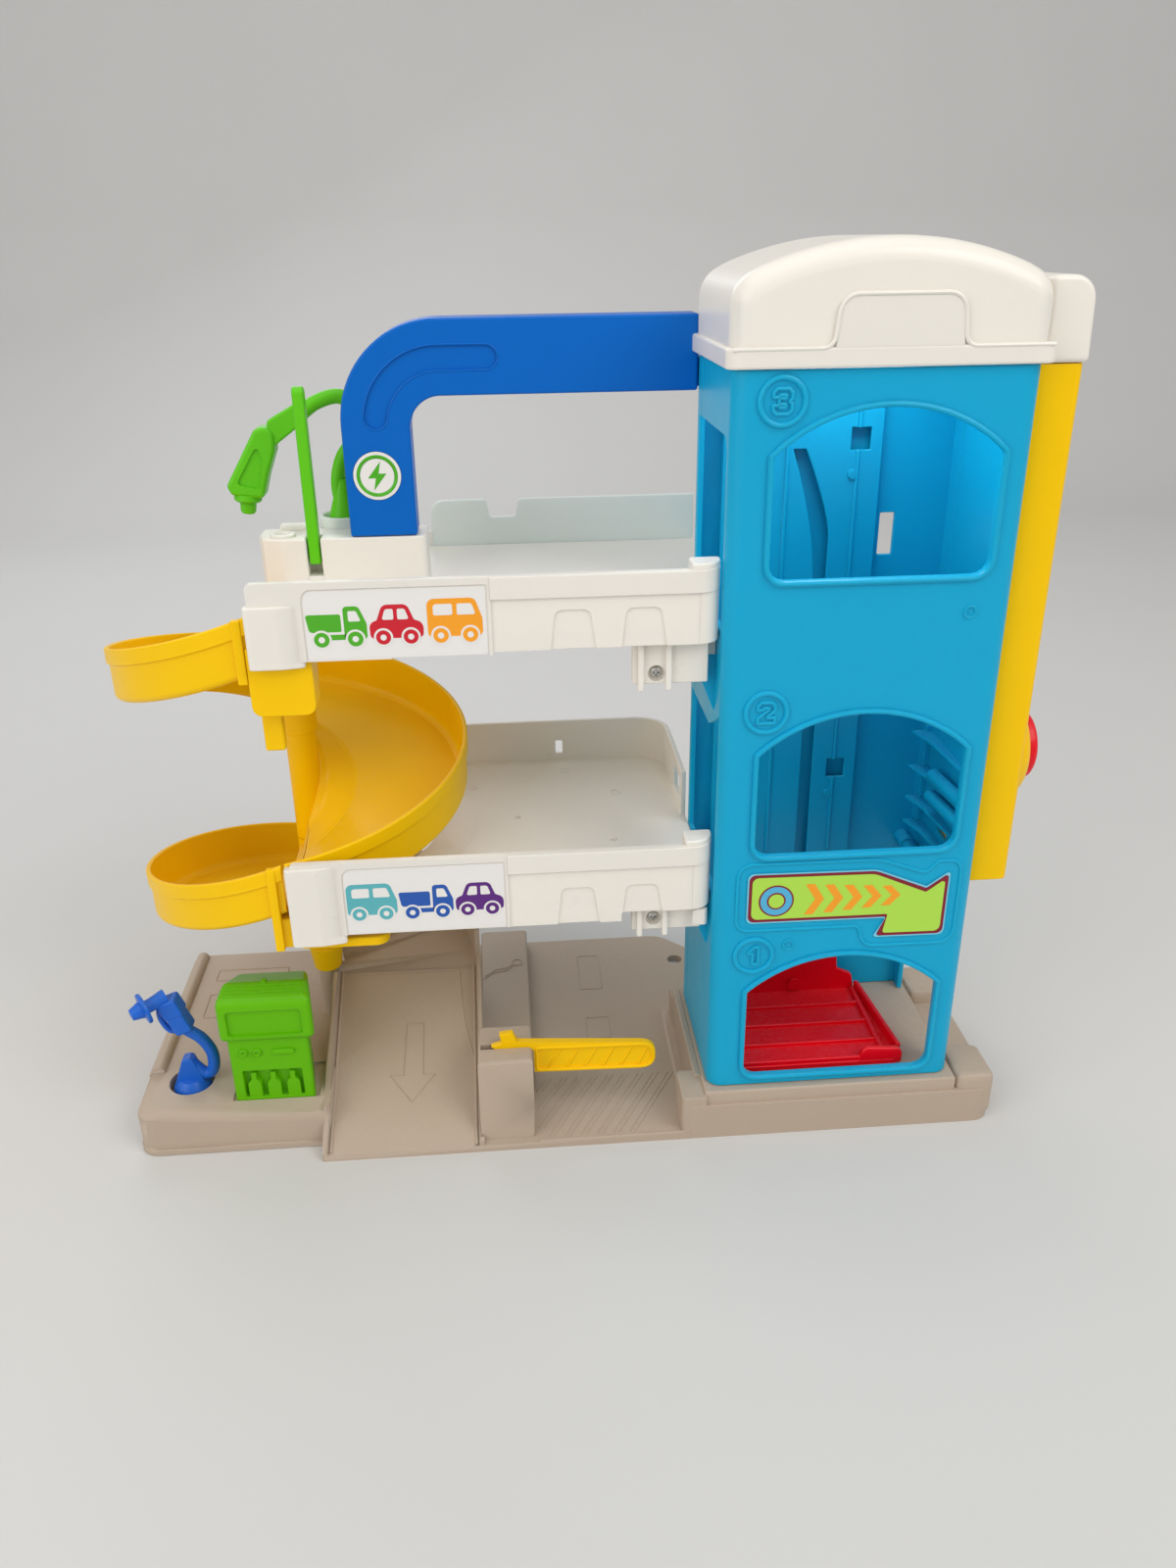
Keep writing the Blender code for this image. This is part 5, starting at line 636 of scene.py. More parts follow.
SKY_BLUE = Plastic("sky_blue_plastic", (0.004, 0.4, 0.66), 0.36, 0.02, glow_through=0.3, shine=0.22)
ROYAL_BLUE = Plastic("royal_blue_plastic", (0.0, 0.13, 0.54), 0.34, 0.04, shine=0.15)
HOSE_BLUE = Plastic("hose_blue_plastic", (0.01, 0.13, 0.62), 0.36, 0.05)
WHITE = Plastic("white_plastic", (0.86, 0.815, 0.74), 0.3, glow_through=0.15, drift=0.03)
MILKY = Plastic("milky_plastic", (0.79, 0.83, 0.775), 0.34, glow_through=0.4, drift=0.03)
YELLOW = Plastic("yellow_plastic", (0.98, 0.59, 0.0), 0.34, 0.04, shine=0.14)
RED = Plastic("red_plastic", (0.84, 0.0, 0.01), 0.34, 0.1)
GREEN = Plastic("green_plastic", (0.12, 0.58, 0.008), 0.36, 0.05, shine=0.22)
PUMP_GREEN = Plastic("pump_green_plastic", (0.125, 0.48, 0.0), 0.32, 0.05, shine=0.16)
TAUPE = Plastic("grey_brown_plastic", (0.49, 0.39, 0.30), 0.45, 0.05, grain=0.6, scuffs=0.7, dust=0.2)
BLACK = Plastic("black_plastic", (0.02, 0.02, 0.022), 0.45, coat=0.0)
STEEL = Plastic("plated_steel", (0.56, 0.55, 0.53), 0.3, coat=0.0, metallic=1.0, shine=0.5)
BOARD = Plastic("circuit_board_green", (0.015, 0.13, 0.05), 0.4, coat=0.3)
CELL = Plastic("cell_sleeve", (0.09, 0.09, 0.1), 0.35, coat=0.2)
FILM = Plastic("label_film", (0.84, 0.815, 0.79), 0.22, coat=0.4, grain=0.05, sink=0.1, drift=0.015, scuffs=0.3)


def ink(name: str, red: float, green: float, blue: float) -> Plastic:
    """Printed colour on a label."""
    return Plastic(f"ink_{name}", (red, green, blue), 0.25, 0.35, 0.05, 0.1, 0.03, 0.3, 0.1)


INK_RED = ink("red", 0.62, 0.005, 0.02)
INK_ORANGE = ink("orange", 0.95, 0.36, 0.01)
INK_GREEN = ink("green", 0.07, 0.42, 0.01)
INK_BLUE = ink("blue", 0.01, 0.09, 0.42)
INK_PURPLE = ink("purple", 0.10, 0.012, 0.2)
INK_TEAL = ink("teal", 0.1, 0.45, 0.5)
INK_LIME = ink("lime", 0.44, 0.75, 0.07)
INK_WINE = ink("wine", 0.22, 0.004, 0.02)
INK_SKY = ink("sky", 0.2, 0.62, 0.8)
INK_CYAN = ink("cyan", 0.08, 0.45, 0.72)


@dataclass
class SubAssembly:
    """A group of pieces that ride on one body."""

    effects: Effects
    body: str = "root"

    def dress(
        self,
        piece: Piece,
        finish: Plastic,
        slot: str,
        replaces: Sequence[str] = (),
        body: str = "",
    ) -> Piece:
        """Give a piece its material and body.

        Args:
            piece: the finished mesh.
            finish: its finish.
            slot: the record's material slot; not used.
            replaces: the frame's nodes that it stands for.
            body: the body that it rides on, when not the group's own.

        Returns:
            The piece.
        """
        piece.data.materials.clear()
        piece.data.materials.append(finish.material(self.effects))
        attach(piece, body or self.body)
        if replaces:
            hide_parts(*replaces)
        LOG.info("%s: %d faces on %s", piece.name, len(piece.data.polygons), body or self.body)
        return piece

    def skin(
        self,
        name: str,
        finish: Plastic,
        slot: str,
        edge: float = 0.4,
        segments: int = 2,
        room: float = 2.4,
        tools: Sequence[Piece] = (),
    ) -> Piece:
        """Smooth copy of a frame node with its moulded edges rounded.

        Args:
            name: the node's name.
            finish: the copy's finish.
            slot: the record's material slot.
            edge: width of the rounding.
            segments: faces across the rounding.
            room: shortest edge, in rounding widths, that may meet a rounded one.
            tools: shapes to take away first.

        Returns:
            The dressed copy, which replaces the node.
        """
        piece = bpy.data.objects.new(f"{name}_shell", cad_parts[name].data.copy())
        bpy.context.scene.collection.objects.link(piece)
        with shaping(piece):
            bpy.ops.mesh.customdata_custom_splitnormals_clear()
            bpy.ops.mesh.remove_doubles(threshold=MERGE)
            bpy.ops.mesh.dissolve_limited(angle_limit=math.radians(0.6))
        carve(piece, *tools)
        weigh_edges(piece, edge * room)
        round_marked(piece, edge, segments)
        finish_surface(piece)
        return self.dress(piece, finish, slot, [name])

    def coat_node(self, name: str, finish: Plastic) -> None:
        """Give a frame node that stays as it is a detailed material."""
        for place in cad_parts[name].material_slots:
            place.material = finish.material(self.effects)


DIGITS: Dict[str, Outline] = {
    "1": [(-2.6, 1.7), (0.2, 4.6), (2.2, 4.6), (2.2, -4.6), (-0.5, -4.6), (-0.5, 1.6), (-1.6, 0.7)],
    "2": [
        (-3.7, 1.4), (-3.7, 3.2), (-2.3, 4.7), (2.3, 4.7), (3.7, 3.3), (3.7, 0.9), (-0.2, -2.2), (3.7, -2.2),
        (3.7, -4.7), (-3.7, -4.7), (-3.7, -2.4), (1.1, 1.5), (1.1, 2.2), (-1.2, 2.2), (-1.2, 1.4),
    ],
    "3": [
        (-3.7, 1.5), (-3.7, 3.3), (-2.3, 4.7), (2.3, 4.7), (3.7, 3.3), (3.7, 1.1), (2.7, 0.0), (3.7, -1.1),
        (3.7, -3.3), (2.3, -4.7), (-2.3, -4.7), (-3.7, -3.3), (-3.7, -1.5), (-1.1, -1.5), (-1.1, -2.3),
        (1.1, -2.3), (1.1, -1.1), (-1.4, -1.1), (-1.4, 1.1), (1.1, 1.1), (1.1, 2.3), (-1.1, 2.3), (-1.1, 1.5),
    ],
}


@dataclass
class Tower(SubAssembly):
    """Sky blue lift tower: two shells, the guide plate, windows and moulded marks."""

    width: float = 122.0
    wall: float = 2.6
    window_left: float = 14.9
    window_right: float = 111.5
    window_tall: float = 72.3
    window_arch: float = 20.0
    window_round: float = 9.0
    bead_inset: float = 1.2
    heads: Triple = (102.5, 225.0, 352.0)
    mark_x: float = 19.4
    mark_ring: float = 8.9
    mark_below_head: Triple = (0.0, 0.3, -0.5)
    dimples: Tuple[Pair, ...] = ((103.6, 266.3), (35.7, 107.3))

    def window(self, head: float, inset: float) -> Outline:
        """Arched outline of a window, drawn in by an inset."""
        left, right = self.window_left + inset, self.window_right - inset
        bottom, shoulder = head - self.window_tall + inset, head - self.window_arch
        half, rise = (right - left) / 2.0, self.window_arch - inset
        radius = (half**2 + rise**2) / (2.0 * rise)
        lean = math.degrees(math.asin(half / radius))
        corner = self.window_round - inset
        low_left = arc((left + corner, bottom + corner), corner, 180.0, 270.0, 6)
        low_right = arc((right - corner, bottom + corner), corner, 270.0, 360.0, 6)
        crown = arc(((left + right) / 2.0, shoulder + rise - radius), radius, 90.0 - lean, 90.0 + lean, 24)
        return low_left + low_right + crown

    def shells(self) -> None:
        """The two shells and the guide plate between them."""
        lugs = [block("lug", (-19.6, 17.0, top - 24.0), (-5.6, 28.0, top), 0.0) for top in (112.5, 235.4)]
        trims = [block("trim", (-5.7, 17.0, top - 24.0), (-0.1, 28.0, top), 0.0) for top in (112.4, 233.0)]
        self.skin("tower_front_shell", SKY_BLUE, "sky_blue", 0.6, 3, 2.2, (*lugs, *trims))
        self.skin("tower_back_shell", SKY_BLUE, "sky_blue", 0.5, 2, 3.0)
        clips = [block("clip", (70.05, 73.0, z - 4.95), (78.95, 80.0, z + 4.95), 0.0) for z in (163.0, 326.0)]
        self.skin("guide_plate", SKY_BLUE, "sky_blue", 0.45, 2, 2.2, clips)
        webs = []
        for z in (112.6, 233.2):
            web = [(-5.6, z), (-0.4, z - 13.0), (0.8, z - 13.0), (0.8, z + 13.0), (-5.6, z + 13.0)]
            webs.append(prism("web", web, Plane.FRONT, 17.3, 20.2, 0.4))
        self.dress(join("bracket_webs", webs), SKY_BLUE, "sky_blue")

    def window_beads(self) -> None:
        """Round bead about each window."""
        for level, head in enumerate(self.heads, 1):
            ring = bead(f"window_bead_{level}", self.window(head, self.bead_inset), Plane.FRONT, -0.55, 1.25)
            self.dress(ring, SKY_BLUE, "sky_blue")

    def level_marks(self) -> None:
        """Ring and raised outline digit beside each window."""
        for level, (head, drop) in enumerate(zip(self.heads, self.mark_below_head), 1):
            z = head - drop
            ring = bead("ring", full_circle((self.mark_x, z), self.mark_ring), Plane.FRONT, -0.3, 1.15)
            digit = self.digit(str(level), z)
            self.dress(join(f"level_mark_{level}", [ring, digit]), SKY_BLUE, "sky_blue")

    def digit(self, sign: str, z: float) -> Piece:
        """Outline of one digit, raised as a fine bead on the tower's front."""
        outline = rounded([(self.mark_x + u, z + v, 0.35) for u, v in DIGITS[sign]], 3)
        return bead("digit", outline, Plane.FRONT, -0.35, 0.8)

    def marks_of_the_mould(self) -> None:
        """Ejector dimples on the front and the frame round the arrow label."""
        for number, (x, z) in enumerate(self.dimples, 1):
            rim = bead("rim", full_circle((x, z), 2.5, 24), Plane.FRONT, -0.1, 0.55)
            dot = turned("dot", [(0.0, 0.0), (0.8, 0.0), (0.6, 0.4), (0.0, 0.55)], (x, 0.05, z), heading=(0, -1, 0))
            self.dress(join(f"ejector_mark_{number}", [rim, dot]), SKY_BLUE, "sky_blue")
        edge = rounded(
            [
                (10.4, 116.0, 6.0), (68.5, 115.8, 3.0), (71.5, 104.6, 7.0), (114.6, 104.4, 7.5),
                (114.6, 148.4, 5.5), (103.5, 148.4, 3.5), (98.0, 142.4, 4.0), (76.0, 150.6, 22.0),
                (10.4, 151.0, 7.0),
            ],
            6,
        )
        self.dress(bead("arrow_panel_bead", edge, Plane.FRONT, -0.05, 0.8), SKY_BLUE, "sky_blue")

    def inner_wall(self) -> None:
        """Ledges inside the right wall, seen through the middle window."""
        face = self.width - self.wall
        pieces = []
        for number, (back, z) in enumerate(((69.0, 183.0), (69.0, 164.5), (69.0, 147.4), (69.0, 134.0))):
            shelf = [
                (face + 0.8, 9.0), (face - 2.0, 10.0), (face - 5.4, back - 16.0), (face - 9.5, back),
                (face + 0.8, back),
            ]
            pieces.append(prism(f"ledge_{number}", shelf[::-1], Plane.FLOOR, z, z + 1.9, 0.5))
        for number, z in enumerate((172.0, 161.0)):
            route = [(face - 3.2, 8.0, z), (face - 5.2, 46.0, z - 1.6)]
            pieces.append(bar(f"inner_boss_{number}", route, 3.3, sides=7))
        pieces.append(block("ledge_post", (face - 3.0, 66.4, 128.0), (face + 0.8, 68.2, 188.0), 0.5))
        self.dress(join("inner_ledges", pieces), SKY_BLUE, "sky_blue")
        studs = [turned("stud", [(0.0, 0.0), (2.3, 0.0), (2.1, 1.0), (0.0, 1.2)], (71.4, 76.1, z), heading=(0, -1, 0))
                 for z in (310.2, 149.0)]
        self.dress(join("guide_studs", studs), SKY_BLUE, "sky_blue")

    def build(self) -> None:
        """Build the tower."""
        self.shells()
        self.window_beads()
        self.level_marks()
        self.marks_of_the_mould()
        self.inner_wall()


@dataclass
class ArrowLabel(SubAssembly):
    """Printed arrow on the tower front, with a plain chevron pattern."""

    face: float = -0.6
    ink_thick: float = 0.08

    def arrow(self, inset: float) -> Outline:
        """Outline of the arrow, drawn in by an inset."""
        i = inset
        return rounded(
            [
                (15.0 + i, 120.1 + i, 3.0), (81.0 + 0.4 * i, 119.6 + i, 0.8), (75.4 + 2.1 * i, 109.4 + i, 1.2),
                (109.8 - i, 109.0 + i, 3.0), (109.8 - i, 143.4 - 2.0 * i, 1.2), (99.0, 135.6 - 1.4 * i, 1.0),
                (75.0 - 0.4 * i, 145.6 - i, 12.0), (15.0 + i, 146.4 - i, 3.0),
            ],
            6,
        )

    def print_on(
        self, name: str, outline: Outline, finish: Plastic, layer: int, replaces: Sequence[str] = ()
    ) -> Piece:
        """One printed shape, a layer above the film."""
        front = self.face - self.ink_thick * layer
        piece = prism(name, outline, Plane.FRONT, front, front + self.ink_thick * 0.9)
        return self.dress(piece, finish, "label", replaces)

    def build(self) -> None:
        """Build the film and its print."""
        self.print_on("arrow_film", self.arrow(0.0), INK_SKY, 0, ["tower_label"])
        self.print_on("arrow_border", self.arrow(0.7), INK_WINE, 1)
        self.print_on("arrow_field", self.arrow(2.2), INK_LIME, 2)
        for number, x in enumerate((42.0, 51.0, 60.0, 69.0, 78.0)):
            tall, middle = 8.0 - 0.7 * number, 131.8
            chevron = [
                (x, middle + tall), (x + 4.2, middle + tall), (x + 9.0, middle), (x + 4.2, middle - tall),
                (x, middle - tall), (x + 4.8, middle),
            ]
            self.print_on(f"arrow_chevron_{number + 1}", chevron[::-1], INK_ORANGE, 3)
        hub = (28.6, 131.8)
        self.print_on("wheel_rim", full_circle(hub, 8.2), INK_WINE, 3)
        self.print_on("wheel_tyre", full_circle(hub, 7.4), INK_CYAN, 4)
        self.print_on("wheel_ring", full_circle(hub, 4.4, 36), INK_WINE, 5)
        self.print_on("wheel_hub", full_circle(hub, 3.6, 36), INK_LIME, 6)


@dataclass
class Roof(SubAssembly):
    """White barrel roof with a lip, and the cap of the side housing."""

    left: float = -1.2
    right: float = 123.2
    front: float = -1.2
    back: float = 85.2
    low: float = 364.3
    lip_top: float = 371.9
    eaves: float = 395.0
    peak: float = 410.0
    overhang: float = 2.6
    soft: float = 8.6

    def crown(self) -> Outline:
        """Outline of the roof seen from the front."""
        half, rise = (self.right - self.left) / 2.0, self.peak - self.eaves
        radius = (half**2 + rise**2) / (2.0 * rise)
        middle = (self.left + self.right) / 2.0
        lean = math.degrees(math.asin(half / radius))
        top = arc((middle, self.peak - radius), radius, 90.0 - lean + 5.0, 90.0 + lean - 5.0, 28)
        corners = [(self.left, self.low, 0.0), (self.right, self.low, 0.0), (self.right, self.eaves - 0.6, 13.0)]
        corners += [(x, z, 0.0) for x, z in top] + [(self.left, self.eaves - 0.6, 13.0)]
        return rounded(corners, 8)

    def cap(self) -> None:
        """Roof body, its lip and the bare raised tab on its front."""
        body = prism("body", self.crown(), Plane.FRONT, self.front, self.back)
        with shaping(body, "EDGE"):
            bpy.ops.mesh.select_all(action="DESELECT")
        ends = [(self.front + SHIFT.y) * MM, (self.back + SHIFT.y) * MM]
        for edge in body.data.edges:
            a, b = (body.data.vertices[i].co for i in edge.vertices)
            for end in ends:
                if abs(a.y - end) < 1e-6 and abs(b.y - end) < 1e-6 and max(a.z, b.z) > self.lip_top * MM:
                    edge.select = True
        pick(body)
        bpy.ops.object.mode_set(mode="EDIT")
        bpy.ops.mesh.bevel(offset=self.soft * MM, segments=8, affect="EDGES", clamp_overlap=True)
        bpy.ops.object.mode_set(mode="OBJECT")
        finish_surface(body, math.radians(50.0))
        over = self.overhang
        lip = prism(
            "lip",
            rounded_box((-over - 0.6, -over), (122.9 + over, 84.0 + over), 5.0, 8),
            Plane.FLOOR, self.low, self.lip_top, 1.1, 3,
        )
        hollow = block("hollow", (1.4, 1.4, self.low - 4.0), (120.6, 82.6, self.lip_top + 16.0), 0.0)
        other = block("hollow_low", (1.4, 1.4, self.low - 4.0), (120.6, 82.6, self.lip_top + 16.0), 0.0)
        carve(body, hollow)
        carve(lip, other)
        base_z = self.lip_top - 1.4
        sign = rounded([(38.0, base_z, 0.0), (88.0, base_z, 0.0), (86.5, 391.0, 8.0), (39.5, 391.0, 8.0)], 8)
        tab = prism("tab", sign, Plane.FRONT, -over + 0.3, 1.0, 0.6, 3)
        shoulder = self.lip_top - 0.5
        line = [(-1.0, shoulder), (31.0, shoulder)] + arc((33.0, shoulder + 5.0), 5.0, 270.0, 350.0, 6)
        line += arc((46.0, 383.2), 7.2, 178.0, 92.0, 8) + arc((80.0, 383.2), 7.2, 88.0, 2.0, 8)
        line += arc((93.0, shoulder + 5.0), 5.0, 190.0, 270.0, 6) + [(95.0, shoulder), (123.0, shoulder)]
        rim = bead("rim", line, Plane.FRONT, -over + 0.55, 0.85, closed=False)
        self.dress(join("roof_shell", [body, lip, tab, rim]), WHITE, "white", ["roof_cap"])

    def build(self) -> None:
        """Build the roof and the side cap."""
        self.cap()
        side = rounded([(124.0, 363.3, 0.0), (143.0, 363.3, 0.0), (141.9, 395.4, 9.5), (124.0, 395.4, 0.0)], 8)
        self.dress(prism("side_cap_shell", side, Plane.FRONT, 8.5, 71.5, 2.2, 4), WHITE, "white", ["side_cap"])


@dataclass
class SideHousing(SubAssembly):
    """Yellow sound box on the tower side, its button and what it holds."""

    left: float = 122.3
    right: float = 142.3
    front: float = 10.0
    back: float = 70.0
    low: float = 131.0
    high: float = 363.0
    centre_y: float = 40.0
    button_z: float = 188.0
    button_radius: float = 16.5

    def housing(self) -> None:
        """Box with its grille slots and the round bezel of the button."""
        outline = rounded(
            [
                (self.left, self.front, 0.6), (self.right, self.front, 4.0), (self.right, self.back, 4.0),
                (self.left, self.back, 0.6),
            ],
            8,
        )
        box = prism("box", outline, Plane.FLOOR, self.low, self.high, 1.4, 4)
        for row in range(5):
            z = 328.0 + 5.0 * row
            outline = rounded_box((self.centre_y - 11.0, z - 1.1), (self.centre_y + 11.0, z + 1.1), 1.0, 5)
            carve(box, prism("slot", outline, Plane.SIDE, self.right - 2.4, self.right + 2.0))
        finish_surface(box)
        ring = [
            (16.9, -1.2), (26.0, -1.2), (26.0, 0.4), (24.8, 3.0), (22.8, 5.2), (21.0, 6.3), (19.4, 6.5), (17.6, 6.2),
            (16.9, 5.4),
        ]
        bezel = turned("bezel", ring, (self.right, self.centre_y, self.button_z), steps=72, heading=(1, 0, 0))
        self.dress(join("side_housing_shell", [box, bezel]), YELLOW, "yellow", ["side_housing"])

    def button(self) -> None:
        """Red dome that presses in."""
        r = self.button_radius
        dome = [
            (0.0, -16.0), (8.0, -16.0), (8.0, -6.0), (r, -6.0), (r, 2.0), (r - 0.4, 3.2), (r - 1.6, 4.2),
            (r - 4.0, 5.0), (r - 8.0, 5.5), (0.0, 5.6),
        ]
        cap = turned("push_button_dome", dome, (150.7, self.centre_y, self.button_z), steps=72, heading=(1, 0, 0))
        self.dress(cap, RED, "red", ["push_button"], "push_button")

    def build(self) -> None:
        """Build the housing, its door, its button and the inner pieces."""
        self.housing()
        self.button()
        self.skin("battery_door", YELLOW, "yellow", 0.5, 2, 3.0)
        for name, finish in (
            ("battery_tray", WHITE), ("battery_1", CELL), ("battery_2", CELL), ("battery_contact_1", STEEL),
            ("battery_contact_2", STEEL), ("circuit_board", BOARD), ("speaker", BLACK),
        ):
            self.coat_node(name, finish)


@dataclass
class Pictogram(SubAssembly):
    """Plain side-view vehicles printed on a deck label, driving along a line."""

    face: float = 3.9
    ink_thick: float = 0.07
    scale: float = 1.12
    anchor: Pair = (0.0, 0.0)

    def layer(self, name: str, outline: Outline, finish: Plastic, level: int = 1) -> Piece:
        """One printed shape on the label's front."""
        front = self.face - self.ink_thick * level
        ax, az = self.anchor
        drawn = [(ax + (x - ax) * self.scale, az + (z - az) * self.scale) for x, z in outline]
        return self.dress(prism(name, drawn, Plane.FRONT, front, front + self.ink_thick * 0.9), finish, "label")

    def around(self, corners: Corners) -> Outline:
        """Rounded outline given from the vehicle's anchor."""
        ax, az = self.anchor
        return rounded([(ax + u, az + v, radius) for u, v, radius in corners])

    def wheels(self, name: str, x: float, z: float, places: Sequence[float], radius: float, finish: Plastic) -> None:
        """Wheels with pale hubs below a vehicle."""
        for number, place in enumerate(places, 1):
            hub = (x + place, z)
            self.layer(f"{name}_gap_{number}", full_circle(hub, radius + 0.8, 30), FILM, 2)
            self.layer(f"{name}_wheel_{number}", full_circle(hub, radius, 30), finish, 3)
            self.layer(f"{name}_hub_{number}", full_circle(hub, radius * 0.42, 18), FILM, 4)

    def car(self, name: str, x: float, z: float, finish: Plastic) -> None:
        """Small round car with two windows."""
        self.anchor = (x, z)
        body = self.around(
            [
                (-9.6, 0.0, 1.6), (9.6, 0.0, 1.6), (9.8, 5.6, 3.0), (6.4, 6.8, 1.2),
                (4.2, 12.6, 2.6), (-4.8, 12.6, 2.6), (-7.0, 6.8, 1.2), (-9.8, 6.0, 2.6),
            ]
        )
        self.layer(name, body, finish)
        rear = [(-5.2, 7.0, 0.6), (-0.9, 7.0, 0.6), (-0.9, 11.0, 0.6), (-3.8, 11.0, 1.2)]
        front = [(0.5, 7.0, 0.6), (4.6, 7.0, 0.6), (3.3, 11.0, 1.2), (0.5, 11.0, 0.6)]
        self.layer(f"{name}_rear_window", self.around(rear), FILM, 2)
        self.layer(f"{name}_front_window", self.around(front), FILM, 2)
        self.wheels(name, x, z + 0.4, (-5.0, 5.0), 2.7, finish)

    def van(self, name: str, x: float, z: float, finish: Plastic) -> None:
        """Tall van with a long side window."""
        self.anchor = (x, z)
        body = [
            (-10.0, 0.0, 1.6), (10.0, 0.0, 1.6), (10.0, 6.4, 1.8), (7.4, 14.2, 2.6),
            (-10.0, 14.2, 2.6),
        ]
        self.layer(name, self.around(body), finish)
        rear = [(-7.8, 8.0, 0.7), (-0.8, 8.0, 0.7), (-0.8, 12.2, 0.7), (-7.8, 12.2, 1.2)]
        front = [(0.8, 8.0, 0.6), (7.6, 8.0, 0.6), (6.2, 12.2, 1.2), (0.8, 12.2, 0.6)]
        self.layer(f"{name}_rear_window", self.around(rear), FILM, 2)
        self.layer(f"{name}_front_window", self.around(front), FILM, 2)
        self.wheels(name, x, z + 0.4, (-5.4, 5.4), 2.8, finish)

    def truck(self, name: str, x: float, z: float, finish: Plastic) -> None:
        """Tipper truck with a cab and an open tray."""
        self.anchor = (x, z)
        cab = [
            (2.2, 0.0, 0.8), (10.4, 0.0, 1.4), (10.4, 5.8, 1.4), (7.8, 12.4, 2.0),
            (2.2, 12.4, 1.4),
        ]
        tray = [(-10.4, 3.0, 1.4), (1.2, 3.0, 0.6), (1.2, 9.6, 0.8), (-11.4, 9.6, 0.8)]
        frame_rail = [(-9.4, 0.0, 0.8), (3.4, 0.0, 0.0), (3.4, 2.0, 0.0), (-9.4, 2.0, 0.8)]
        pane = [(3.9, 6.8, 0.5), (8.4, 6.8, 0.5), (6.9, 10.7, 1.0), (3.9, 10.7, 0.5)]
        self.layer(name, self.around(cab), finish)
        self.layer(f"{name}_tray", self.around(tray), finish)
        self.layer(f"{name}_rail", self.around(frame_rail), finish)
        self.layer(f"{name}_window", self.around(pane), FILM, 2)
        self.wheels(name, x, z + 0.2, (-6.2, 6.0), 2.8, finish)


@dataclass(frozen=True)
class ApronPlan:
    """Sizes of a deck's front wall, in millimetres."""

    deck: str
    floor: float
    top: float
    low: float
    low_step: float
    low_end: float
    clip: Tuple[float, float, float, float, float]
    label: Tuple[float, float, float, float]
    recess: float
    bracket_low: float
    left: float = -193.4
    front: float = 4.0
    back: float = 6.6
    bend: float = -9.6
    right: float = -0.4
    lip_tall: float = 9.7
    thick: float = 2.5


UPPER_APRON = ApronPlan(
    "deck_3", UPPER_FLOOR, 287.0, 253.6, -137.2, 255.0, (-195.4, -182.0, -172.8, 251.0, 277.6),
    (-171.8, -97.2, 250.0, 283.8), 271.8, 235.6,
)
LOWER_APRON = ApronPlan(
    "deck_2", LOWER_FLOOR, 160.0, 122.4, -42.4, 126.6, (-192.8, -179.0, -168.4, 118.0, 158.2),
    (-168.0, -95.2, 119.0, 156.6), 141.2, 112.7, -190.6,
)


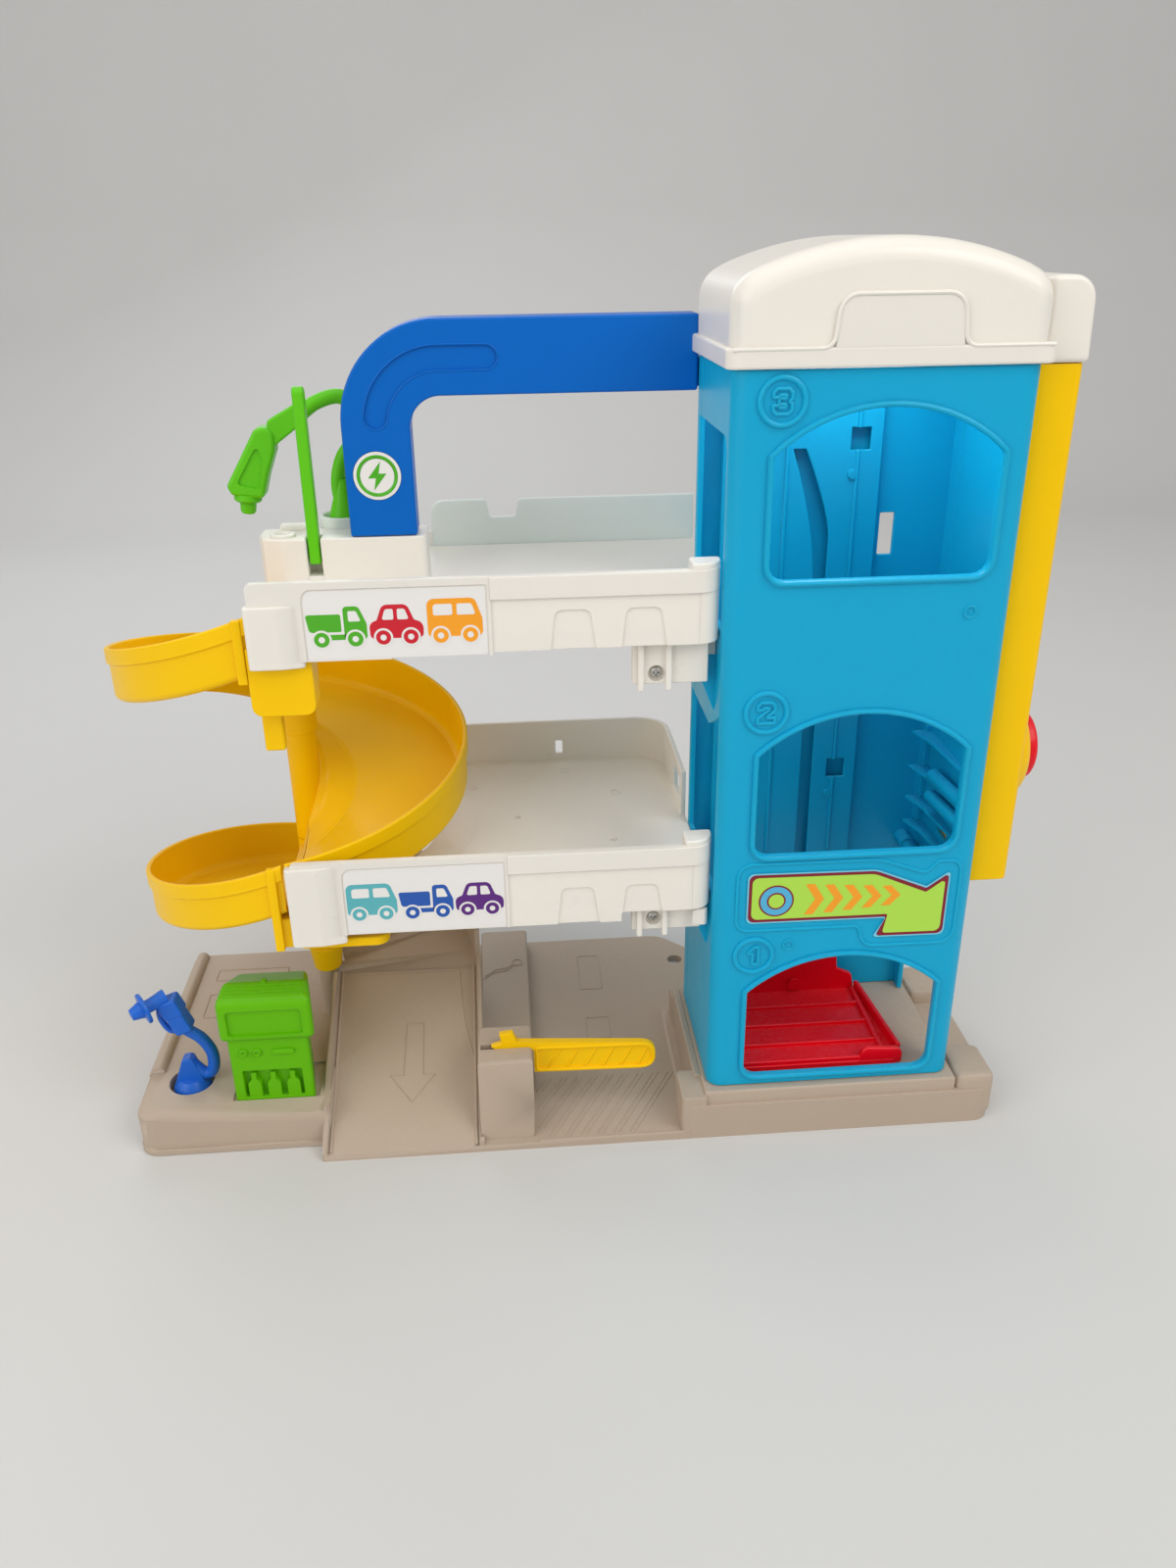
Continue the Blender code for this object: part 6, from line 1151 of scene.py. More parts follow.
@dataclass
class Decks(SubAssembly):
    """White upper and lower decks with their label panels and marks."""

    floors: Pair = (LOWER_FLOOR, UPPER_FLOOR)
    recess_lefts: Pair = (-72.2, -42.6)
    rib_lefts: Pair = (-34.8, -22.8)
    block_front: float = 80.0
    block_back: float = 104.0
    block_top: float = 287.0

    def clearings(self, plan: ApronPlan) -> List[Piece]:
        """Shapes that clear a deck's coarse front wall, its end and its bracket."""
        under = plan.floor - plan.thick
        return [
            block("clear_wall", (-199.0, -1.0, plan.floor - 26.0), (0.8, 6.52, plan.top + 5.0), 0.0),
            block("clear_end", (-9.45, -1.0, plan.floor - 10.0), (0.8, 17.15, plan.top + 5.0), 0.0),
            block("clear_bracket", (-27.6, 8.4, plan.floor - 29.0), (0.8, 17.4, under - 0.02), 0.0),
            block("clear_lug", (-27.6, 8.0, plan.floor - 64.0), (3.0, 32.0, plan.floor - 26.6), 0.0),
        ]

    def apron(self, plan: ApronPlan) -> List[Piece]:
        """Front wall with its two recesses, wrapped end, lip, frame, clip block and bracket.

        Args:
            plan: the wall's sizes.

        Returns:
            The wall's pieces, to be joined.
        """
        front, back, top = plan.front, plan.back, plan.top
        wall = prism(
            "wall",
            rounded(
                [
                    (plan.left, plan.low, 1.0), (plan.low_step, plan.low, 0.2), (plan.low_step, plan.low_end, 0.2),
                    (plan.bend, plan.low_end, 0.0), (plan.bend, top, 0.0), (plan.left, top, 2.5),
                ]
            ),
            Plane.FRONT, front, back,
        )
        for left in self.recess_lefts:
            arch = [
                (left, plan.low - 3.0, 0.0), (left + 20.2, plan.low - 3.0, 0.0), (left + 17.0, plan.recess, 3.4),
                (left + 2.4, plan.recess, 3.4),
            ]
            carve(wall, prism("recess", rounded(arch, 5), Plane.FRONT, front - 3.0, front + 0.85))
        weigh_edges(wall, 0.3, 50.0)
        round_marked(wall, 0.26, 2)
        finish_surface(wall)
        wrap = [
            (plan.bend - 0.1, front, 0.0), (plan.right, front, 8.8), (plan.right, 17.2, 0.0), (-2.9, 17.2, 0.0),
            (-2.9, back, 6.2), (plan.bend - 0.1, back, 0.0),
        ]
        cap = [(-13.3, front - 0.5, 1.4), (plan.right, front - 0.5, 9.2), (plan.right, 15.4, 1.4), (-13.3, 15.4, 1.4)]
        lip = [
            (plan.label[1] + 1.2, front - 1.3, 0.0), (plan.right, front - 1.3, 9.6), (plan.right, 16.6, 0.0),
            (-1.8, 16.6, 0.0), (-1.8, 5.4, 8.0), (plan.label[1] + 1.2, 5.4, 0.0),
        ]
        patch = [(-185.0, back - 0.3), (plan.bend, back - 0.3), (-2.8, 12.6), (-2.8, 17.4), (-9.7, 17.4), (-185.0, 9.4)]
        made = [
            wall,
            prism("wrap", rounded(wrap, 8), Plane.FLOOR, plan.low_end, top, 0.5, 3),
            prism("cap", rounded(cap, 8), Plane.FLOOR, top - 4.0, top + 2.5, 0.9, 4),
            prism("lip", rounded(lip, 8), Plane.FLOOR, top - plan.lip_tall, top - 0.15, 0.4, 3),
            prism("patch", patch, Plane.FLOOR, plan.floor - plan.thick + 0.05, plan.floor - 0.03),
        ]
        low_x, high_x, low_z, high_z = plan.label
        outline = rounded(
            [
                (plan.left, plan.low, 1.0), (high_x + 1.4, plan.low + 0.3, 0.4), (high_x + 1.4, top - 0.3, 0.4),
                (plan.left, top - 0.1, 2.5),
            ]
        )
        frame_plate = prism("frame", outline, Plane.FRONT, front - 0.65, front + 0.2)
        window = rounded([(low_x, low_z, 0.5), (high_x, low_z, 0.5), (high_x, high_z, 0.8), (low_x, high_z, 4.5)], 6)
        carve(frame_plate, prism("window", window, Plane.FRONT, front - 3.0, front + 3.0))
        weigh_edges(frame_plate, 0.2, 50.0)
        round_marked(frame_plate, 0.2, 2)
        made.append(finish_surface(frame_plate))
        left, face_end, slope_end, low, high = plan.clip
        clip = [
            (left, back, 0.0), (left, 1.8, 1.8), (face_end, 1.8, 2.4), (slope_end, front - 0.2, 1.5),
            (slope_end, back, 0.0),
        ]
        made.append(prism("clip", rounded(clip, 6), Plane.FLOOR, low, high, 0.9, 4))
        under = plan.floor - plan.thick
        plate = block("bracket", (-36.8, 11.2, plan.bracket_low), (-4.2, 17.2, under + 0.3), 0.8)
        place = self.screw_place(plan)
        bore = turned("bore", [(0.0, -3.0), (3.7, -3.0), (3.7, 2.4), (0.0, 2.4)], place, steps=32, heading=(0, 1, 0))
        made.append(finish_surface(carve(plate, bore)))
        for rib in self.rib_lefts:
            made.append(block("rib", (rib, 8.6, plan.bracket_low - 2.4), (rib + 2.7, 12.0, under + 0.2), 0.8))
        return made

    @staticmethod
    def screw_place(plan: ApronPlan) -> Point:
        """Centre of the screw's seat on a bracket's face."""
        return (-26.6, 11.2, plan.bracket_low + (4.8 if plan.deck == "deck_3" else 6.2))

    def film(self, plan: ApronPlan) -> None:
        """Printed film that lies in the frame of a front wall."""
        low_x, high_x, _, high_z = plan.label
        outline = rounded(
            [
                (low_x + 0.5, plan.low + 0.7, 1.0), (high_x - 0.5, plan.low + 0.7, 1.0),
                (high_x - 0.5, high_z - 0.5, 1.0), (low_x + 0.5, high_z - 0.5, 4.2),
            ],
            6,
        )
        piece = prism(f"{plan.deck}_film", outline, Plane.FRONT, plan.front - 0.1, plan.front + 0.1)
        self.dress(piece, FILM, "label", [f"{plan.deck}_label"])

    def gate_block(self) -> List[Piece]:
        """Faceted post, block, slot, boss and rims at the upper deck's left."""
        front, back, top, floor = self.block_front, self.block_back, self.block_top, self.floors[1]
        post = [
            (-179.3, front, 0.0), (-179.3, back, 0.0), (-201.9, back, 3.0), (-201.9, front + 11.0, 2.0),
            (-199.4, front + 3.6, 2.0), (-190.0, front, 3.0),
        ]
        main = [(-172.8, front, 0.0), (-124.5, front, 2.6), (-124.5, back, 2.6), (-172.8, back, 0.0)]
        ring = [(3.2, -0.6), (5.9, -0.6), (5.9, 0.9), (5.3, 1.3), (3.8, 1.3), (3.2, 0.6)]
        return [
            prism("post", rounded(post, 5), Plane.FLOOR, floor - 0.1, top, 1.0, 4),
            prism("main", rounded(main, 6), Plane.FLOOR, floor - 0.1, top, 0.8, 3),
            block("slot_back", (-180.2, front + 10.6, floor), (-172.0, back - 0.3, top - 0.3), 0.3),
            block("slot_floor", (-180.2, front + 0.4, floor), (-172.0, front + 11.4, 269.6), 0.3),
            turned("corner_boss", ring, (-190.4, front + 7.6, top), steps=40),
            block("ridge", (-193.4, back - 6.0, top - 0.5), (-179.4, back - 0.4, top + 3.0), 1.2),
            block("block_floor", (-203.0, front + 0.6, floor - 2.4), (-121.4, 167.8, floor - 0.02), 0.3),
            block("rim_left", (-203.0, back - 1.0, floor - 0.5), (-200.6, 168.0, 270.0), 0.6),
            block("rim_back", (-203.0, 165.6, floor - 0.5), (-125.0, 168.0, 270.0), 0.6),
            block("rear_floor", (-3.0, 87.0, floor - 2.4), (13.0, 167.8, floor - 0.02), 0.3),
        ]

    def milky_wall(self) -> None:
        """Back wall of the upper deck with its notch, and the charger's cup."""
        floor = self.floors[1]
        outline = rounded(
            [
                (-126.6, floor - 2.4, 0.0), (13.0, floor - 2.4, 0.0), (13.0, 285.9, 0.0), (-80.0, 285.9, 2.0),
                (-82.2, 276.7, 2.0), (-95.6, 276.7, 2.0), (-97.4, 285.9, 2.0), (-126.6, 285.9, 7.0),
            ],
            6,
        )
        self.dress(prism("deck_3_back_wall", outline, Plane.FRONT, 165.4, 167.9, 0.7, 3), MILKY, "white")
        cup = [
            (0.0, -29.2), (12.4, -29.2), (12.0, -0.6), (11.6, 0.2), (11.0, 0.5), (10.4, 0.2), (10.1, -0.6),
            (9.9, -6.0), (0.0, -6.0),
        ]
        self.dress(turned("charger_cup", cup, (*CHARGER_FOOT, 291.4), steps=56), MILKY, "white")

    def upper(self) -> None:
        """Upper deck, its label and what is printed on it."""
        tools = self.clearings(UPPER_APRON) + [
            block("clear_block", (-205.0, 79.4, 262.03), (-121.0, 169.0, 301.0), 0.0),
            block("clear_back", (-125.5, 165.2, 262.03), (0.8, 169.0, 301.0), 0.0),
            block("clear_end_wall", (-3.2, 86.0, 262.03), (0.8, 165.6, 301.0), 0.0),
        ]
        self.skin("deck_3", WHITE, "white", 0.5, 3, 2.4, tools)
        self.dress(join("deck_3_front", self.apron(UPPER_APRON) + self.gate_block()), WHITE, "white")
        self.milky_wall()
        self.film(UPPER_APRON)
        prints = Pictogram(self.effects)
        base = 262.6
        prints.truck("truck_green", -158.0, base, INK_GREEN)
        prints.car("car_red", -134.4, base, INK_RED)
        prints.van("van_orange", -110.6, base, INK_ORANGE)

    def lower(self) -> None:
        """Lower deck, its label and what is printed on it."""
        self.skin("deck_2", WHITE, "white", 0.5, 3, 2.4, self.clearings(LOWER_APRON))
        under = arc(RAMP_POST, 85.4, -62.0, 62.0, 30) + arc(RAMP_POST, 66.0, 62.0, -62.0, 30)
        patch = prism("under_ramp", under, Plane.FLOOR, self.floors[0] - 2.4, self.floors[0] - 0.06)
        self.dress(join("deck_2_front", self.apron(LOWER_APRON) + [patch]), WHITE, "white")
        self.film(LOWER_APRON)
        prints = Pictogram(self.effects)
        base = 132.6
        prints.van("van_teal", -155.6, base, INK_TEAL)
        prints.truck("truck_blue", -130.8, base, INK_BLUE)
        prints.car("car_purple", -107.2, base, INK_PURPLE)

    def floor_marks(self) -> None:
        """Small mould marks on the lower deck's floor."""
        marks = []
        for x, y in ((-112.0, 132.0), (-34.0, 118.0), (-60.0, 150.0)):
            marks.append(bead("mark", full_circle((x, y), 2.6, 18), Plane.FLOOR, self.floors[0] + 0.05, 0.3))
        self.dress(join("lower_floor_marks", marks), WHITE, "white")

    def build(self) -> None:
        """Build both decks."""
        self.upper()
        self.lower()
        self.floor_marks()


@dataclass
class SpiralRamp(SubAssembly):
    """Yellow spiral ramp in two mouldings round one post."""

    x: float = RAMP_POST[0]
    y: float = RAMP_POST[1]
    pitch: float = 0.29444
    ease: float = 9.0
    ease_angle: float = 35.0
    upper_floor: float = 250.0
    lower_floor: float = LOWER_FLOOR
    post: float = 7.5

    def descent(self, angle: float) -> float:
        """Fall of the floor at an angle in degrees from the start."""
        return self.pitch * angle + self.ease * (1.0 - math.exp(-angle / self.ease_angle))

    def section(self) -> Outline:
        """Section of the trough: radius from the post's axis, height above the floor."""
        return rounded(
            [
                (5.5, -2.6, 0.0), (81.4, -2.6, 3.4), (81.4, 15.1, 0.35), (82.6, 15.9, 0.35), (82.6, 23.0, 0.9),
                (80.3, 23.0, 0.9), (80.1, 0.0, 4.2), (24.0, 0.0, 14.0), (10.6, 3.6, 5.0), (8.3, 8.5, 1.0),
                (5.5, 8.5, 0.0),
            ],
            5,
        )

    def trough(self, name: str, start: float, low: float, high: float) -> Piece:
        """Spiral channel between two angles.

        Args:
            name: the piece's name.
            start: height of the floor at the start.
            low: first angle in degrees, clockwise from the front.
            high: last angle in degrees.

        Returns:
            The channel with its ends closed.
        """
        profile = self.section()
        bpy.ops.mesh.primitive_circle_add(vertices=len(profile), fill_type="NOTHING")
        piece = settle(bpy.context.active_object, name)
        heading = math.radians(-90.0 - low)
        for vertex, (radius, height) in zip(piece.data.vertices, profile):
            vertex.co = Vector((radius * math.cos(heading), radius * math.sin(heading), height)) * MM
        steps = int((high - low) / 2.5)
        with shaping(piece, "EDGE"):
            bpy.ops.mesh.spin(steps=steps, angle=math.radians(high - low), center=(0, 0, 0), axis=(0, 0, 1))
            bpy.ops.mesh.select_all(action="SELECT")
            bpy.ops.mesh.fill_holes(sides=0)
        for vertex in piece.data.vertices:
            heading = math.degrees(math.atan2(vertex.co.y, vertex.co.x))
            angle = (-90.0 - heading - low + 0.01) % 360.0 + low - 0.01
            vertex.co.z += (start - self.descent(angle)) * MM
        piece.data.transform(Matrix.Translation(spot(self.x, self.y, 0.0)))
        outward(piece)
        return finish_surface(piece)

    def column(self, name: str, low: float, high: float) -> Piece:
        """Stretch of the central post."""
        wall = [(0.0, 0.0), (self.post, 0.0), (self.post, high - low), (0.0, high - low)]
        return turned(name, wall, (self.x, self.y, low), steps=48)

    def upper(self) -> None:
        """Upper moulding: trough, post, sleeve, hanger and front flange."""
        sleeve = [(5.0, 0.0), (8.0, 0.0), (8.6, 0.8), (8.6, 59.4), (8.0, 60.0), (5.0, 60.0)]
        hanger = prism(
            "hanger",
            rounded([(-197.4, 229.0, 4.5), (-170.8, 229.0, 4.5), (-170.8, 259.0, 0.6), (-197.4, 259.0, 0.6)], 6),
            Plane.FRONT, 7.2, 22.5, 0.9, 3,
        )
        pieces = [
            self.trough("trough", self.upper_floor, 0.6, 359.4),
            self.column("column", 132.5, 259.0),
            turned("sleeve", sleeve, (self.x, self.y, 190.0), steps=48),
            block("flange", (-201.6, 6.9, 243.4), (-197.6, 10.4, 271.0), 0.6),
            hanger,
            block("tab", (-195.8, 15.4, 210.0), (-187.2, 20.6, 231.0), 1.0),
        ]
        self.dress(join("ramp_upper_moulding", pieces), YELLOW, "yellow", ["ramp_upper"])

    def lower(self) -> None:
        """Lower moulding: trough, post, shelf, arm and the foot of the post."""
        foot = [(0.0, 0.0), (6.6, 0.0), (7.3, 0.8), (9.1, 14.0), (8.2, 15.0), (0.0, 15.0)]
        shelf = prism(
            "shelf",
            rounded(
                [
                    (-190.0, 8.4, 1.0), (-150.2, 8.4, 6.0), (-149.6, 60.0, 14.0), (-176.0, 85.5, 10.0),
                    (-190.0, 85.5, 1.0),
                ],
                6,
            ),
            Plane.FLOOR, 113.2, 118.0, 0.9, 3,
        )
        pieces = [
            self.trough("trough", self.lower_floor, 0.6, 180.0),
            self.column("column", 63.0, 132.0),
            turned("foot", foot, (self.x, self.y, 51.9), steps=48),
            block("flange", (-201.6, 6.9, 113.5), (-197.6, 10.4, 156.0), 0.6),
            shelf,
            block("arm", (-199.6, 8.8, 114.4), (-188.0, 86.5, 129.4), 0.9),
        ]
        self.dress(join("ramp_lower_moulding", pieces), YELLOW, "yellow", ["ramp_lower"])

    def build(self) -> None:
        """Build both mouldings."""
        self.upper()
        self.lower()


@dataclass
class CarryArch(SubAssembly):
    """Royal blue carrying arch with a long groove and a round badge."""

    badge: Pair = (-144.4, 314.4)
    badge_face: float = 80.0
    groove_half: float = 5.4
    groove_end: float = -93.8
    groove_low: float = 334.3
    groove_centre: Pair = (-114.9, 335.3)
    groove_radius: float = 34.0
    badge_radius: float = 10.6

    def half(self, name: str, front: float, back: float) -> Piece:
        """One moulded half, between two depths."""
        outline = rounded(
            [
                (-158.6, 287.3, 0.0), (-128.3, 287.3, 0.0), (-128.3, 348.0, 14.0), (-0.3, 348.0, 0.0),
                (-0.3, 380.0, 0.0), (-158.6, 380.0, 44.0),
            ],
            20,
        )
        return prism(name, outline, Plane.FRONT, front, back, 1.2, 4)

    def groove(self) -> Outline:
        """Outline of the long L-shaped groove."""
        (x, z), half, radius = self.groove_centre, self.groove_half, self.groove_radius
        cap_z = self.groove_low + half
        lean_out = math.degrees(math.asin((cap_z - z) / radius))
        lean_in = math.degrees(math.asin((cap_z - z) / (radius - 2.0 * half)))
        outer = arc((x, z), radius, 180.0 - lean_out, 90.0, 16)
        right = arc((self.groove_end, z + radius - half), half, 85.0, -85.0, 12)
        inner = arc((x, z), radius - 2.0 * half, 90.0, 180.0 - lean_in, 12)
        left_x = outer[0][0]
        right_x = inner[-1][0]
        low = arc(((left_x + right_x) / 2.0, cap_z), (right_x - left_x) / 2.0, -5.0, -175.0, 12)
        return outer + right + inner + low

    def build(self) -> None:
        """Build both halves, the groove and the badge's print."""
        front = self.half("handle_arch_front_half", 80.0, 92.0)
        x, z = self.badge
        pocket = prism("pocket", full_circle((x, z), self.badge_radius + 0.3), Plane.FRONT, 76.0, 80.62)
        carve(front, prism("groove", self.groove(), Plane.FRONT, 76.0, 80.9), pocket)
        edge = bead("groove_edge", self.groove(), Plane.FRONT, 80.12, 0.42)
        whole = join("handle_arch_front_half", [finish_surface(front), edge])
        self.dress(whole, ROYAL_BLUE, "royal_blue", ["handle_arch_front"])
        back = self.half("back_half", 92.3, 98.0)
        tab = block("tab", (-2.0, 84.4, 349.2), (16.0, 97.1, 361.8), 1.2)
        self.dress(join("handle_arch_back_half", [back, tab]), ROYAL_BLUE, "royal_blue", ["handle_arch_back"])
        face = self.badge_face
        film = prism("badge_film", full_circle((x, z), self.badge_radius), Plane.FRONT, face, face + 0.5)
        self.dress(film, FILM, "label", ["arch_badge"])
        circle = full_circle((x, z), self.badge_radius - 1.4)
        inner = full_circle((x, z), self.badge_radius - 3.0)
        disc = prism("badge_ring", circle, Plane.FRONT, face - 0.06, face + 0.05)
        carve(disc, prism("inner", inner, Plane.FRONT, face - 1.0, face + 1.0))
        self.dress(disc, INK_GREEN, "label")
        bolt = [(1.8, 6.4), (-4.2, -1.0), (-0.7, -1.0), (-1.8, -6.4), (4.2, 1.0), (0.7, 1.0)]
        mark = prism("badge_bolt", [(x + u, z + v) for u, v in bolt], Plane.FRONT, face - 0.06, face + 0.05)
        self.dress(mark, INK_GREEN, "label")


@dataclass
class FuelPump(SubAssembly):
    """Green fuel pump with a sloping ridged head, a screen, buttons and a bottle niche."""

    left: float = -234.0
    right: float = -194.2
    head_left: float = -236.4
    head_right: float = -190.9
    middle: float = -213.8
    draft: float = 0.0085
    screen: Tuple[float, float, float, float] = (-231.6, 62.4, -196.2, 76.8)
    niche: Tuple[float, float, float, float] = (-228.6, 24.3, -199.4, 40.4)
    bottles: Triple = (-223.6, -214.0, -204.4)

    def head(self) -> Piece:
        """Head with its recessed screen."""
        corners = [(13.5, 59.0, 3.2), (44.4, 59.4, 3.0), (44.4, 79.0, 3.2), (25.4, 85.9, 4.0), (13.9, 82.0, 5.0)]
        side = rounded(corners, 6)
        shape = prism("head", side, Plane.SIDE, self.head_left, self.head_right, 2.9, 5)
        low_x, low_z, high_x, high_z = self.screen
        window = rounded_box((low_x, low_z), (high_x, high_z), 1.8, 5)
        return carve(shape, prism("window", window, Plane.FRONT, 10.0, 15.0))

    def front_details(self) -> List[Piece]:
        """Screen rim, top ridges, nub, buttons and slot bar."""
        low_x, low_z, high_x, high_z = self.screen
        outer = rounded_box((low_x - 0.7, low_z - 0.7), (high_x + 0.7, high_z + 0.7), 2.4, 6)
        made = [bead("screen_rim", outer, Plane.FRONT, 14.25, 0.65)]
        for number in range(4):
            share = (number + 0.5) / 4.0
            y, z = 16.5 + 8.0 * share, 83.0 + 2.6 * share
            made.append(bar(f"ridge_{number}", [(self.head_left + 3.0, y, z), (self.head_right - 3.0, y, z)], 0.45))
        nub = [(0.0, 0.0), (1.7, 0.0), (1.4, 1.3), (0.0, 1.6)]
        made.append(turned("nub", nub, ((self.left + self.right) / 2.0, 26.0, 85.2), steps=20))
        knob = [(0.0, 0.0), (2.3, 0.0), (2.1, 1.1), (1.6, 1.5), (1.1, 1.3), (0.9, 0.7), (0.0, 0.6)]
        for number, x in enumerate((-226.4, -219.8)):
            made.append(turned(f"knob_{number}", knob, (x, 16.2, 51.6), steps=28, heading=(0, -1, 0)))
        slot_bar = rounded_box((-212.6, 50.2), (-201.8, 53.0), 1.3, 5)
        made.append(prism("slot_bar", slot_bar, Plane.FRONT, 14.9, 16.4, 0.5, 3))
        return made

    def bottle(self, x: float) -> Piece:
        """One bottle standing in the niche."""
        z = self.niche[1]
        shape = rounded(
            [
                (x - 3.3, z - 0.4, 0.4), (x + 3.3, z - 0.4, 0.4), (x + 3.3, z + 8.0, 2.0), (x + 1.3, z + 10.2, 0.6),
                (x + 1.3, z + 14.2, 0.4), (x - 1.3, z + 14.2, 0.4), (x - 1.3, z + 10.2, 0.6), (x - 3.3, z + 8.0, 2.0),
            ],
            4,
        )
        return prism("bottle", shape, Plane.FRONT, 16.4, 20.4, 0.8, 3)

    def build(self) -> None:
        """Build the pump."""
        low_x, low_z, high_x, high_z = self.niche
        outline = rounded_box((self.left, 16.1), (self.right, 42.9), 1.8, 4)
        body = prism("body", outline, Plane.FLOOR, 22.1, 61.0)
        opening = rounded_box((low_x, low_z), (high_x, high_z), 0.8, 3)
        carve(body, prism("opening", opening, Plane.FRONT, 12.0, 19.6))
        round_edges(body, 0.35, 2)
        finish_surface(body)
        pieces = [body, self.head(), *self.front_details(), *[self.bottle(x) for x in self.bottles]]
        whole = taper(join("fuel_pump_moulding", pieces), self.middle, 15.0, self.draft)
        self.dress(whole, PUMP_GREEN, "green", ["fuel_pump"])


@dataclass
class SwivelArm(SubAssembly):
    """Moulded hose that stands on a swivel foot."""

    x: float = 0.0
    y: float = 0.0
    z: float = 0.0
    tube: float = 3.0

    def at(self, along: float, depth: float, up: float) -> Triple:
        """Point given from the swivel's foot."""
        return (self.x + along, self.y + depth, self.z + up)

    def side_view(self, corners: Corners, steps: int) -> Outline:
        """Rounded outline from the front, given from the swivel's foot."""
        return rounded([(self.x + along, self.z + up, radius) for along, up, radius in corners], steps)

    def pin(self, low: float) -> Piece:
        """Pin below the foot, down to a height."""
        return turned("pin", [(0.0, low), (3.0, low), (3.0, 1.0), (0.0, 1.0)], self.at(0.0, 0.0, 0.0), steps=24)


@dataclass
class PumpHose(SwivelArm):
    """Blue moulded pump hose that swivels in the base."""

    body: str = "pump_hose"
    x: float = -259.0
    y: float = 34.0
    z: float = 17.3

    def build(self) -> None:
        """Build the foot, the bent neck, the grip and the flared nozzle."""
        route = [
            self.at(0.6, 0.0, 19.2), self.at(3.4, 0.0, 14.6), self.at(7.6, 0.0, 10.2), self.at(11.4, -0.4, 12.2),
            self.at(12.9, -0.8, 19.0), self.at(12.2, -1.4, 26.0), self.at(8.6, -1.8, 33.2), self.at(3.0, -2.0, 38.4),
            self.at(-0.4, -2.0, 42.0),
        ]
        wedge_outline = self.side_view(
            [
                (-9.6, 0.4, 0.8), (9.2, 0.4, 0.8), (6.4, 9.0, 1.6),
                (2.6, 21.4, 2.4), (-2.4, 20.6, 2.6),
            ],
            6,
        )
        plug = [(0.0, 0.0), (9.6, 0.0), (9.8, 0.6), (9.2, 3.6), (6.0, 8.0), (0.0, 9.0)]
        pieces = [
            bar("neck", flow(route, 8), self.tube, sides=7),
            turned("plug", plug, self.at(0.0, 0.0, 0.0), steps=40),
            prism("wedge", wedge_outline, Plane.FRONT, self.y - 3.2, self.y + 3.2, 1.0, 3),
            self.pin(-6.4),
        ]
        start, end = Vector(self.at(1.6, -2.0, 39.4)), Vector(self.at(-5.6, -2.0, 57.6))
        way = (end - start).normalized()
        pieces += self.grip(start, way)
        tip = Vector(self.at(-16.8, -8.6, 55.0))
        nozzle_start = Vector(self.at(-5.0, -0.8, 57.6))
        aim = (tip - nozzle_start).normalized()
        length = (tip - nozzle_start).length
        flare = [
            (0.0, 0.0), (4.3, 0.0), (3.4, length - 7.4), (3.4, length - 4.6), (7.6, length - 4.2), (8.0, length - 3.4),
            (7.8, length - 2.4), (4.4, length - 1.9), (2.8, length + 3.4), (0.0, length + 3.8),
        ]
        pieces.append(turned("nozzle", flare, tuple(nozzle_start), steps=40, heading=tuple(aim)))
        self.dress(join("pump_hose_moulding", pieces), HOSE_BLUE, "hose_blue", ["pump_hose"])

    def grip(self, start: Vector, way: Vector) -> List[Piece]:
        """Two-block grip and its finger guard along a direction."""
        side = Vector((way.z, 0.0, -way.x))
        made = []
        for name, low, high, inner, outer, half in (
            ("grip_low", -1.0, 9.6, -3.6, 5.0, 4.4), ("grip_high", 9.0, 18.8, -4.0, 5.8, 4.7),
        ):
            corners = [
                start + way * low + side * inner, start + way * low + side * outer,
                start + way * high + side * outer, start + way * high + side * inner,
            ]
            outline = rounded([(c.x, c.z, 1.4) for c in corners][::-1], 4)
            made.append(prism(name, outline, Plane.FRONT, self.y - 2.0 - half, self.y - 2.0 + half, 1.0, 3))
        guard = [start + side * -2.0, start + way * 2.0 + side * -6.6, start + way * 9.0 + side * -7.4,
                 start + way * 14.6 + side * -5.4, start + way * 16.0 + side * -2.4]
        made.append(bar("guard", flow([tuple(g) for g in guard], 6), 1.5, sides=4))
        return made


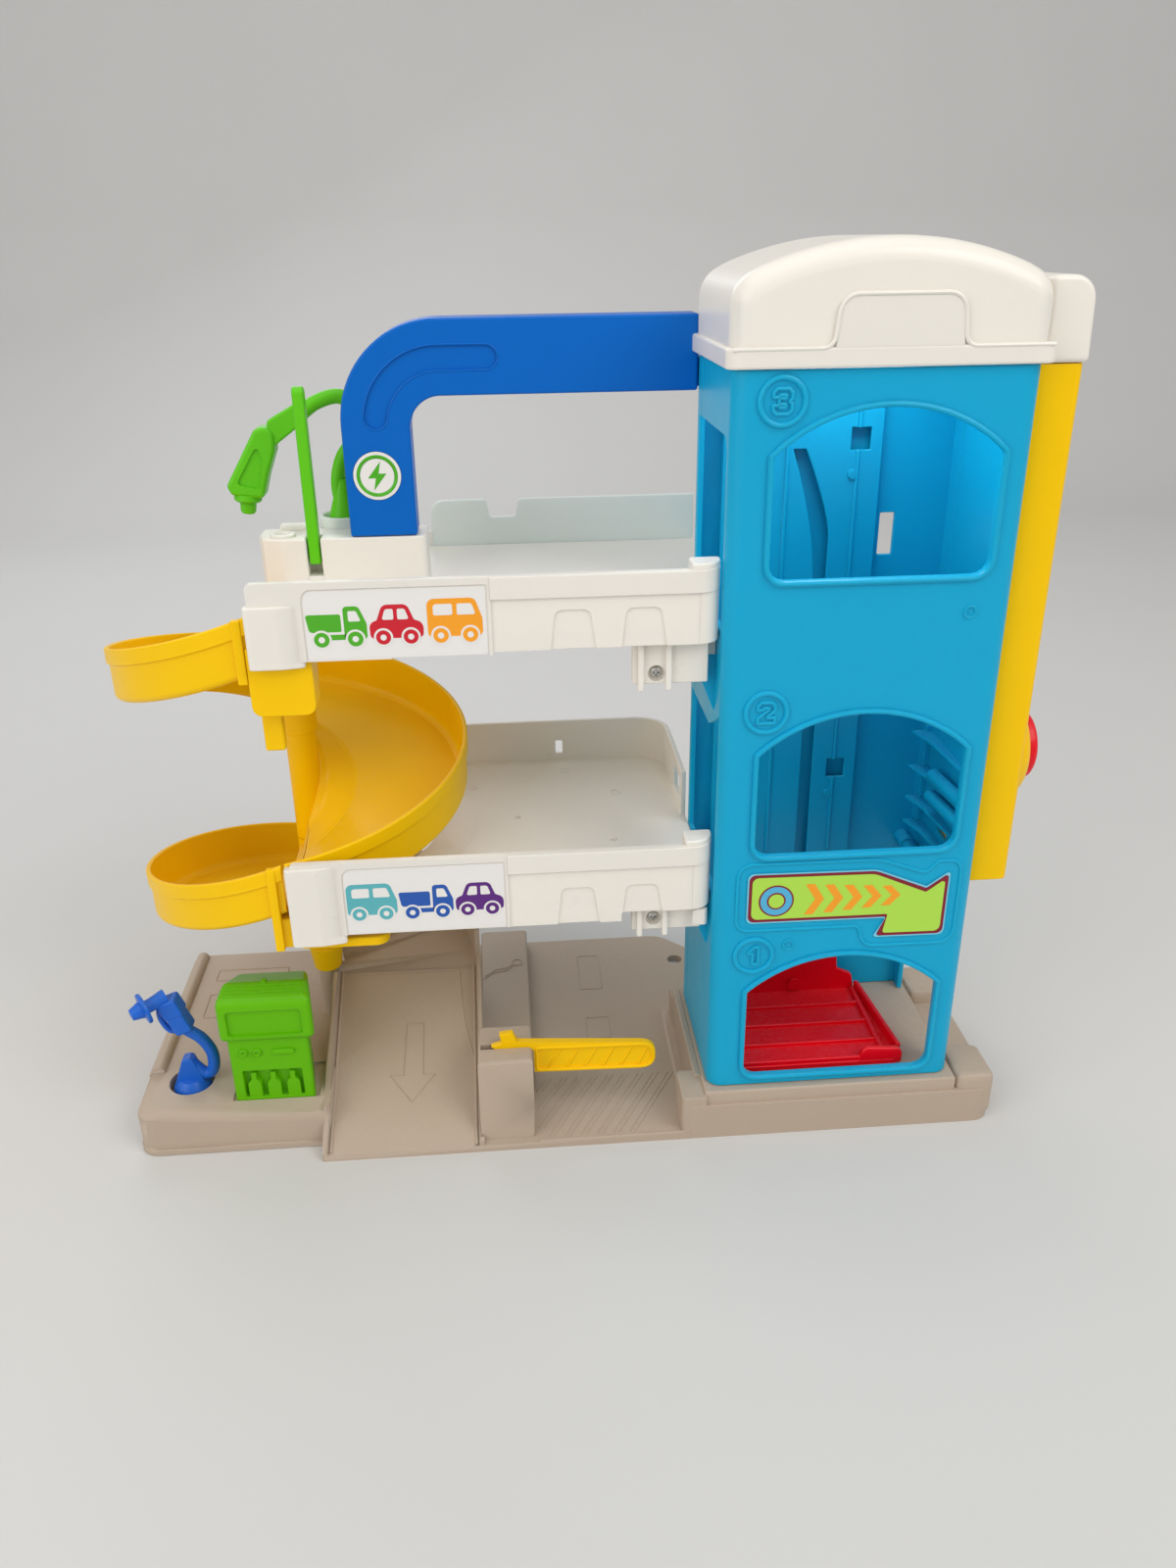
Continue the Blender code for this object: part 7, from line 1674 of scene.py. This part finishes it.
@dataclass
class Charger(SwivelArm):
    """Green charger that swivels in its cup on the upper deck."""

    body: str = "charger_hose"
    x: float = CHARGER_FOOT[0]
    y: float = CHARGER_FOOT[1]
    z: float = 289.3
    tube: float = 3.4

    def build(self) -> None:
        """Build the foot, the tube and the handpiece."""
        route = [
            self.at(0.0, 0.0, 1.0), self.at(-2.0, 0.0, 16.0), self.at(1.0, 0.0, 28.0), self.at(8.0, 0.0, 38.0),
            self.at(10.0, 0.0, 48.0), self.at(3.0, -0.4, 56.0), self.at(-8.0, -0.8, 54.0), self.at(-17.0, -1.2, 48.0),
        ]
        foot = [(0.0, 0.0), (7.4, 0.0), (7.8, 0.6), (7.2, 3.0), (5.0, 10.0), (3.6, 17.0), (3.2, 19.0), (0.0, 19.0)]
        pieces = [
            bar("tube", flow(route, 8), self.tube, sides=7),
            turned("foot", foot, self.at(0.0, 0.0, 0.0), steps=40),
            self.pin(-9.0),
        ]
        pieces += self.handpiece()
        self.dress(join("charger_moulding", pieces), GREEN, "green", ["charger_hose"])

    def handpiece(self) -> List[Piece]:
        """Grip, body with a sunk triangle, collar and tip."""
        depth = self.y - 1.2
        grip = self.side_view(
            [
                (-13.0, 46.4, 1.2), (-15.0, 55.2, 2.0), (-31.0, 46.6, 2.0),
                (-31.5, 33.2, 2.0),
            ],
            5,
        )
        shell = self.side_view(
            [
                (-27.6, 45.4, 5.0), (-37.0, 43.2, 4.0), (-52.8, 17.6, 3.0),
                (-50.6, 13.6, 2.0), (-36.2, 11.6, 2.4), (-33.0, 22.0, 4.0),
                (-28.6, 33.0, 4.0),
            ],
            6,
        )
        recess = self.side_view(
            [
                (-36.4, 36.6, 1.4), (-48.0, 18.6, 1.6), (-37.4, 16.2, 1.6),
                (-34.6, 30.0, 3.0),
            ],
            5,
        )
        main = prism("shell", shell, Plane.FRONT, depth - 6.2, depth + 6.4, 1.8, 4)
        carve(main, prism("recess", recess, Plane.FRONT, depth - 12.0, depth - 5.1))
        finish_surface(main)
        handle = prism("grip", grip, Plane.FRONT, depth - 4.8, depth + 5.0, 1.4, 4)
        aim = Vector((-0.1, 0.0, -1.0)).normalized()
        place = self.at(-44.2, -1.2, 13.4)
        collar = [(0.0, 0.0), (6.4, 0.0), (6.4, 2.8), (5.6, 3.6), (3.8, 3.9), (3.6, 8.0), (2.8, 9.2), (0.0, 9.4)]
        tip = turned("tip", collar, place, steps=36, heading=tuple(aim))
        return [main, handle, tip]


@dataclass
class TollGate(SubAssembly):
    """Yellow gate arm with a ribbed paddle and a forked tail, on its post."""

    body: str = "gate_arm"
    front: float = 16.3
    floor: float = 17.1
    ribs: int = 6

    def build(self) -> None:
        """Build the arm and its ribs."""
        self.skin("gate_arm", YELLOW, "yellow", 0.5, 3, 3.0)
        low_left, low_right = Vector((-83.0, 31.9)), Vector((-27.0, 30.5))
        high_left, high_right = Vector((-83.0, 42.9)), Vector((-27.0, 41.2))
        pieces = []
        for number in range(self.ribs):
            share = 0.1 + 0.8 * number / (self.ribs - 1)
            lower = low_left.lerp(low_right, share)
            upper = high_left.lerp(high_right, min(0.98, share + 0.1))
            points = [(lower.x, self.floor + 0.05, lower.y), (upper.x, self.floor + 0.05, upper.y)]
            pieces.append(bar(f"rib_{number}", points, 0.75, sides=3))
        frame_line = rounded([(-83.9, 30.4, 1.6), (-25.0, 29.0, 5.6), (-25.0, 42.6, 5.6), (-83.9, 43.9, 1.6)], 6)
        pieces.append(bead("rim", frame_line, Plane.FRONT, self.front + 0.1, 0.8))
        self.dress(join("gate_arm_ribs", pieces), YELLOW, "yellow")


@dataclass
class LaneGate(SubAssembly):
    """Green barrier that stands in the slot of the upper deck."""

    body: str = "lane_gate"

    def build(self) -> None:
        """Build the barrier."""
        outline = rounded([(81.2, 274.6, 1.6), (87.8, 274.6, 1.6), (87.8, 353.0, 3.2), (81.2, 353.0, 3.2)], 8)
        bar_piece = prism("lane_gate_bar", outline, Plane.SIDE, -178.7, -173.5, 1.1, 4)
        self.dress(bar_piece, GREEN, "green", ["lane_gate"])


@dataclass
class Lift(SubAssembly):
    """Red lift platform and its carriage behind the guide plate."""

    body: str = "platform"
    left: float = 4.0
    right: float = 102.0
    front: float = 8.0
    back: float = 72.4
    low: float = 26.8
    floor: float = 30.7

    def platform(self) -> None:
        """Floor with ribs, tall back, low side wall and corner wall."""
        outline = rounded(
            [
                (self.left, self.front, 2.0), (self.right, self.front, 6.0), (self.right - 6.0, self.back, 6.0),
                (self.left, self.back, 1.0),
            ],
            6,
        )
        wall = rounded(
            [
                (10.0, 27.4, 0.0), (94.0, 27.4, 2.0), (92.0, 39.7, 4.0), (83.6, 43.7, 2.0), (80.6, 74.7, 5.0),
                (20.0, 74.7, 5.0),
            ],
            6,
        )
        rim = [(95.4, 71.0), (101.2, 13.0), (98.6, 13.0), (92.8, 71.0)]
        corner = rounded([(77.0, 28.0, 0.0), (100.6, 28.0, 0.0), (100.6, 36.8, 4.0), (80.4, 38.4, 4.0)], 6)
        pieces = [
            prism("floor", outline, Plane.FLOOR, self.low, self.floor, 0.6, 3),
            prism("back_wall", wall, Plane.FRONT, 71.9, 74.4, 0.8, 3),
            prism("rim", rim[::-1], Plane.FLOOR, 27.6, 36.2, 0.9, 3),
            prism("corner", corner, Plane.FRONT, 8.2, 11.2, 1.0, 3),
            block("sill", (5.0, 8.6, 28.2), (94.0, 10.6, 33.0), 0.6),
        ]
        for number in range(1, 4):
            y = self.front + (self.back - self.front) * number / 4.0
            pieces.append(block(f"rib_{number}", (5.4, y - 0.9, 28.6), (94.4, y + 0.9, 32.6), 0.6))
        pieces.append(block("step", (90.6, 11.4, 28.6), (93.2, 70.0, 33.2), 0.8))
        self.dress(join("lift_platform", pieces), RED, "red", ["elevator_platform"])

    def build(self) -> None:
        """Build the platform, its pin and the carriage."""
        self.platform()
        self.skin("guide_pin", RED, "red", 0.2, 2)
        self.body = "carriage"
        self.skin("lift_carriage", RED, "red", 0.4, 2)


@dataclass
class Base(SubAssembly):
    """Grey base: station platform, exit lane, gate post, floor and tower plinth."""

    front: float = -6.0
    lane_low: float = 3.0
    lane_rise: float = 42.904
    lane_run: float = 96.0
    lane_left: float = -188.0
    lane_right: float = -114.0
    station_top: float = 23.0
    floor_top: float = 4.0
    strip_top: float = 15.0
    line: float = 0.36
    stripes: int = 9
    stripe_pitch: float = 8.1

    def lane(self, y: float) -> float:
        """Height of the exit lane at a depth."""
        return self.lane_low + self.lane_rise * (y - self.front) / self.lane_run

    def on_lane(self, pairs: Outline) -> List[Triple]:
        """Points laid on the sloping lane."""
        return [(x, y, self.lane(y)) for x, y in pairs]

    def lane_marks(self) -> Piece:
        """Arrow, fold line and kerb lines of the exit lane."""
        arrow = [
            (-151.2, 59.2), (-142.4, 59.2), (-142.2, 31.8), (-136.1, 31.6), (-147.9, 18.0), (-159.2, 32.0),
            (-152.2, 31.8),
        ]
        made = [bar("arrow", self.on_lane(arrow), self.line, closed=True, sides=2)]
        fold = self.on_lane([(self.lane_left + 1.0, 89.0), (-123.5, 88.6)])
        made.append(bar("fold", fold, 0.5, sides=2))
        seam = self.on_lane([(-123.5, 88.6), (-121.0, 62.0), (-116.4, 40.0)])
        made.append(bar("seam", flow(seam, 6), self.line, sides=2))
        for name, x in (("kerb_line_left", self.lane_left + 1.3), ("kerb_line_right", self.lane_right - 1.3)):
            made.append(bar(name, self.on_lane([(x, -4.5), (x, 90.0)]), 0.9, sides=3))
        return join("lane_marks", made)

    def floor_marks(self) -> Piece:
        """Diagonal stripes and parking bay outlines on the floor."""
        made = []
        z = self.floor_top
        slope = 1.768
        top = 42.0
        for number in range(self.stripes):
            x = -77.3 + self.stripe_pitch * number
            low = max(-2.4, top - (x + 82.6) * slope)
            foot = x - (top - low) / slope
            for side in (-1.35, 1.35):
                made.append(bar("stripe", [(foot + side, low, z), (x + side, top, z)], self.line, sides=2))
        for low_x, low_y, high_x, high_y in ((-54.4, 122.8, -41.7, 158.6), (-53.9, 75.0, -41.0, 94.4)):
            made.append(bead("bay", rounded_box((low_x, low_y), (high_x, high_y), 0.8, 3), Plane.FLOOR, z, self.line))
        made.append(bar("front_lip", [(-84.0, -5.3, z), (-12.0, -5.3, z)], 0.7, sides=3))
        return join("floor_marks", made)

    def station_marks(self) -> Piece:
        """Parking outlines on the station and the moulded hose on the strip."""
        made = []
        z = self.station_top
        for low_y, high_y in ((124.0, 134.5), (88.0, 110.0)):
            outline = rounded_box((-265.2, low_y), (-225.1, high_y), 0.8, 3)
            made.append(bead("station_bay", outline, Plane.FLOOR, z, self.line))
        hose = [(-111.3, 122.8, self.strip_top), (-105.5, 128.6, self.strip_top), (-98.6, 130.6, self.strip_top),
                (-94.6, 134.4, self.strip_top)]
        made.append(bar("hose_low", flow(hose, 6), 0.5, sides=2))
        upper = [(x + 1.0, y + 3.0, z0) for x, y, z0 in hose]
        made.append(bar("hose_high", flow(upper, 6), 0.5, sides=2))
        ring = full_circle((-91.8, 138.6), 3.2, 18)
        made.append(bead("hose_end", ring, Plane.FLOOR, self.strip_top, 0.5))
        return join("station_marks", made)

    def rims(self) -> Piece:
        """Foot rim round the station."""
        station = rounded([(-280.9, 6.4, 9.0), (-189.0, 6.4, 1.0), (-189.0, 150.4, 1.0), (-280.9, 150.4, 6.0)], 8)
        made = [bead("station_rim", station, Plane.FLOOR, 1.6, 1.0)]
        return join("base_rims", made)

    def build(self) -> None:
        """Build the base."""
        low, high = self.station_top - 2.6, self.station_top + 2.0
        front_slope = [(4.0, low), (7.0, low), (15.6, self.station_top + 0.02), (15.6, high), (4.0, high)]
        left_slope = [(-284.0, high), (-284.0, low), (-282.0, low), (-273.6, self.station_top + 0.02), (-273.6, high)]
        post_slope = [(-3.0, 4.4), (-2.0, 4.4), (5.4, 43.6), (7.4, 45.02), (7.4, 47.0), (-3.0, 47.0)]
        tools = (
            prism("front_slope", front_slope, Plane.SIDE, -284.0, -189.8),
            prism("left_slope", left_slope, Plane.FRONT, 4.0, 40.6),
            prism("post_slope", post_slope, Plane.SIDE, -113.02, -85.8),
            block("kerb_cut", (-12.0, 16.0, 4.05), (-4.6, 98.6, 21.0), 0.0),
        )
        self.skin("base", TAUPE, "taupe", 0.5, 3, 4.5, tools)
        kerb = block("plinth_kerb", (-5.2, 10.0, 3.0), (-1.5, 87.0, 26.3), 0.7)
        rear = block("plinth_rear", (-5.2, 84.0, 3.0), (-3.0, 98.6, 19.4), 0.5)
        floor_patch = block("floor_patch", (-14.0, 14.0, 2.0), (-4.0, 98.0, 3.98), 0.0)
        corner = rounded([(-13.4, -5.8, 2.5), (-1.0, -5.8, 0.5), (-1.0, 16.4, 0.5), (-13.4, 16.4, 2.5)], 5)
        step = prism("plinth_step", corner, Plane.FLOOR, 1.0, 24.8, 1.6, 4)
        self.dress(join("plinth_corner", [kerb, rear, floor_patch, step]), TAUPE, "taupe")
        for piece in (self.lane_marks(), self.floor_marks(), self.station_marks(), self.rims()):
            self.dress(piece, TAUPE, "taupe")


@dataclass
class Fasteners(SubAssembly):
    """Cross-head screws, each in the place of its frame node."""

    recess_deep: float = 1.3
    recess_wide: float = 0.95
    shifts: ClassVar[Dict[str, Vector]] = {
        "deck_screw_1": Vector((-13.6, 1.3, 2.4)),
        "deck_screw_2": Vector((-13.6, 1.3, -3.1)),
    }

    def screw(self, name: str) -> None:
        """Pan head screw with a cross recess.

        Args:
            name: the screw's node.
        """
        points = [vertex.co.copy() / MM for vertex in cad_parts[name].data.vertices]
        low = Vector([min(p[i] for p in points) for i in range(3)])
        high = Vector([max(p[i] for p in points) for i in range(3)])
        size, middle = high - low, (high + low) / 2.0
        gaps = [abs(size[(i + 1) % 3] - size[(i + 2) % 3]) for i in range(3)]
        along = gaps.index(min(gaps))

        def radial(point: Vector) -> float:
            """Distance of a point from the screw's axis."""
            off = point - middle
            off[along] = 0.0
            return off.length

        head_radius = max(radial(p) for p in points)
        head = [p[along] for p in points if radial(p) > head_radius - 0.15]
        shank = max([radial(p) for p in points if radial(p) < head_radius - 0.2] or [head_radius * 0.5])
        sign = 1.0 if sum(head) / len(head) > middle[along] else -1.0
        length, cap = size[along], max(head) - min(head)
        cap = min(max(cap, 1.2), length * 0.5)
        origin = -SHIFT
        profile = [
            (0.0, 0.0), (shank * 0.5, 0.0), (shank, 1.2), (shank, length - cap), (head_radius * 0.97, length - cap),
            (head_radius, length - cap + 0.25), (head_radius * 0.96, length - cap * 0.45),
            (head_radius * 0.78, length - cap * 0.16), (head_radius * 0.4, length - 0.02), (0.0, length),
        ]
        piece = turned(f"{name}_head", profile, tuple(origin), steps=32)
        reach, half = head_radius * 0.62, self.recess_wide / 2.0
        low_z, high_z = length - self.recess_deep, length + 1.0
        for wide, deep in ((reach, half), (half, reach)):
            corner = Vector((wide, deep, 0.0))
            low_end = tuple(origin - corner + Vector((0, 0, low_z)))
            high_end = tuple(origin + corner + Vector((0, 0, high_z)))
            carve(piece, block("recess", low_end, high_end, 0.0))
        middle += self.shifts.get(name, Vector((0.0, 0.0, 0.0)))
        way = Vector((0.0, 0.0, 0.0))
        way[along] = sign
        foot = middle - way * (length / 2.0)
        turn = Vector(UPWARDS).rotation_difference(way).to_matrix().to_4x4()
        piece.data.transform(Matrix.Translation(foot * MM) @ turn)
        finish_surface(piece)
        self.dress(piece, STEEL, "steel", [name])

    def build(self) -> None:
        """Build every screw of the frame."""
        for name in sorted(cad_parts):
            if "_screw_" in name:
                self.screw(name)


@dataclass(frozen=True)
class Lamp:
    """Soft area light."""

    name: str
    place: Triple
    aim: Triple
    size: float
    power: float
    tint: Triple = (1.0, 1.0, 1.0)

    def hang(self) -> None:
        """Make the light."""
        lamp = bpy.data.lights.new(self.name, "AREA")
        lamp.shape = "SQUARE"
        lamp.size = self.size
        lamp.energy = self.power
        lamp.color = self.tint
        holder = bpy.data.objects.new(self.name, lamp)
        holder.location = self.place
        way = Vector(self.aim) - Vector(self.place)
        holder.rotation_euler = way.to_track_quat("-Z", "Y").to_euler()
        bpy.context.scene.collection.objects.link(holder)


@dataclass
class Studio:
    """Pale floor, a soft sky and five soft lights."""

    floor_tint: Triple = (0.66, 0.655, 0.645)
    sky_tint: Triple = (0.9, 0.9, 0.9)
    sky_strength: float = 0.56
    floor_end: float = 1.3
    floor_half: float = 4.0
    wall_top: float = 3.2
    lamps: Tuple[Lamp, ...] = (
        Lamp("key_light", (1.0, -1.0, 1.35), (0.0, 0.0, 0.2), 1.0, 11.0, (1.0, 0.985, 0.95)),
        Lamp("fill_light", (-1.3, -1.1, 0.9), (0.0, 0.0, 0.2), 1.4, 11.0, (1.0, 0.99, 0.97)),
        Lamp("top_light", (-0.1, -0.2, 1.6), (0.0, 0.0, 0.1), 1.2, 4.5),
        Lamp("rim_light", (-0.5, 1.3, 1.1), (0.0, 0.0, 0.2), 0.9, 5.0, (0.95, 0.97, 1.0)),
        Lamp("inner_light", (0.125, -0.046, 0.384), (0.125, -0.046, 0.0), 0.05, 0.085),
    )

    def build(self) -> None:
        """Lay the floor, light the sky and hang the lamps."""
        bend = [(self.floor_end + x, z) for x, z in arc((0.0, 0.5), 0.5, -80.0, -5.0, 14)]
        sweep = [(-3.0, 0.0), (self.floor_end, 0.0), *bend, (1.82, self.wall_top)]
        bpy.ops.mesh.primitive_grid_add(x_subdivisions=1, y_subdivisions=len(sweep) - 1, size=2.0)
        floor = settle(bpy.context.active_object, "studio_floor")
        for vertex in floor.data.vertices:
            row = round((vertex.co.y + 1.0) / 2.0 * (len(sweep) - 1))
            vertex.co = Vector((vertex.co.x * self.floor_half, *sweep[row]))
        finish_surface(floor, math.radians(60.0))
        surface = bpy.data.materials.new("pale_floor")
        surface.use_nodes = True
        tree = surface.node_tree
        shader = tree.nodes["Principled BSDF"]
        place = node(tree, "ShaderNodeTexCoord")
        cloud = noise(tree, place.outputs["Object"], 6.0, 3.0)
        shade = node(tree, "ShaderNodeHueSaturation", {"Color": (*self.floor_tint, 1.0)})
        value = maths(tree, "ADD", maths(tree, "MULTIPLY", cloud, 0.03), 0.985)
        fill(tree, shade, {"Value": value})
        fill(tree, shader, {"Base Color": shade.outputs[0], "Roughness": 0.8})
        floor.data.materials.append(surface)
        scene = bpy.context.scene
        scene.world = scene.world or bpy.data.worlds.new("studio")
        scene.world.use_nodes = True
        sky = scene.world.node_tree.nodes["Background"]
        sky.inputs["Color"].default_value = (*self.sky_tint, 1.0)
        sky.inputs["Strength"].default_value = self.sky_strength
        scene.view_settings.view_transform = "Standard"
        for lamp in self.lamps:
            lamp.hang()


@dataclass(frozen=True)
class Viewpoint:
    """Camera at the photograph's viewing angle."""

    place: Triple = (-91.3, -468.6, 411.0)
    yaw: float = -4.135
    pitch: float = 24.701
    roll: float = -0.798
    lens: float = 27.36

    def build(self) -> None:
        """Make the camera."""
        yaw, pitch, roll = (math.radians(a) for a in (self.yaw, self.pitch, self.roll))
        right = Vector((math.cos(yaw), math.sin(yaw), 0.0))
        ahead_flat = Vector((-math.sin(yaw), math.cos(yaw), 0.0))
        up = math.sin(pitch) * ahead_flat + Vector((0.0, 0.0, math.cos(pitch)))
        ahead = math.cos(pitch) * ahead_flat - Vector((0.0, 0.0, math.sin(pitch)))
        side = math.cos(roll) * right + math.sin(roll) * up
        top = math.cos(roll) * up - math.sin(roll) * right
        turn = Matrix((side, top, -ahead)).transposed().to_4x4()
        lens = bpy.data.cameras.new("photo_view")
        lens.lens = self.lens
        lens.sensor_width = 36.0
        lens.clip_start = 0.01
        holder = bpy.data.objects.new("photo_view", lens)
        holder.matrix_world = Matrix.Translation(spot(*self.place)) @ turn
        bpy.context.scene.collection.objects.link(holder)
        bpy.context.scene.camera = holder


def note_sizes() -> None:
    """Bring the view layer up to date."""
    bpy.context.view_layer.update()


def main() -> None:
    """Build the looks of the whole garage."""
    logging.basicConfig(level=logging.INFO, format="%(name)s %(message)s")
    effects = Effects()
    Viewpoint().build()
    Studio().build()
    groups = (
        Tower, ArrowLabel, Roof, SideHousing, Decks, SpiralRamp, CarryArch, FuelPump, PumpHose, Charger, TollGate,
        LaneGate, Lift, Base, Fasteners,
    )
    for group in groups:
        LOG.info("building %s", group.__name__)
        group(effects).build()
    note_sizes()


if __name__ == "__main__":
    main()
